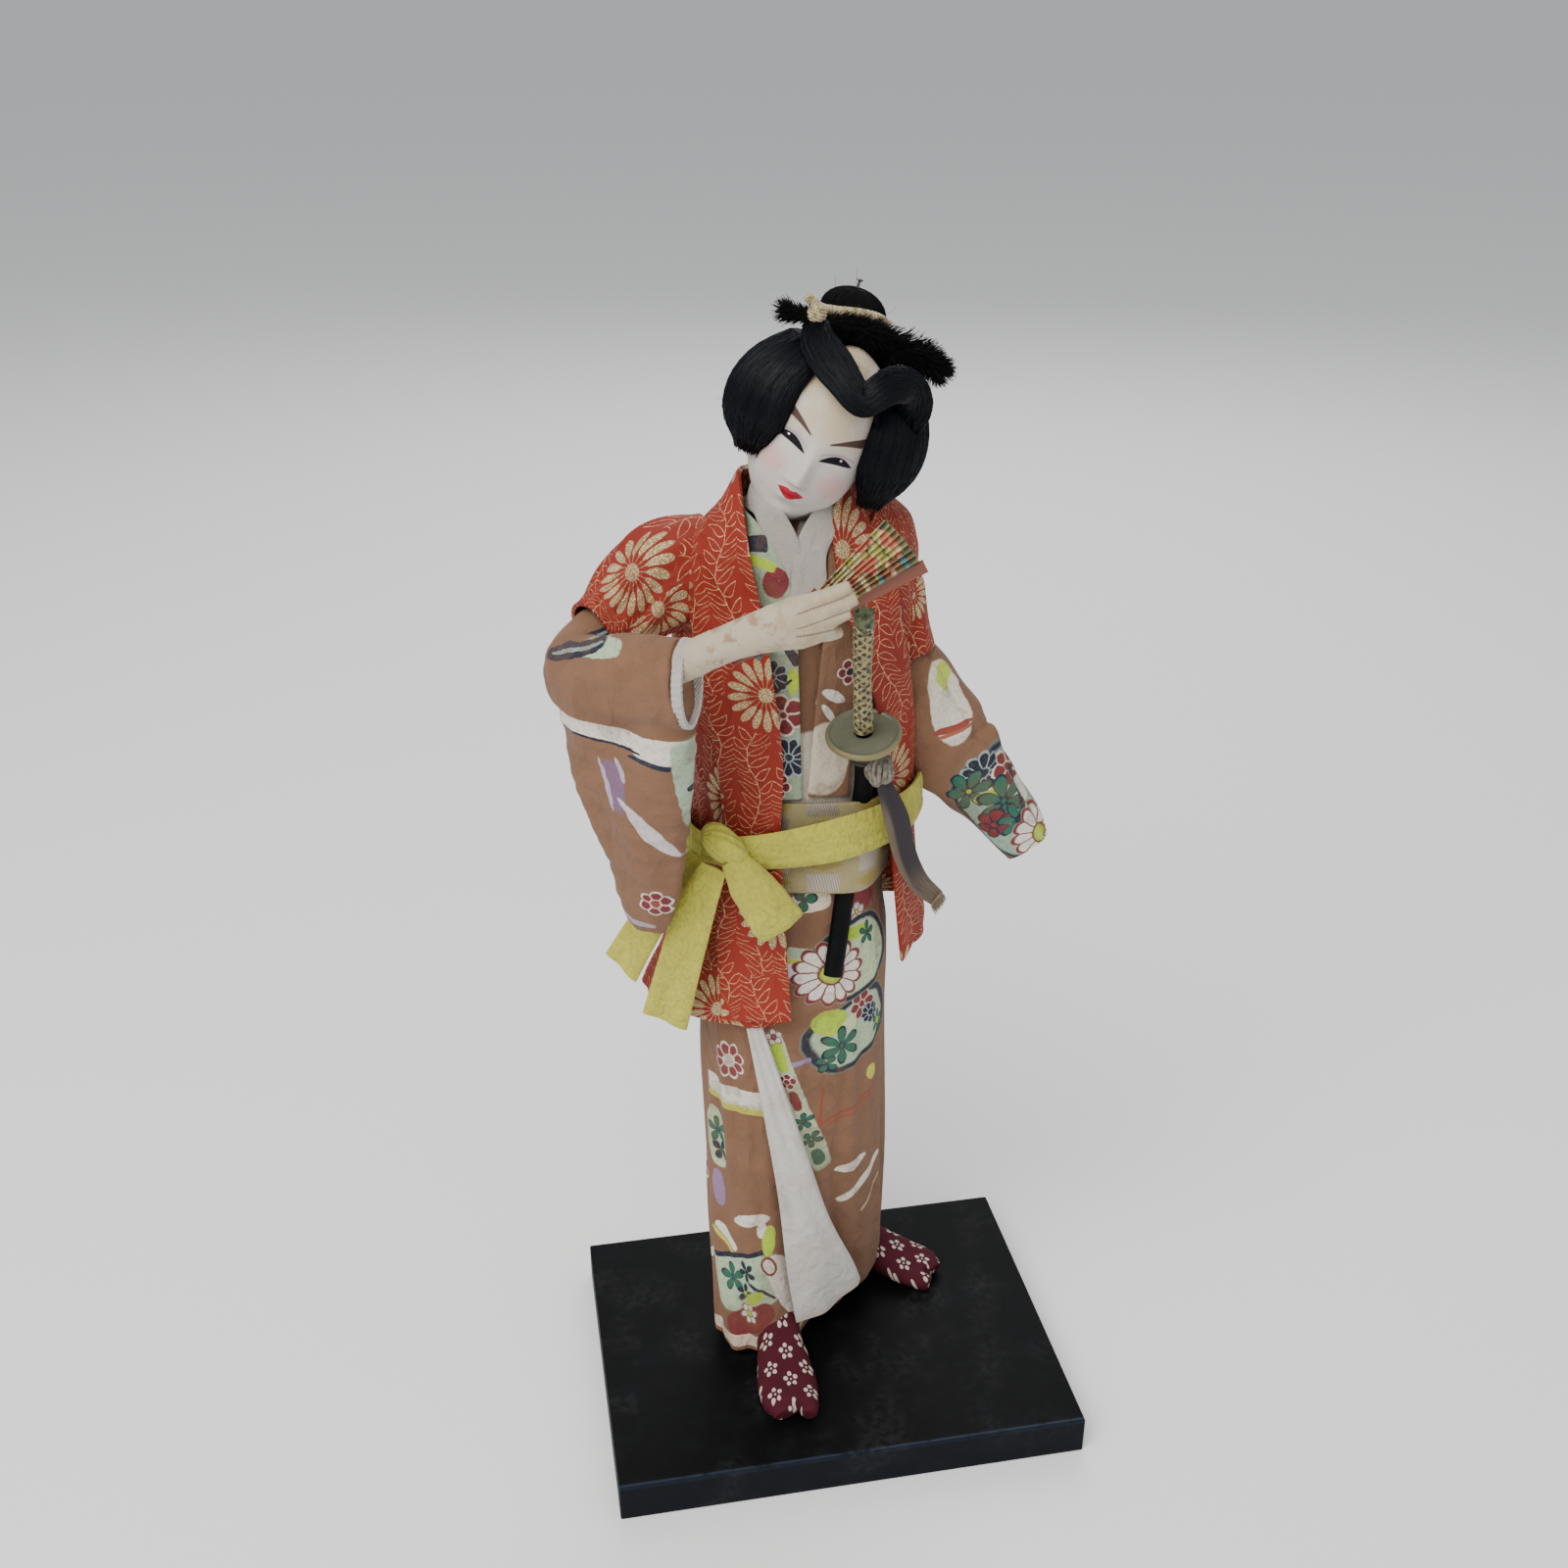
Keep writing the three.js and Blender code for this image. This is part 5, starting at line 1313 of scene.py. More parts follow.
class Value:
    """What a node puts out. Sums and products of values add the Math nodes that work them out"""

    def __init__(self, graph, socket):
        self.graph, self.socket = graph, socket

    def __add__(self, other):
        return self.graph.math("ADD", self, other)

    def __radd__(self, other):
        return self.graph.math("ADD", other, self)

    def __sub__(self, other):
        return self.graph.math("SUBTRACT", self, other)

    def __rsub__(self, other):
        return self.graph.math("SUBTRACT", other, self)

    def __mul__(self, other):
        return self.graph.math("MULTIPLY", self, other)

    def __rmul__(self, other):
        return self.graph.math("MULTIPLY", other, self)

    def __truediv__(self, other):
        return self.graph.math("DIVIDE", self, other)

    def __rtruediv__(self, other):
        return self.graph.math("DIVIDE", other, self)

    def __pow__(self, other):
        return self.graph.math("POWER", self, other)

    def __abs__(self):
        return self.graph.math("ABSOLUTE", self)


class Graph:
    """Writes a shader node tree; a number, a vector or a web colour can stand for a value"""

    def __init__(self, tree):
        self.tree = tree

    def feed(self, socket, value):
        if isinstance(value, Value):
            self.tree.links.new(value.socket, socket)
        elif isinstance(value, str):
            socket.default_value = linear(value)
        elif value is not None:
            socket.default_value = value

    def node(self, kind, feeds, **settings):
        """Adds a node and gives its outputs in order"""
        node = self.tree.nodes.new("ShaderNode" + kind)
        for key, value in settings.items():
            setattr(node, key, value)
        for key, value in feeds.items():
            self.feed(node.inputs[key], value)
        return [Value(self, socket) for socket in node.outputs]

    def math(self, operation, *values):
        return self.node("Math", dict(enumerate(values)), operation=operation)[0]

    def sine(self, value):
        return self.math("SINE", value)

    def length(self, x, y):
        return self.math("SQRT", x * x + y * y)

    def held(self, value):
        """The value kept between 0 and 1"""
        return self.node("Clamp", {0: value})[0]

    def above(self, value, edge, soft=0.02):
        """1 where the value is over the edge, 0 under it, smooth between"""
        ends = {"Value": value, "From Min": edge - soft, "From Max": edge + soft}
        return self.node("MapRange", ends, interpolation_type="SMOOTHSTEP")[0]

    def below(self, value, edge, soft=0.02):
        return 1.0 - self.above(value, edge, soft)

    def near(self, value, middle, reach, soft):
        """1 where the value is within reach of the middle"""
        return self.below(abs(value - middle), reach, soft)

    def both(self, *masks):
        return reduce(lambda a, b: a * b, masks)

    def either(self, *masks):
        return reduce(lambda a, b: self.math("MAXIMUM", a, b), masks)

    def over(self, under, colour, mask):
        """Lays a colour over another where the mask is"""
        return self.node("Mix", {0: mask, 6: under, 7: colour}, data_type="RGBA", clamp_factor=True)[2]

    def shaded(self, name, dark, light, mask):
        """One of the doll's colours, from darker to lighter as the mask grows"""
        return self.over(tint(name, dark), tint(name, light), mask)

    def parts(self, vector):
        return self.node("SeparateXYZ", {0: vector})

    def vector(self, x, y, z=0.0):
        return self.node("CombineXYZ", {0: x, 1: y, 2: z})[0]

    def scaled(self, vector, amount):
        return self.node("VectorMath", {0: vector, "Scale": amount}, operation="SCALE")[0]

    def stretched(self, vector, amounts):
        return self.node("VectorMath", {0: vector, 1: amounts}, operation="MULTIPLY")[0]

    def noise(self, vector, size, detail=2.0, rough=0.5, output=0):
        """Soft noise with features about size across, in the vector's own unit"""
        feeds = {"Vector": vector, "Scale": 1 / size, "Detail": detail, "Roughness": rough}
        return self.node("TexNoise", feeds)[output]

    def moved(self, vector, amount, size):
        """The vector shaken a little, so that drawn lines look hand made"""
        cloud = self.noise(vector, size, 1.0, output=1)
        shake = self.node("VectorMath", {0: cloud, 1: (0.5, 0.5, 0.5)}, operation="SUBTRACT")[0]
        return self.node("VectorMath", {0: vector, 1: self.scaled(shake, amount)}, operation="ADD")[0]

    def bump(self, height, distance, normal=None):
        """Raises the surface by height times distance, in millimetres, over another normal if there is one"""
        return self.node("Bump", {"Height": height, "Distance": distance * MM, "Strength": 1.0, "Normal": normal})[0]

    def creased(self, height, distance, cloth, size, deep):
        """A bumpy surface that lies over the soft creases of handled cloth"""
        handled = self.bump(self.group("creases", cloth=cloth, size=size)["Height"], deep)
        return self.bump(height, distance, normal=handled)

    def group(self, name, **feeds):
        """Places an effect's node group; an input's name is its parameter's"""
        node = self.tree.nodes.new("ShaderNodeGroup")
        node.node_tree = effect(name)
        for key, value in feeds.items():
            self.feed(node.inputs[input_title(key)], value)
        return {socket.name: Value(self, socket) for socket in node.outputs}


EFFECTS = {}


def input_title(parameter):
    return parameter.replace("_", " ").capitalize()


def effect(name):
    """An effect's node group, built the first time that it is asked for"""
    if name not in bpy.data.node_groups:
        tree = bpy.data.node_groups.new(name, "ShaderNodeTree")
        EFFECTS[name](tree)
    return bpy.data.node_groups[name]


def group_effect(*outputs):
    """Turns a function of a graph and inputs into a node group's maker; an input with no default is a vector"""

    def register_effect(make):
        inputs = list(signature(make).parameters.values())[1:]

        def build(tree):
            for each in inputs:
                kind = "NodeSocketVector" if each.default is each.empty else "NodeSocketFloat"
                socket = tree.interface.new_socket(name=input_title(each.name), in_out="INPUT", socket_type=kind)
                if each.default is not each.empty:
                    socket.default_value = each.default
            for title in outputs:
                tree.interface.new_socket(name=title, in_out="OUTPUT", socket_type="NodeSocketFloat")
            graph = Graph(tree)
            entry = tree.nodes.new("NodeGroupInput").outputs
            results = make(graph, *(Value(graph, entry[input_title(each.name)]) for each in inputs))
            leave = tree.nodes.new("NodeGroupOutput")
            for title, value in zip(outputs, results):
                graph.feed(leave.inputs[title], value)

        EFFECTS[make.__name__] = build
        return make

    return register_effect


def local(g, cloth, centre_x, centre_y, turn):
    """Coordinates about a motif's own centre, turned with it"""
    x, y, _ = g.parts(cloth)
    x, y = x - centre_x, y - centre_y
    c, s = g.math("COSINE", turn), g.sine(turn)
    return x * c + y * s, y * c - x * s


def in_petals(g, x, y, radius, petals, turn=0.0):
    """How far out a point is, as a share of the radius, and its angle from the nearest petal's middle line"""
    sector = (g.math("ARCTAN2", y, x) + turn) * petals / (2 * pi)
    return g.length(x, y) / radius, (sector - g.math("ROUND", sector)) * (2 * pi / petals)


@group_effect("Shape", "Lines", "Heart")
def flower(g, cloth, centre_x=0.0, centre_y=0.0, turn=0.0, radius=10.0, petals=8.0, depth=0.3, heart=0.25):
    """A round flower: its outline is scalloped by depth, and 1 parts the petals like leaves"""
    x, y = local(g, cloth, centre_x, centre_y, turn)
    r = g.length(x, y) / radius
    half = g.math("ARCTAN2", y, x) * petals * 0.5
    lobe = abs(g.math("COSINE", half)) ** 0.6
    edge = 1.0 - depth * (1.0 - lobe)
    shape = g.below(r, edge, 0.03)
    rim = g.above(r, edge - 0.12, 0.03)
    parting = g.below(abs(g.math("COSINE", half)) * r, 0.13, 0.05)
    ring_line = g.near(r, heart, 0.06, 0.02)
    lines = g.both(shape, g.either(g.both(g.either(rim, parting), g.above(r, heart)), ring_line))
    return shape, lines, g.below(r, heart, 0.03)


@group_effect("Shape", "Edge")
def panel(g, cloth, centre_x=0.0, centre_y=0.0, turn=0.0, width=10.0, height=6.0, square=2.0, line=0.6):
    """An oval, squarer as square grows, with an edge line of its own width in millimetres"""
    x, y = local(g, cloth, centre_x, centre_y, turn)
    across, up = abs(x / width) ** square, abs(y / height) ** square
    r = (across + up) ** (1.0 / square)
    shape = g.below(r, 1.0, 0.04)
    return shape, g.both(shape, g.above(r, 1.0 - line / height, 0.04))


@group_effect("X", "Y")
def lattice(g, cloth, across=36.0, up=76.0, start_x=0.0, start_y=0.0):
    """Repeats coordinates in columns, every other column half a step higher"""
    x, y, _ = g.parts(cloth)
    column = (x - start_x) / across
    nearest = g.math("ROUND", column)
    row = (y - start_y) / up + g.math("FLOORED_MODULO", nearest, 2.0) * 0.5
    return (column - nearest) * across, (row - g.math("ROUND", row)) * up


@group_effect("Petals", "Near", "Thread")
def chrysanthemum(g, x=0.0, y=0.0, radius=11.0, petals=16.0):
    """Woven chrysanthemum: parted oval petals round a heart, and the slant of its gold thread"""
    r, offset = in_petals(g, x, y, radius, petals)
    along = r - 0.69
    a, b = offset * r / (0.1 + along * 0.1), along / 0.3
    petal = g.below(a * a + b * b, 1.0, 0.15)
    stamen = g.both(g.below(abs(offset), 0.03, 0.015), g.below(r, 0.42), g.above(r, 0.2))
    middle = g.below(r * r * 26.0, 1.0, 0.15)
    thread = g.above(g.sine((y + x * 0.35) * 12.5), -0.2, 0.5)
    return g.either(petal, middle, stamen), g.below(r, 1.08, 0.06), thread


@group_effect("Lines")
def fern(g, x=0.0, y=0.0, pitch=5.0, reach=8.0, line=0.2):
    """A wandering stem with curved leaflets drawn in outline on both sides"""
    away = x - g.sine(y * 0.21) * 2.2
    t = abs(away)
    side = g.above(away, 0.0, 0.01) * (pitch / 2.0)
    row = (y - (t * 0.25 + t * t * 0.06 + side)) / pitch
    off = (row - g.math("ROUND", row)) * pitch
    share = t / reach
    half = g.sine(g.math("MINIMUM", share, 1.0) * 3.1) * pitch * 0.3
    leaflets = g.both(g.near(abs(off), half, line, 0.08), g.below(share, 1.0, 0.02))
    return (g.either(leaflets, g.below(t, line, 0.08)),)


@group_effect("Dots")
def five_dots(g, x=0.0, y=0.0, radius=3.0, turn=0.0):
    """Five dots in a ring round a small one, like a plum blossom"""
    r, offset = in_petals(g, x, y, radius, 5.0, turn)
    a, b = offset * r, r - 0.66
    return (g.either(g.below(a * a + b * b, 0.072, 0.02), g.below(r, 0.13, 0.04)),)


@group_effect("Height")
def creases(g, cloth, size=14.0):
    """Soft creases of handled cloth, a little longer than wide"""
    x, y, _ = g.parts(cloth)
    place = g.vector(x / size, y / (size * 1.6))
    off = abs(g.noise(g.moved(place, 0.5, 0.8), 1.0, 2.0, 0.45) * 2.0 - 1.0)
    return ((1.0 - g.math("MINIMUM", off * 1.6, 1.0)) ** 2.0,)


@group_effect("Height", "Mottle")
def crepe(g, cloth, size=1.0):
    """The fine pebble of crepe, and its uneven dye"""
    fine = g.scaled(cloth, size)
    grain = g.noise(g.stretched(fine, (1.0, 0.45, 1.0)), 0.55, 2.0, 0.6)
    pebble = g.node("TexVoronoi", {"Vector": fine, "Scale": 1 / 0.75, "Randomness": 1.0})[0]
    return grain * 0.6 + pebble * 0.5, g.noise(fine, 9.0, 3.0, 0.6)


@group_effect("Height")
def weave(g, cloth, pitch=0.45):
    """Plain weave: threads over and under each other, pitch apart in millimetres"""
    x, y, _ = g.parts(cloth)
    k = pi / pitch
    a, b = g.sine(x * k), g.sine(y * k)
    lifted = g.above(a * b, 0.0, 0.2)
    return (abs(a) * lifted + abs(b) * (1.0 - lifted),)


@group_effect("Height")
def twill(g, cloth, pitch=0.6, slope=1.0):
    """Slanting ribs, pitch apart"""
    x, y, _ = g.parts(cloth)
    return (abs(g.sine((x + y * slope) / pitch * pi)),)


@group_effect("Stain")
def age(g, point, amount=0.5):
    """Soft stains with a darker tide mark round them, on object coordinates"""
    cloud = g.noise(point, 0.028, 3.0, 0.6)
    stain, tide = g.above(cloud, 0.56, 0.07), g.near(cloud, 0.56, 0.012, 0.01)
    return (amount * (stain * 0.6 + tide * 0.4),)


SOCKETS = {"specular": "Specular IOR Level", "sheen": "Sheen Weight", "metallic": "Metallic", "coat": "Coat Weight"}


def surface(colour, rough, normal, **others):
    """What a finish feeds its shader"""
    return {"Base Color": colour, "Roughness": rough, "Normal": normal, **{SOCKETS[k]: v for k, v in others.items()}}


def finish(name):
    """Makes a material once for each variant, from the function below it"""

    def wrap(make):
        def build(variant=""):
            title = f"{name} {variant}".strip()
            if title not in bpy.data.materials:
                material = bpy.data.materials.new(title)
                material.use_nodes = True
                tree = material.node_tree
                g = Graph(tree)
                cloth = tree.nodes.new("ShaderNodeUVMap")
                cloth.uv_map = "Cloth"
                point = tree.nodes.new("ShaderNodeTexCoord").outputs["Object"]
                values = make(g, Value(g, cloth.outputs[0]), Value(g, point), variant)
                for key, value in values.items():
                    g.feed(tree.nodes["Principled BSDF"].inputs[key], value)
            return bpy.data.materials[title]

        return build

    return wrap


# The painted pictures of the kimono, in millimetres of its cloth, each motif laid over those before it. A blot is
# x y turn width height squareness colour. An edged one has its line's width before its two colours. A flower is
# x y turn radius petals depth heart, then the colours of its petals, lines and heart.

DYES = {
    "navy": "#1d2537", "maroon": "#752b31", "green": "#2c6450", "lime": "#a9c437", "sage": "#a9bd9d",
    "sand": "#ded6c8", "yellow": "#c3c350", "lilac": "#8f7fa8", "rust": "#8f4536",
}

PICTURES = {
    "skirt": """
        blot -2.5 188.3 -0.2 6 2.1 8 sage; blot -2.5 185.4 -0.2 6 0.9 8 yellow
        blot -2.5 181.6 -0.2 6 2.9 8 #dcd6e0; blot -2.5 177.9 -0.2 6 0.9 8 yellow
        blot -3 207.5 0.1 8 3.6 3 #d6c9b2; flower -4 208.6 0.3 4.6 3 1 0.1 green navy green
        blot 19 206 0.2 9 5.5 3 #84393c; flower 17 201 0.4 4.4 5 0.4 0.2 #d9cfc4 maroon lime
        edged 16.5 154 0.42 20 13.5 3 2.2 sage navy; blot 6 160 0.2 6.4 5.4 2 lime
        blot 13 157 0.6 5 3 2 #c8d4a8; flower 9.5 149.5 0.5 8.2 6 1 0.1 green navy green
        flower 4 142.5 0.9 4.2 4 1 0.1 green navy green
        flower 19.5 163.5 0.2 6.6 6 0.45 0.22 maroon #cdbfae maroon
        flower 24 158.5 0.5 5 9 0.3 0.3 navy #a8b2b4 navy; flower 30 152 0.5 5 6 0.9 0.3 green navy lime
        edged 17 183.5 0.3 18 15.5 2.6 2.2 #b9c9a4 navy; blot 16 193.5 0.1 7 2.4 2 lime
        flower 22 192 0.2 4.5 5 1 0.1 green navy green; flower 6.2 180 0.1 13.2 14 0.22 0.3 #e3ddd0 maroon lime
        blot -4.8 145.4 0.03 4.2 1 8 lilac; blot -6.4 127 -1.353 32 3.6 10 #b4c19c
        blot -11 149 -1.353 7 2.2 4 lime; flower -9 138 0.2 3.6 5 0.4 0.3 maroon sand maroon
        blot -6.8 129.6 -1.353 4.6 1.7 3 maroon; flower -4.8 119.6 0.3 4 5 0.8 0.1 green navy green
        flower -2.8 110.6 0.9 4 5 0.8 0.1 green navy lime; blot -1.2 101.6 -1.353 4 2 3 green
        flower -12.6 156.6 0.5 3.6 5 0.6 0.3 #d8cdc0 maroon maroon; blot 24.5 131.5 0.5 3.2 3.6 2 yellow
        blot 14.5 121 0.32 15.5 0.55 6 rust; blot 15.5 119 0.32 14 0.45 6 rust; blot 1.2 124 1.45 9 0.5 6 rust
        blot 11.5 92.6 0.3 6.8 2.3 1.6 sand; blot 16.5 82.5 0.56 13.5 1.9 3 sand
        blot 20 71.5 0.75 9 0.6 6 #c4b58c; flower -32.5 144 0.3 7.6 8 0.35 0.3 #7d3b39 #d9cdc2 #cfc2b4
        blot -33.5 129.4 -0.03 16 3.9 8 sand; blot -33.5 124.6 -0.03 16 1.3 8 yellow
        blot -46.5 107 0.08 5.6 12.5 2.2 #b8c6a2; flower -46 110 0.4 5.6 5 1 0.1 green navy green
        flower -45 102 1 4.8 4 1 0.1 navy green navy; blot -47.5 86 0.06 2.6 7.5 2 #8c7493
        blot -30.5 77 0.2 8.8 2.5 2.2 sand; blot -26 73 -0.2 2.2 3.8 2 sand; blot -45 67 -0.75 6.6 1.7 4 sand
        blot -47 65 -0.75 6.6 0.8 4 yellow; blot -39 49.5 0.16 15.5 11.5 5 sage; blot -39 60.8 0.2 15 1 8 navy
        flower -44 51 0.4 6 5 1 0.1 green navy green; flower -36 54.5 0.8 4.6 5 1 0.2 navy green navy
        flower -38.5 45 0.1 4.6 5 1 0.2 navy green lime; blot -19 45.5 0.3 5.2 17 3 sand
        blot -23.8 68 -0.25 2.7 7.4 2 lime; edged -25.3 57 0.1 3.4 4.4 2 1.2 #d8cfc0 maroon
        blot -30 46.5 -0.6 7 0.7 6 navy; blot -37.5 33.5 0.35 12.5 5.6 3 maroon
        flower -37.5 36.5 0.2 5 6 0.5 0.3 sand maroon lime; blot -34 43.6 0.4 5 2.4 2 lime
        blot -40 24.5 0 26 2.4 8 #d7bfaa; edged 62 150 0.3 18 16 2.4 1.4 sage navy
        flower 58 152 0.4 12.5 14 0.22 0.3 #e0dace maroon lime; flower 74 142 0.4 6 6 1 0.1 green navy green
        blot 66 100 0.4 16 2.2 6 sand; blot 67 96 0.4 16 0.9 6 yellow
        flower 46 72 0.1 7 7 0.4 0.3 maroon sand lime; edged 90 70 -0.2 13 17 2.4 1.4 #b3c3a6 navy
        flower 90 74 0.5 8 6 1 0.1 green navy lime; flower 92 60 0.5 5.5 8 0.45 0.3 maroon sand maroon
        blot 70 40 -0.3 15 1.9 6 sand; edged -84 160 0.3 15 14 2.4 1.4 sage navy
        flower -86 160 0.2 10.5 14 0.22 0.3 #e0dace maroon lime; blot -72 112 0.35 16 2.4 6 sand
        blot -72 108 0.35 16 0.9 6 lilac; flower -72 84 0.1 7 7 0.4 0.3 maroon sand lime
        edged -92 52 0.2 12 13 2.4 1.4 sage navy; flower -92 52 0.3 7.5 6 1 0.1 green navy lime
        blot -68 50 0.5 11 1.6 3 sand
    """,
    "chest": """
        blot 2 252 0.1 17 19 3 #cfc5b3; blot 0 324 0 9 17 4 #b9aea2; blot 5 282 0.6 4.5 2.6 2 sand
        blot 10 276 0.9 7 1.6 2 sand; flower 12 268 0.3 5 5 0.3 0.3 maroon sand navy
    """,
    "collar": """
        blot 0 55 0 9 62 10 #93a58a; blot 3.5 58 0.5 5 4 2 #6a3440
        flower 4 62 0.5 6 7 0.3 0.2 maroon #a891a0 maroon; blot -3.6 52 1.1 5.5 1.5 6 navy
        blot -1 59 1.2 4.4 1.8 2 lime; flower 2.5 43 0.4 6.4 9 0.3 0.2 navy #9fb0ac maroon
        blot -4.2 41.5 0.1 1.8 4.6 2 lime; blot 1.5 38 0.9 0.5 7 6 navy
        flower -0.4 30 0.4 7.6 6 0.3 0.16 maroon #d8cbb8 maroon; blot 4.4 23.5 0.3 2.2 3 2 green
        flower -1.5 15 0.2 7.6 11 0.3 0.16 navy #a4b4b4 navy; flower 3 5 0.2 5 6 0.3 0.2 maroon sand green
        blot -2 74 0.5 4 5 2 maroon; blot 1 82 0.7 6 1.6 6 lime; blot 1 88 0.5 6 2.4 6 navy
        blot -2 230 0.5 4.5 1.8 2 sand; blot -3 236 0.9 4 1.2 2 sand; blot -2 252 0.1 8 13 3 #cbbfa9
        flower 3 222 0.5 4.6 5 0.4 0.3 maroon sand navy
    """,
    "right sleeve": """
        blot -46 310.6 0.16 8 2.2 3 sage; blot -56 308 0.34 12 1.9 3 navy; blot -55 308.6 0.34 10 0.5 3 #8fa09a
        blot -41 283.6 -0.08 22 2.9 5 sand; blot -27 280.6 -0.16 9 4 4 sand; blot -47 281.2 -0.14 14 0.45 6 navy
        blot -28 276.2 -0.16 10 1 3 navy; blot -43.6 266 0.16 3.6 9.2 2 #7b6079
        blot -46.5 266 0.16 0.9 9.6 2 #b3a3bb; blot -41.2 272 0.3 0.8 4.4 2 #b3a3bb
        blot -33.5 250.5 -0.95 11.5 2.7 1.7 #c9bfbf; blot -39 258 -0.8 5.5 0.9 3 #c9bfbf
        flower -37 221 0.3 5.4 6 0.3 0.3 maroon sand rust; blot -46 211 -0.1 7 1.4 3 #a79aa2
        blot -19.4 250 0 4.2 34 12 #a5b8a0; blot -20 252 0.1 2.2 2.6 2 green; blot -20.6 246 0.4 1.9 3.6 2 navy
        blot -21.5 240.5 0.2 2 3 2 navy; blot -20 266 0.4 1.4 2.4 2 navy; blot -22 226 0.1 3 5 3 yellow
        flower -70 262 0.3 7 8 0.4 0.3 maroon sand lime; blot -66 240 0.5 9 1.4 4 sand
    """,
    "left sleeve": """
        blot 4.5 25 0.2 5.6 11 2.4 #d9d2c0; blot 6.6 18.5 -0.5 3.6 2.2 5 #b9c752
        blot 8 22.5 -0.5 3.6 1.5 5 sand; blot 3 30.6 0.2 5.6 0.9 3 rust; blot 3 32 0.2 5.2 0.5 3 #a35c48
        edged 3.5 67 0.1 17 23.5 3 2.4 #8fae97 navy; blot 5 60 0.6 8 4 2 #cdd6c4
        flower 2 49 0.2 7 10 0.3 0.2 navy #93a39f navy; flower 9.4 54.5 0.4 7 6 0.3 0.2 maroon sand maroon
        flower -4 51 0.4 7.6 6 0.8 0.1 green navy lime; blot -1 57 0.5 4.4 2.2 2 lime
        flower 1.5 61.5 0.9 8.6 6 0.8 0.1 green navy green; flower -5 67 0.2 6.4 6 0.3 0.2 maroon navy maroon
        blot 10 64 0.3 3 5 2 #dfe3d6; flower 2 71 0.2 7.6 7 0.8 0.15 green navy navy
        blot 7.5 63 0.35 0.9 9 6 navy; flower 8 83 0.1 14 13 0.22 0.3 #e0dace maroon lime
        flower -22 40 0.1 7 7 0.4 0.3 maroon sand lime; blot 24 48 0.4 7 1.6 4 sand
        flower -22 70 0.3 7 6 1 0.1 green navy lime; blot 24 70 -0.4 7 1.6 4 yellow
    """,
}


def picture(g, cloth, ground, motifs):
    """Paints a picture's motifs over the ground"""
    shaken = g.moved(g.moved(cloth, 0.9, 4.0), 0.35, 1.1)
    uneven = g.noise(cloth, 2.2, 3.0, 0.6)
    patchy = g.above(uneven, 0.28, 0.1)
    colour = ground
    for motif in filter(str.strip, motifs.replace("\n", ";").split(";")):
        kind, *words = motif.split()
        dyes = [DYES.get(word, word) for word in words if word in DYES or word.startswith("#")]
        x, y, turn, *sizes = (float(word) for word in words[: len(words) - len(dyes)])
        place = {"cloth": shaken, "centre_x": x, "centre_y": y, "turn": turn}
        if kind == "flower":
            marks = g.group(kind, **place, **dict(zip(("radius", "petals", "depth", "heart"), sizes)))
            for dye, mask in zip(dyes, (marks["Shape"], marks["Lines"], marks["Heart"] * 0.9)):
                colour = g.over(colour, dye, mask)
            continue
        marks = g.group("panel", **place, **dict(zip(("width", "height", "square", "line"), sizes)))
        colour = g.over(colour, dyes[0], g.both(marks["Shape"], patchy))
        if kind == "edged":
            colour = g.over(colour, dyes[1], marks["Edge"])
    return g.over(colour, ground, g.above(uneven, 0.62, 0.08) * 0.35)


@finish("Crepe")
def kimono_crepe(g, cloth, point, variant):
    grain = g.group("crepe", cloth=cloth)
    wear = g.group("age", point=point, amount=0.6)
    ground = g.shaded("kimono", 0.86, 1.22, grain["Mottle"])
    colour = picture(g, cloth, ground, PICTURES[variant]) if variant in PICTURES else ground
    colour = g.over(colour, "#6b4c36", wear["Stain"] * 0.8)
    # painted shade: the crepe's hollows darker brown
    colour = g.over(colour, "#6a4a38", g.below(grain["Height"], 0.42, 0.2) * 0.3)
    return surface(
        colour, 0.82 + grain["Mottle"] * 0.12, g.creased(grain["Height"], 0.2, cloth, 14.0, 0.8), specular=0.3,
        sheen=0.06
    )


@finish("White cloth")
def white_cloth(g, cloth, point, variant):
    grain = g.group("crepe", cloth=cloth, size=0.9)
    wear = g.group("age", point=point, amount=0.7)
    ground = g.shaded("white", 1.05, 0.85, grain["Mottle"])
    ground = g.over(ground, "#b09a76", wear["Stain"] * 0.5)
    height = grain["Height"]
    if variant == "ribbed":
        height = g.group("twill", cloth=cloth, pitch=0.75, slope=0.5)["Height"]
        # painted shade: the grooves between the ribs greyer
        ground = g.over("#a9a19a", ground, g.above(height, 0.25, 0.25))
    if variant == "collar":
        ground = g.over(ground, "#83776c", 0.62)
    if variant == "pleated edge":
        _, v, _ = g.parts(cloth)
        ground = g.over(ground, "#bfae9c", g.below(v, 28.0, 3.0) * 0.6)
    return surface(
        ground, 0.84 + grain["Mottle"] * 0.1, g.creased(height, 0.26, cloth, 11.0, 0.5), specular=0.3, sheen=0.1
    )


# Where a woven flower's middle falls on each piece of the vest: x, y, how far apart across and up, and its radius
VEST_FLOWERS = {
    "body": (22.0, 246.0, 38.0, 76.0, 12.6), "band": (-8.5, 118.0, 30.0, 78.0, 12.6),
    "right shoulder": (35.0, 21.5, 40.0, 60.0, 12.2), "left shoulder": (6.0, 20.0, 34.0, 52.0, 8.5),
}


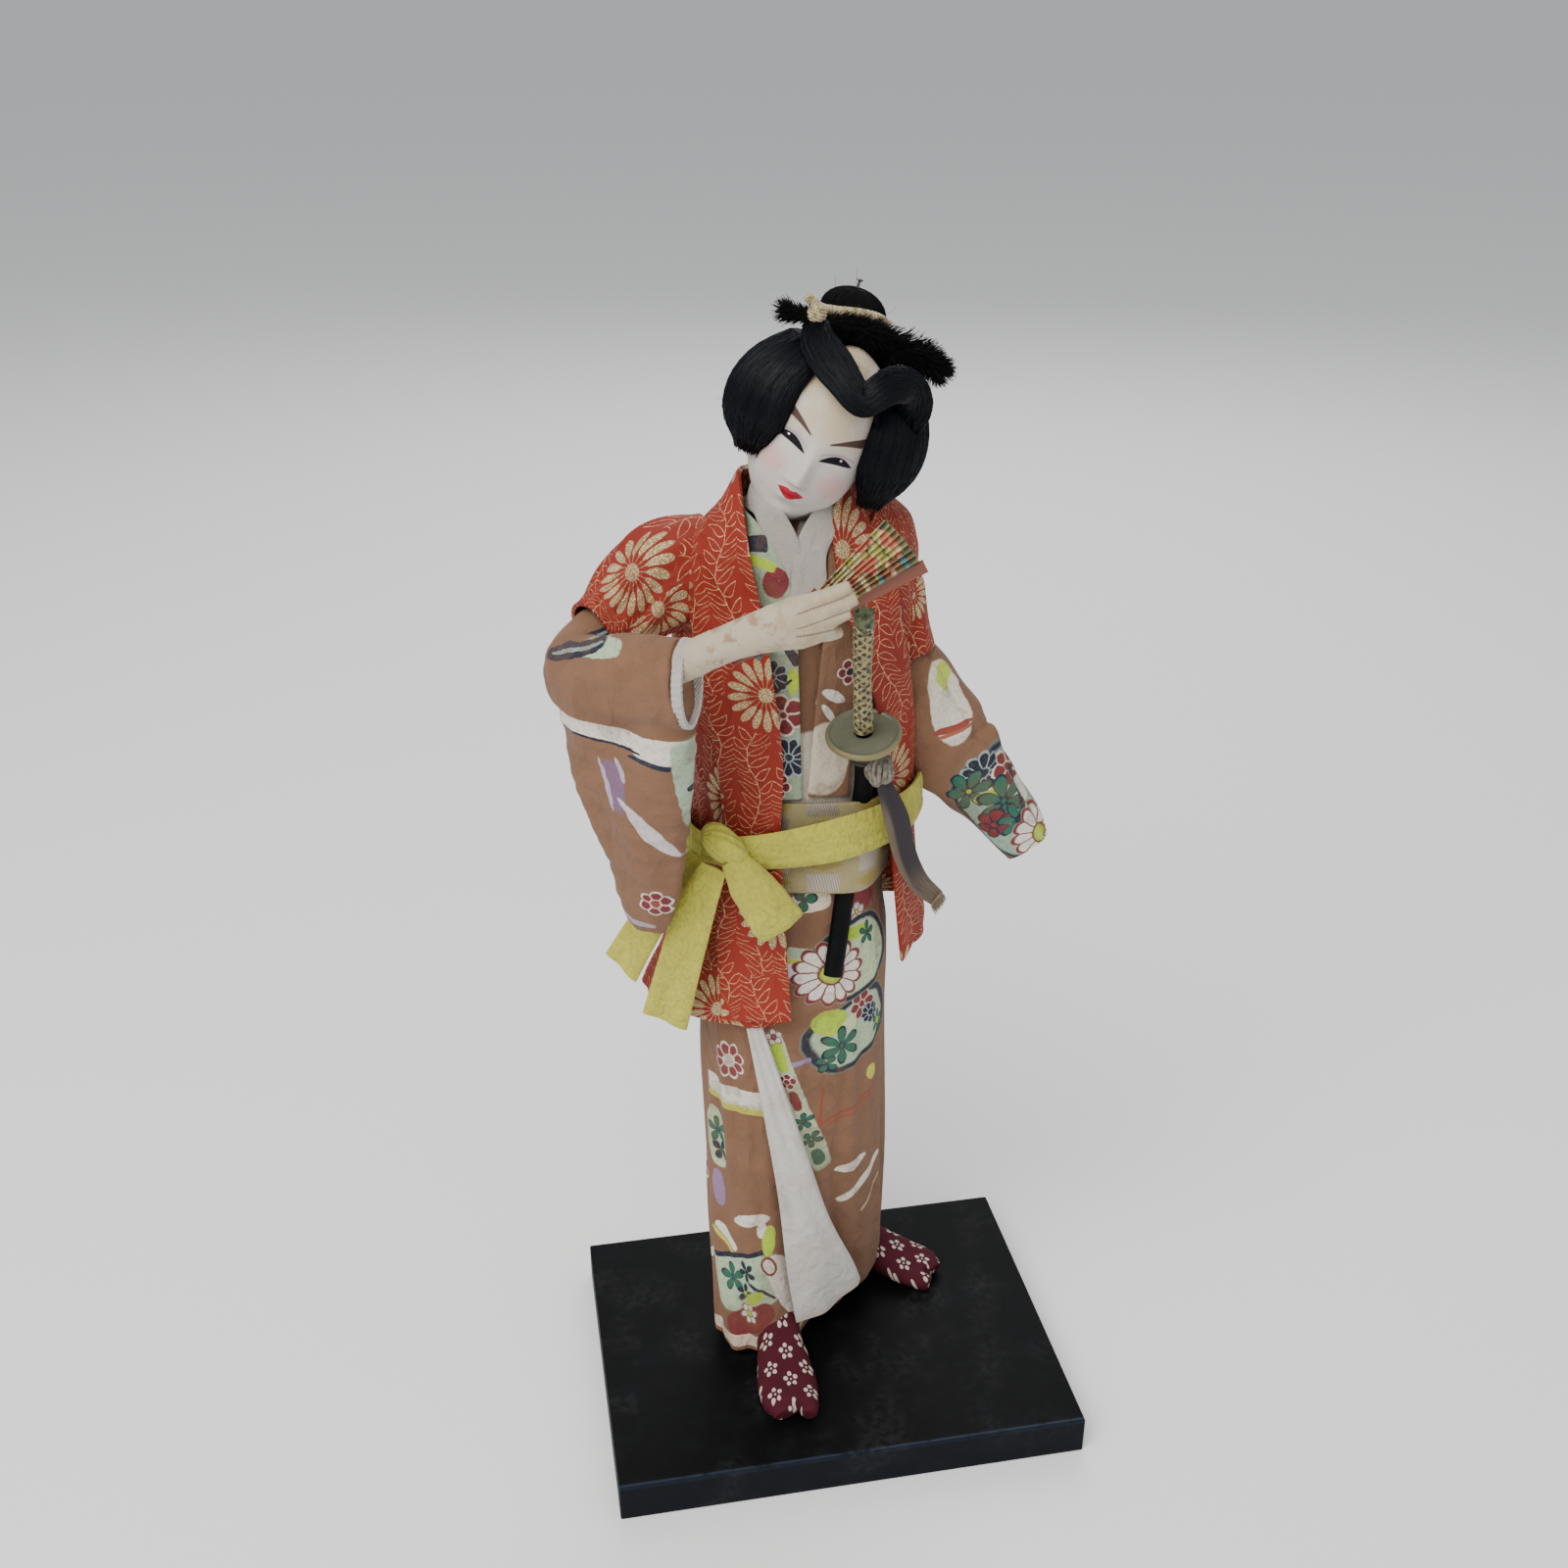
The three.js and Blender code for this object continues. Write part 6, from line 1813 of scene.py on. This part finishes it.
@finish("Vest brocade")
def vest_brocade(g, cloth, point, variant):
    x, y, across, up, radius = VEST_FLOWERS[variant]
    hand = g.moved(cloth, 0.5, 5.0)
    cell = g.group("lattice", cloth=hand, across=across, up=up, start_x=x, start_y=y)
    bloom = g.group("chrysanthemum", X=cell["X"], Y=cell["Y"], radius=radius, petals=17.0)
    swirl = g.moved(cloth, 5.0, 14.0)
    rows = g.group("lattice", cloth=swirl, across=12.4, up=200.0, start_x=x + 7.0, start_y=y)
    vine = g.group("fern", X=rows["X"], Y=rows["Y"], pitch=4.1, reach=6.4, line=0.12)
    rib = g.group("twill", cloth=cloth, pitch=0.5, slope=0.35)
    weft = g.group("weave", cloth=cloth, pitch=0.32)
    worn = g.noise(cloth, 6.0, 4.0, 0.65)
    shade = g.noise(point, 0.03, 2.0)
    ground = g.shaded("vest", 0.8, 1.25, shade)
    # painted shade: the twill's hollows darker red
    ground = g.over(ground, tint("vest", 0.5), g.below(rib["Height"], 0.35, 0.2) * 0.55)
    kept = g.above(worn, 0.36, 0.14)
    # painted highlights: pale sparkles on the gold thread and the vine lines
    glitter = g.above(g.noise(cloth, 0.55, 1.0), 0.53, 0.06)
    lines = g.both(vine["Lines"], 1.0 - bloom["Near"], g.above(worn, 0.3, 0.1))
    petals = g.both(bloom["Petals"], 0.45 + bloom["Thread"] * 0.55, 0.45 + kept * 0.55)
    gold = g.over(g.shaded("gold", 0.62, 1.0, worn), "#f5ecc8", glitter * 0.8)
    colour = g.over(ground, g.over("#c98a5c", "#ecd8a4", glitter), lines * 0.85)
    colour = g.over(colour, gold, petals)
    raised = rib["Height"] * 0.4 + weft["Height"] * 0.2 + petals + lines * 0.7
    return surface(
        colour, 0.66 - g.either(petals, lines * 0.6) * 0.26, g.creased(raised, 0.14, cloth, 12.0, 0.8),
        metallic=g.either(petals, lines * 0.4) * 0.55, specular=0.35
    )


@finish("Vest lining")
def vest_lining(g, cloth, point, variant):
    grain = g.group("weave", cloth=cloth, pitch=0.4)
    tone = g.noise(cloth, 8.0, 3.0)
    return surface(g.over("#6f2419", "#8d3a28", tone), 0.6 + tone * 0.15, g.bump(grain["Height"], 0.06))


@finish("Obi brocade")
def obi_brocade(g, cloth, point, variant):
    cell = g.group("lattice", cloth=g.moved(cloth, 0.5, 3.0), across=13.0, up=14.0, start_x=1.0, start_y=217.0)
    x, y = abs(cell["X"]), abs(cell["Y"])
    square = g.both(g.below(x, 3.9, 0.3), g.below(y, 3.4, 0.3))
    leaf = g.below(x * 0.5 + abs(y - 7.0), 2.6, 0.3)
    fine = g.group("twill", cloth=cloth, pitch=0.62, slope=0.15)
    weft = g.group("weave", cloth=cloth, pitch=0.4)
    tone = g.noise(cloth, 5.0, 4.0, 0.65)
    ground = g.shaded("obi", 0.75, 1.15, tone)
    # painted shade: the twill's hollows darker
    ground = g.over(ground, tint("obi", 0.5), g.below(fine["Height"], 0.3, 0.2) * 0.6)
    thread = g.both(square, g.above(fine["Height"], 0.45, 0.2))
    colour = g.over(ground, "#b9b0ab", thread * 0.85)
    colour = g.over(colour, "#97843f", g.both(leaf, g.above(tone, 0.4, 0.1)))
    return surface(
        colour, 0.62 - thread * 0.25, g.bump(fine["Height"] * 0.6 + weft["Height"] * 0.3 + thread * 0.6, 0.16),
        metallic=thread * 0.6
    )


@finish("Sash crepe")
def sash_crepe(g, cloth, point, variant):
    grain = g.group("crepe", cloth=cloth, size=0.62)
    wear = g.group("age", point=point, amount=0.8)
    soft = g.noise(cloth, 7.0, 4.0, 0.6)
    ground = g.shaded("sash", 0.88, 1.15, soft)
    # painted shade: the crepe's hollows darker
    ground = g.over(ground, tint("sash", 0.55), g.below(grain["Height"], 0.5, 0.25) * 0.45)
    ground = g.over(ground, "#97873f", wear["Stain"] * 0.5)
    return surface(ground, 0.86, g.creased(grain["Height"], 0.4, cloth, 6.0, 0.5), specular=0.3, sheen=0.1)


@finish("Hand cloth")
def hand_cloth(g, cloth, point, variant):
    mm = g.scaled(point, 1 / MM)
    grain = g.group("crepe", cloth=mm, size=1.3)
    x, _, z = g.parts(mm)
    cloud = g.noise(mm, 5.5, 4.0, 0.65)
    wrist = g.both(g.above(x, -47.0, 5.0), g.below(x, -27.0, 6.0), g.above(cloud, 0.56, 0.05))
    grimy = g.both(g.above(x, -22.0, 6.0), g.above(cloud, 0.5, 0.12))
    along = (x + 22.0) / 15.0
    reach = g.both(g.above(along, 0.0, 0.03), g.below(along, 1.0, 0.03))
    stitches = [
        g.near(z, low + along * rise, wide, 0.12)
        for low, rise, wide in ((329.6, 4.6, 0.16), (325.6, 4.2, 0.16), (323.2, 1.6, 0.3))
    ]
    dashes = g.above(g.sine(x * 6.5), -0.5, 0.4)
    seams = g.both(g.either(*stitches), reach, 0.35 + dashes * 0.65)
    colour = g.shaded("hand", 1.08, 0.85, cloud)
    colour = g.over(colour, "#8b6238", wrist * 0.62)
    colour = g.over(colour, "#a68b66", grimy * 0.5)
    colour = g.over(colour, "#75614a", seams * 0.75)
    return surface(colour, 0.8 + cloud * 0.12, g.bump(grain["Height"] + cloud * 0.6 - seams * 3.0, 0.12), sheen=0.1)


@finish("Sock cloth")
def sock_cloth(g, cloth, point, variant):
    grain = g.group("crepe", cloth=cloth, size=0.9)
    cell = g.group("lattice", cloth=g.moved(cloth, 0.5, 3.0), across=6.6, up=9.4, start_x=1.0, start_y=2.0)
    bloom = g.group("five_dots", X=cell["X"], Y=cell["Y"], radius=2.9, turn=0.4)
    tone = g.noise(cloth, 6.0, 3.0)
    ground = g.shaded("socks", 0.75, 1.2, tone)
    colour = g.over(ground, "#cbbdb2", bloom["Dots"] * 0.88)
    return surface(colour, 0.8 + tone * 0.1, g.bump(grain["Height"], 0.14), specular=0.25)


@finish("Painted face")
def face_paint(g, cloth, point, variant):
    x, y, _ = g.parts(cloth)
    side = abs(x)
    share = (side - 2.3) / 10.4
    arch = g.sine(g.held(share) * 3.1416)
    within = g.both(g.above(share, 0.0, 0.01), g.below(share, 1.0, 0.01))
    lid = 0.35 + share * 1.3 + arch * 1.25
    above_lid = y - lid
    thick = arch ** 0.8 * 1.2
    eye = g.both(within, g.below(abs(above_lid), thick, 0.16))
    glint_x, glint_y = side - 8.7, y - 2.6
    glint = g.below(glint_x * glint_x * 0.7 + glint_y * glint_y, 0.09, 0.05)
    crease = g.both(within, g.near(above_lid, 1.75, 0.16, 0.2))
    shadow = g.both(within, g.near(above_lid, 0.8, 1.4, 1.3))
    brow_share = (side - 3.1) / 10.0
    brow_line = 6.0 + brow_share * 3.6 + g.sine(brow_share * 3.1) * 0.5
    brow_half = 0.26 + g.held(brow_share) * 1.3
    brow = g.both(
        g.above(brow_share, 0.0, 0.03), g.below(brow_share, 1.05, 0.12), g.near(y, brow_line, brow_half, 0.24)
    )
    lip = (x + 0.3) / 4.3
    curve = 1.0 - lip * lip
    bow = 1.0 - 0.55 * g.below(abs(lip), 0.2, 0.16)
    top = curve * bow * 0.85 - 12.0
    bottom = -12.15 - g.held(curve) ** 1.4 * 2.35
    mouth = g.both(g.below(abs(lip), 1.0, 0.02), g.below(y, top, 0.12), g.above(y, bottom, 0.12))
    part = g.both(mouth, g.below(abs(y + 12.55), 0.1, 0.1))
    cheek_x, cheek_y = side - 10.0, y + 5.8
    blush = g.below(cheek_x * cheek_x * 0.8 + cheek_y * cheek_y, 14.0, 16.0)
    cloud = g.noise(cloth, 9.0, 4.0, 0.6)
    fine = g.noise(cloth, 1.6, 4.0, 0.7)
    brown = g.both(g.above(y, 6.5, 5.0), g.above(cloud, 0.42, 0.12))
    spots = g.above(g.noise(cloth, 2.6, 2.0), 0.68, 0.04)
    skin = g.shaded("face", 1.04, 0.9, cloud)
    skin = g.over(skin, "#c0a878", brown * 0.62)
    skin = g.over(skin, "#b89a78", spots * 0.4)
    skin = g.over(skin, "#d08e86", blush * 0.5)
    skin = g.over(skin, "#b195a5", shadow * 0.45)
    skin = g.over(skin, "#7a6078", crease * 0.55)
    skin = g.over(skin, "#3a1b1a", brow * 0.95)
    skin = g.over(skin, "#0e0c12", eye)
    skin = g.over(skin, "#f2eeee", g.both(eye, glint))
    skin = g.over(skin, tint("lips"), mouth)
    skin = g.over(skin, "#6d0c1c", part)
    return surface(skin, 0.5 + fine * 0.16 + eye * 0.3 - mouth * 0.15, g.bump(fine + cloud * 0.5, 0.04), specular=0.3)


@finish("Hair body")
def hair_body(g, cloth, point, variant):
    x, y, _ = g.parts(cloth)
    fine = g.noise(g.vector(x * 3.0, y * 0.12), 1.0, 4.0, 0.7)
    return surface(g.shaded("hair", 0.25, 0.7, fine), 0.6, g.bump(fine, 0.25), specular=0.06)


@finish("Hair")
def hair_strand(g, cloth, point, variant):
    tone, _, _ = g.parts(cloth)
    colour = g.shaded("hair", 0.3, 1.0, tone)
    if variant == "bristle":
        return surface(g.over("#050506", "#121113", tone), 0.75, None, specular=0.12)
    return surface(colour, 0.26 + tone * 0.22, None, specular=0.16)


@finish("Gilt braid")
def gilt_braid(g, cloth, point, variant):
    x, y, _ = g.parts(cloth)
    k = 2.1
    a = g.sine((y + x * 0.9) * k)
    b = g.sine((y - x * 0.9) * k)
    crossing = g.either(a, b)
    mm = g.scaled(point, 1 / MM)
    patch = g.noise(mm, 1.6, 3.0, 0.7)
    thread = g.group("twill", cloth=mm, pitch=0.34, slope=1.0)
    colour = g.over("#3e3a26", "#a9a27c", g.above(crossing, 0.35, 0.5))
    colour = g.over(colour, "#4c4129", g.below(patch, 0.44, 0.06) * 0.75)
    colour = g.over(colour, tint("gold", 1.1), g.above(patch, 0.58, 0.04) * 0.85)
    if variant == "grey":
        colour = g.over("#6f6658", "#a39a8c", g.above(patch, 0.5, 0.15))
    if variant == "cream":
        colour = g.over("#8f7f4c", "#cfc3a0", g.above(patch, 0.45, 0.12))
        colour = g.over(colour, "#b8867c", g.above(patch, 0.63, 0.03) * 0.7)
    return surface(colour, 0.38 + patch * 0.2, g.bump(crossing * 0.8 + thread["Height"], 0.16), metallic=0.35)


@finish("Dark cord")
def dark_cord(g, cloth, point, variant):
    mm = g.scaled(point, 1 / MM)
    rib = g.group("twill", cloth=mm, pitch=0.4, slope=1.0)
    return surface(g.over("#2b2428", "#4b4048", g.noise(mm, 1.5, 3.0)), 0.75, g.bump(rib["Height"], 0.12))


@finish("Ribbon")
def ribbon_cloth(g, cloth, point, variant):
    x, y, _ = g.parts(cloth)
    streak = g.noise(g.vector(x * 2.6, y * 0.12), 1.0, 3.0, 0.6)
    worn = g.both(g.above(y, 42.0, 8.0), g.above(streak, 0.4, 0.15))
    rib = g.group("weave", cloth=cloth, pitch=0.3)
    colour = g.shaded("ribbon", 0.6, 1.5, streak)
    colour = g.over(colour, "#6f604b", g.either(worn, g.both(g.below(x, -2.2, 0.8), g.above(y, 8.0, 6.0))) * 0.85)
    if variant == "frayed":
        colour = g.over("#6f604b", "#9a8a6c", g.noise(point, 0.002, 2.0))
    return surface(colour, 0.55 + streak * 0.25, g.bump(rib["Height"] + streak * 0.8, 0.1))


@finish("Fan paper")
def fan_paper(g, cloth, point, variant):
    x, y, _ = g.parts(cloth)
    cloud = g.noise(g.moved(cloth, 1.5, 4.0), 5.2, 2.0, 0.5)
    other = g.noise(cloth, 6.5, 2.0, 0.5)
    fold = abs(g.sine(x * 1.675))
    colour = g.over("#b3a76a", "#d9d1ae", other)
    colour = g.over(colour, "#a9a54c", g.above(cloud, 0.56, 0.02))
    colour = g.over(colour, tint("fan"), g.below(cloud, 0.47, 0.02) * 0.9)
    teal = g.both(g.above(other, 0.56, 0.02), g.above(y, 40.0, 1.0))
    colour = g.over(colour, "#3c8285", teal)
    edge = g.near(other, 0.56, 0.012, 0.01)
    colour = g.over(colour, "#33342a", edge * 0.8)
    stripes = g.above(g.sine(x * 5.2), 0.0, 0.3)
    band = g.both(g.below(x, 4.6, 0.2), g.above(g.sine(y * 1.5), -0.4, 0.3))
    colour = g.over(colour, g.over("#8f2c24", "#3a352a", stripes), band * 0.8)
    rim = g.either(g.above(y, 50.8, 0.4), g.both(g.above(y, 46.4, 0.2), g.below(y, 47.0, 0.2)))
    colour = g.over(colour, "#5b5a38", rim * 0.8)
    # painted shade along the pleat folds
    colour = g.over(colour, "#6d6236", g.below(fold, 0.2, 0.12) * 0.35)
    return surface(colour, 0.62 + cloud * 0.15, g.bump(cloud, 0.08))


@finish("Fan wood")
def fan_wood(g, cloth, point, variant):
    x, y, _ = g.parts(cloth)
    streak = g.noise(g.vector(x * 2.4, y * 0.1), 1.0, 4.0, 0.65)
    return surface(g.shaded("wood", 0.6, 1.2, streak), 0.32 + streak * 0.25, g.bump(streak, 0.05), coat=0.2)


@finish("Sword metal")
def sword_metal(g, cloth, point, variant):
    mm = g.scaled(point, 1 / MM)
    cloud = g.noise(mm, 1.8, 4.0, 0.7)
    colour = g.over("#16211b", "#6c7250", g.above(cloud, 0.5, 0.14))
    metal = 0.4
    if variant == "guard":
        _, along, _ = g.parts(cloth)
        rim = g.both(g.above(along, 11.4, 0.2), g.below(along, 13.6, 0.2))
        wide = g.noise(mm, 7.0, 4.0, 0.6)
        colour = g.over("#5c5e4c", "#80826e", wide)
        colour = g.over(colour, "#8d7f48", g.both(rim, g.above(cloud, 0.36, 0.1)) * 0.75)
    return surface(colour, 0.38 + cloud * 0.28, g.bump(cloud, 0.06), metallic=metal)


@finish("Pin metal")
def pin_metal(g, cloth, point, variant):
    cloud = g.noise(point, 0.001, 3.0)
    return surface(g.over("#2f2f31", "#77777a", cloud), 0.25 + cloud * 0.2, None, metallic=0.9)


@finish("Lacquer")
def lacquer(g, cloth, point, variant):
    scuff = g.noise(point, 0.012, 5.0, 0.65)
    stretched = g.stretched(point, (1.0, 9.0, 9.0))
    fine = g.noise(stretched, 0.004, 3.0)
    _, y, z = g.parts(point)
    colour = g.shaded("lacquer", 1.0, 3.2, g.above(scuff, 0.56, 0.1) * 0.5)
    if variant == "board":
        # painted sheen and wear on the top front edge: a bluish band, broken into patches
        front = g.near(z, 0.0146, 0.0007, 0.0004)
        worn = g.both(front, g.below(y, -0.0615, 0.0006), g.above(scuff, 0.4, 0.12))
        colour = g.over(colour, "#303a4a", worn * 0.9)
        colour = g.over(colour, "#0a0e18", g.below(y, -0.0622, 0.0004) * 0.8)
        dust = g.both(g.above(g.noise(point, 0.0016, 2.0), 0.77, 0.03), g.above(scuff, 0.5, 0.1))
        smudge = g.both(g.above(g.noise(point, 0.02, 2.0), 0.6, 0.12), g.above(g.noise(point, 0.003, 4.0), 0.5, 0.2))
        colour = g.over(colour, "#4a4a4c", g.either(dust * 0.3, smudge * 0.14))
    return surface(colour, 0.42 + scuff * 0.24 + fine * 0.08, g.bump(scuff * 0.7 + fine, 0.05), specular=0.1)


# Settings, operators and panel


def shade(name, description, value):
    """A colour property with a web colour as its default"""
    return bpy.props.FloatVectorProperty(
        name=name, description=description, size=3, min=0.0, max=1.0, subtype="COLOR", default=linear(value)[:3]
    )


def length(name, description, value, least):
    return bpy.props.FloatProperty(
        name=name, description=description, default=value, min=least, unit="LENGTH", subtype="DISTANCE"
    )


def number(name, description, value):
    return bpy.props.IntProperty(name=name, description=description, default=value, min=10)


class DollColours(bpy.types.PropertyGroup):
    """The main colour of each finish; the motifs keep their own"""

    lacquer: shade("Lacquer", "Black lacquer of the board and the scabbard", "#060708")
    socks: shade("Socks", "Ground of the printed sock cloth", "#470f1d")
    kimono: shade("Kimono", "Ground of the painted crepe", "#7b5a44")
    white: shade("White cloth", "Linings, under collar and cuff", "#cdc8c2")
    vest: shade("Vest", "Red ground of the brocade", "#8c2415")
    gold: shade("Gold", "Metallic thread and gilt braid", "#c2a869")
    obi: shade("Obi", "Ground of the obi's brocade", "#a39668")
    sash: shade("Sash", "Yellow-green crepe of the sash", "#b8b348")
    hand: shade("Hand", "Cloth of the hand and the forearm", "#b8ab93")
    face: shade("Face", "Painted white of the face and the neck", "#cbc2bb")
    lips: shade("Lips", "Red of the mouth", "#a5142a")
    hair: shade("Hair", "Blue-black of the silk hair", "#0c0f17")
    ribbon: shade("Ribbon", "Plum of the sword's ribbon", "#2b2127")
    fan: shade("Fan", "Coral clouds on the fan's paper", "#bd5a49")
    wood: shade("Wood", "Brown of the fan's sticks", "#7c4026")


class BoardSizes(bpy.types.PropertyGroup):
    """The lacquered board's size"""

    width: length("Width", "Left to right", 0.17, 0.01)
    depth: length("Depth", "Front to back", 0.126, 0.01)
    height: length("Height", "Thickness of the board", 0.015, 0.002)
    edge: length("Edge", "Width of the eased edge", 0.0008, 0.0001)


class HairSettings(bpy.types.PropertyGroup):
    """How many hairs the wig has"""

    cap: number("Cap hairs", "Hairs combed up over the wig cap", 1500)
    lock: number("Lock hairs", "Hairs in each side lock", 1300)
    forelock: number("Forelock hairs", "Hairs in the forelock", 850)
    tuft: number("Tuft bristles", "Bristles in the tuft on the crown", 6000)
    bun: number("Bun hairs", "Hairs wound over the bun", 600)
    strays: number("Stray hairs", "Single hairs that stand off the wig", 90)


class DOLL_OT_stage(bpy.types.Operator):
    """Sets the floor, the lights and the camera of the photograph's view"""

    bl_idname = "doll.stage"
    bl_label = "Stage"

    def execute(self, context):
        make_stage()
        return {"FINISHED"}


class DOLL_OT_board(bpy.types.Operator):
    """Makes the lacquered board"""

    bl_idname = "doll.board"
    bl_label = "Board"

    def execute(self, context):
        make_board(context.scene.doll_board, lacquer("board"))
        return {"FINISHED"}


class DOLL_OT_socks(bpy.types.Operator):
    """Makes the split-toed socks"""

    bl_idname = "doll.socks"
    bl_label = "Socks"

    def execute(self, context):
        for side in FEET:
            make_sock(side, sock_cloth())
        return {"FINISHED"}


class DOLL_OT_kimono(bpy.types.Operator):
    """Makes the kimono: its chest, skirt, turned-back lining and collars"""

    bl_idname = "doll.kimono"
    bl_label = "Kimono"

    def execute(self, context):
        make_chest(kimono_crepe("chest"))
        make_skirt(kimono_crepe("skirt"), white_cloth())
        make_flap(white_cloth("pleated edge"))
        make_collars(kimono_crepe("collar"), white_cloth("collar"))
        return {"FINISHED"}


class DOLL_OT_sleeves(bpy.types.Operator):
    """Makes the kimono's two sleeves and the white cuff"""

    bl_idname = "doll.sleeves"
    bl_label = "Kimono sleeves"

    def execute(self, context):
        make_right_sleeve(kimono_crepe("right sleeve"), white_cloth("ribbed"))
        make_left_sleeve(kimono_crepe("left sleeve"))
        return {"FINISHED"}


class DOLL_OT_hand(bpy.types.Operator):
    """Makes the sewn cloth hand"""

    bl_idname = "doll.hand"
    bl_label = "Hand"

    def execute(self, context):
        make_hand(hand_cloth())
        return {"FINISHED"}


class DOLL_OT_vest(bpy.types.Operator):
    """Makes the brocade vest with its shoulders and collar band"""

    bl_idname = "doll.vest"
    bl_label = "Vest"

    def execute(self, context):
        make_vest(vest_brocade, vest_lining())
        make_band(vest_brocade("band"))
        return {"FINISHED"}


class DOLL_OT_belts(bpy.types.Operator):
    """Makes the obi and the crepe sash with its knot, loop and two tails"""

    bl_idname = "doll.belts"
    bl_label = "Obi and sash"

    def execute(self, context):
        make_obi(obi_brocade())
        make_sash(sash_crepe())
        return {"FINISHED"}


class DOLL_OT_sword(bpy.types.Operator):
    """Makes the sword, its cords and its ribbon"""

    bl_idname = "doll.sword"
    bl_label = "Sword"

    def execute(self, context):
        make_sword(gilt_braid(), lacquer(), sword_metal(), sword_metal("guard"))
        make_cords(gilt_braid("grey"), ribbon_cloth, dark_cord())
        return {"FINISHED"}


class DOLL_OT_fan(bpy.types.Operator):
    """Makes the half-closed fan"""

    bl_idname = "doll.fan"
    bl_label = "Fan"

    def execute(self, context):
        make_fan(fan_paper(), fan_wood(), pin_metal())
        return {"FINISHED"}


class DOLL_OT_head(bpy.types.Operator):
    """Makes the painted head and neck"""

    bl_idname = "doll.head"
    bl_label = "Head"

    def execute(self, context):
        make_head(face_paint())
        return {"FINISHED"}


class DOLL_OT_wig(bpy.types.Operator):
    """Makes the wig: cap, side locks, forelock, tuft and topknot with its cord"""

    bl_idname = "doll.wig"
    bl_label = "Wig"

    def execute(self, context):
        counts = context.scene.doll_hair
        make_wig(hair_body(), hair_strand(), counts.cap)
        make_side_locks(hair_body(), hair_strand(), counts.lock)
        make_forelock(hair_body(), hair_strand(), counts.forelock)
        make_tuft(hair_strand("bristle"), counts.tuft)
        make_topknot(hair_body(), hair_strand("bristle"), gilt_braid("cream"), pin_metal(), counts.bun)
        make_strays(hair_strand(), counts.strays)
        return {"FINISHED"}


STEPS = (
    DOLL_OT_stage, DOLL_OT_board, DOLL_OT_socks, DOLL_OT_kimono, DOLL_OT_vest, DOLL_OT_sleeves, DOLL_OT_hand,
    DOLL_OT_belts, DOLL_OT_sword, DOLL_OT_fan, DOLL_OT_head, DOLL_OT_wig,
)


class VIEW3D_PT_doll(bpy.types.Panel):
    """Lists the steps that make the doll"""

    bl_idname = "VIEW3D_PT_doll"
    bl_label = "Doll"
    bl_space_type = "VIEW_3D"
    bl_region_type = "UI"
    bl_category = "Doll"

    def draw(self, context):
        for settings in (context.scene.doll_board, context.scene.doll_hair, context.scene.doll_colours):
            box = self.layout.box()
            for key in settings.__annotations__:
                box.prop(settings, key)
        for step in STEPS:
            self.layout.operator(step.bl_idname)


CLASSES = (BoardSizes, HairSettings, DollColours, *STEPS, VIEW3D_PT_doll)


def register():
    for kind in CLASSES:
        bpy.utils.register_class(kind)
    bpy.types.Scene.doll_board = bpy.props.PointerProperty(type=BoardSizes)
    bpy.types.Scene.doll_hair = bpy.props.PointerProperty(type=HairSettings)
    bpy.types.Scene.doll_colours = bpy.props.PointerProperty(type=DollColours)


def unregister():
    del bpy.types.Scene.doll_colours
    del bpy.types.Scene.doll_hair
    del bpy.types.Scene.doll_board
    for kind in reversed(CLASSES):
        bpy.utils.unregister_class(kind)


def make_stage():
    bpy.ops.object.select_all(action="DESELECT")
    bpy.ops.mesh.primitive_plane_add(size=80)
    floor = bpy.context.object
    floor.name = "floor"
    paint = bpy.data.materials.new("Floor")
    paint.use_nodes = True
    shader = paint.node_tree.nodes["Principled BSDF"].inputs
    shader["Base Color"].default_value = linear("#fafafa")
    shader["Roughness"].default_value = 0.9
    dress(floor, paint)

    camera = bpy.data.objects.new("camera", bpy.data.cameras.new("camera"))
    bpy.context.scene.collection.objects.link(camera)
    # The photograph's view: the picture's right, down and forward directions, and where the camera stands
    right = Vector((0.98304247, -0.18337226, 0.00145756))
    down = Vector((-0.07895369, -0.43041096, -0.89917335))
    ahead = Vector((0.16551079, 0.88381051, -0.43759017))
    turn = Matrix((right, -down, -ahead)).transposed().to_4x4()
    turn.translation = Vector((-105.825, -482.949, 490.259)) * MM
    camera.matrix_world = turn
    camera.data.lens = 38.53
    camera.data.sensor_width = 36
    camera.data.clip_start = 0.01
    bpy.context.scene.camera = camera

    aim = Vector((0, 0, 0.2))
    for name, place, size, energy, colour in (
        ("key", (-0.8, -0.9, 1.6), 1.3, 40, (1.0, 0.98, 0.95)),
        ("fill", (1.4, -0.9, 0.8), 1.8, 4, (0.94, 0.97, 1.0)),
        ("back", (0.4, 1.3, 1.3), 1.2, 12, (1.0, 1.0, 1.0)),
    ):
        light = bpy.data.lights.new(name, "AREA")
        light.size, light.energy, light.color = size, energy, colour
        lamp = bpy.data.objects.new(name, light)
        lamp.location = place
        lamp.rotation_euler = (aim - Vector(place)).to_track_quat("-Z", "Y").to_euler()
        bpy.context.scene.collection.objects.link(lamp)
    world = bpy.data.worlds.new("studio")
    world.use_nodes = True
    sky = world.node_tree.nodes["Background"].inputs
    sky["Color"].default_value = (0.96, 0.98, 1.0, 1)
    sky["Strength"].default_value = 0.5
    bpy.context.scene.world = world


def main():
    register()
    for step in STEPS:
        family, name = step.bl_idname.split(".")
        getattr(getattr(bpy.ops, family), name)()


if __name__ == "__main__":
    main()
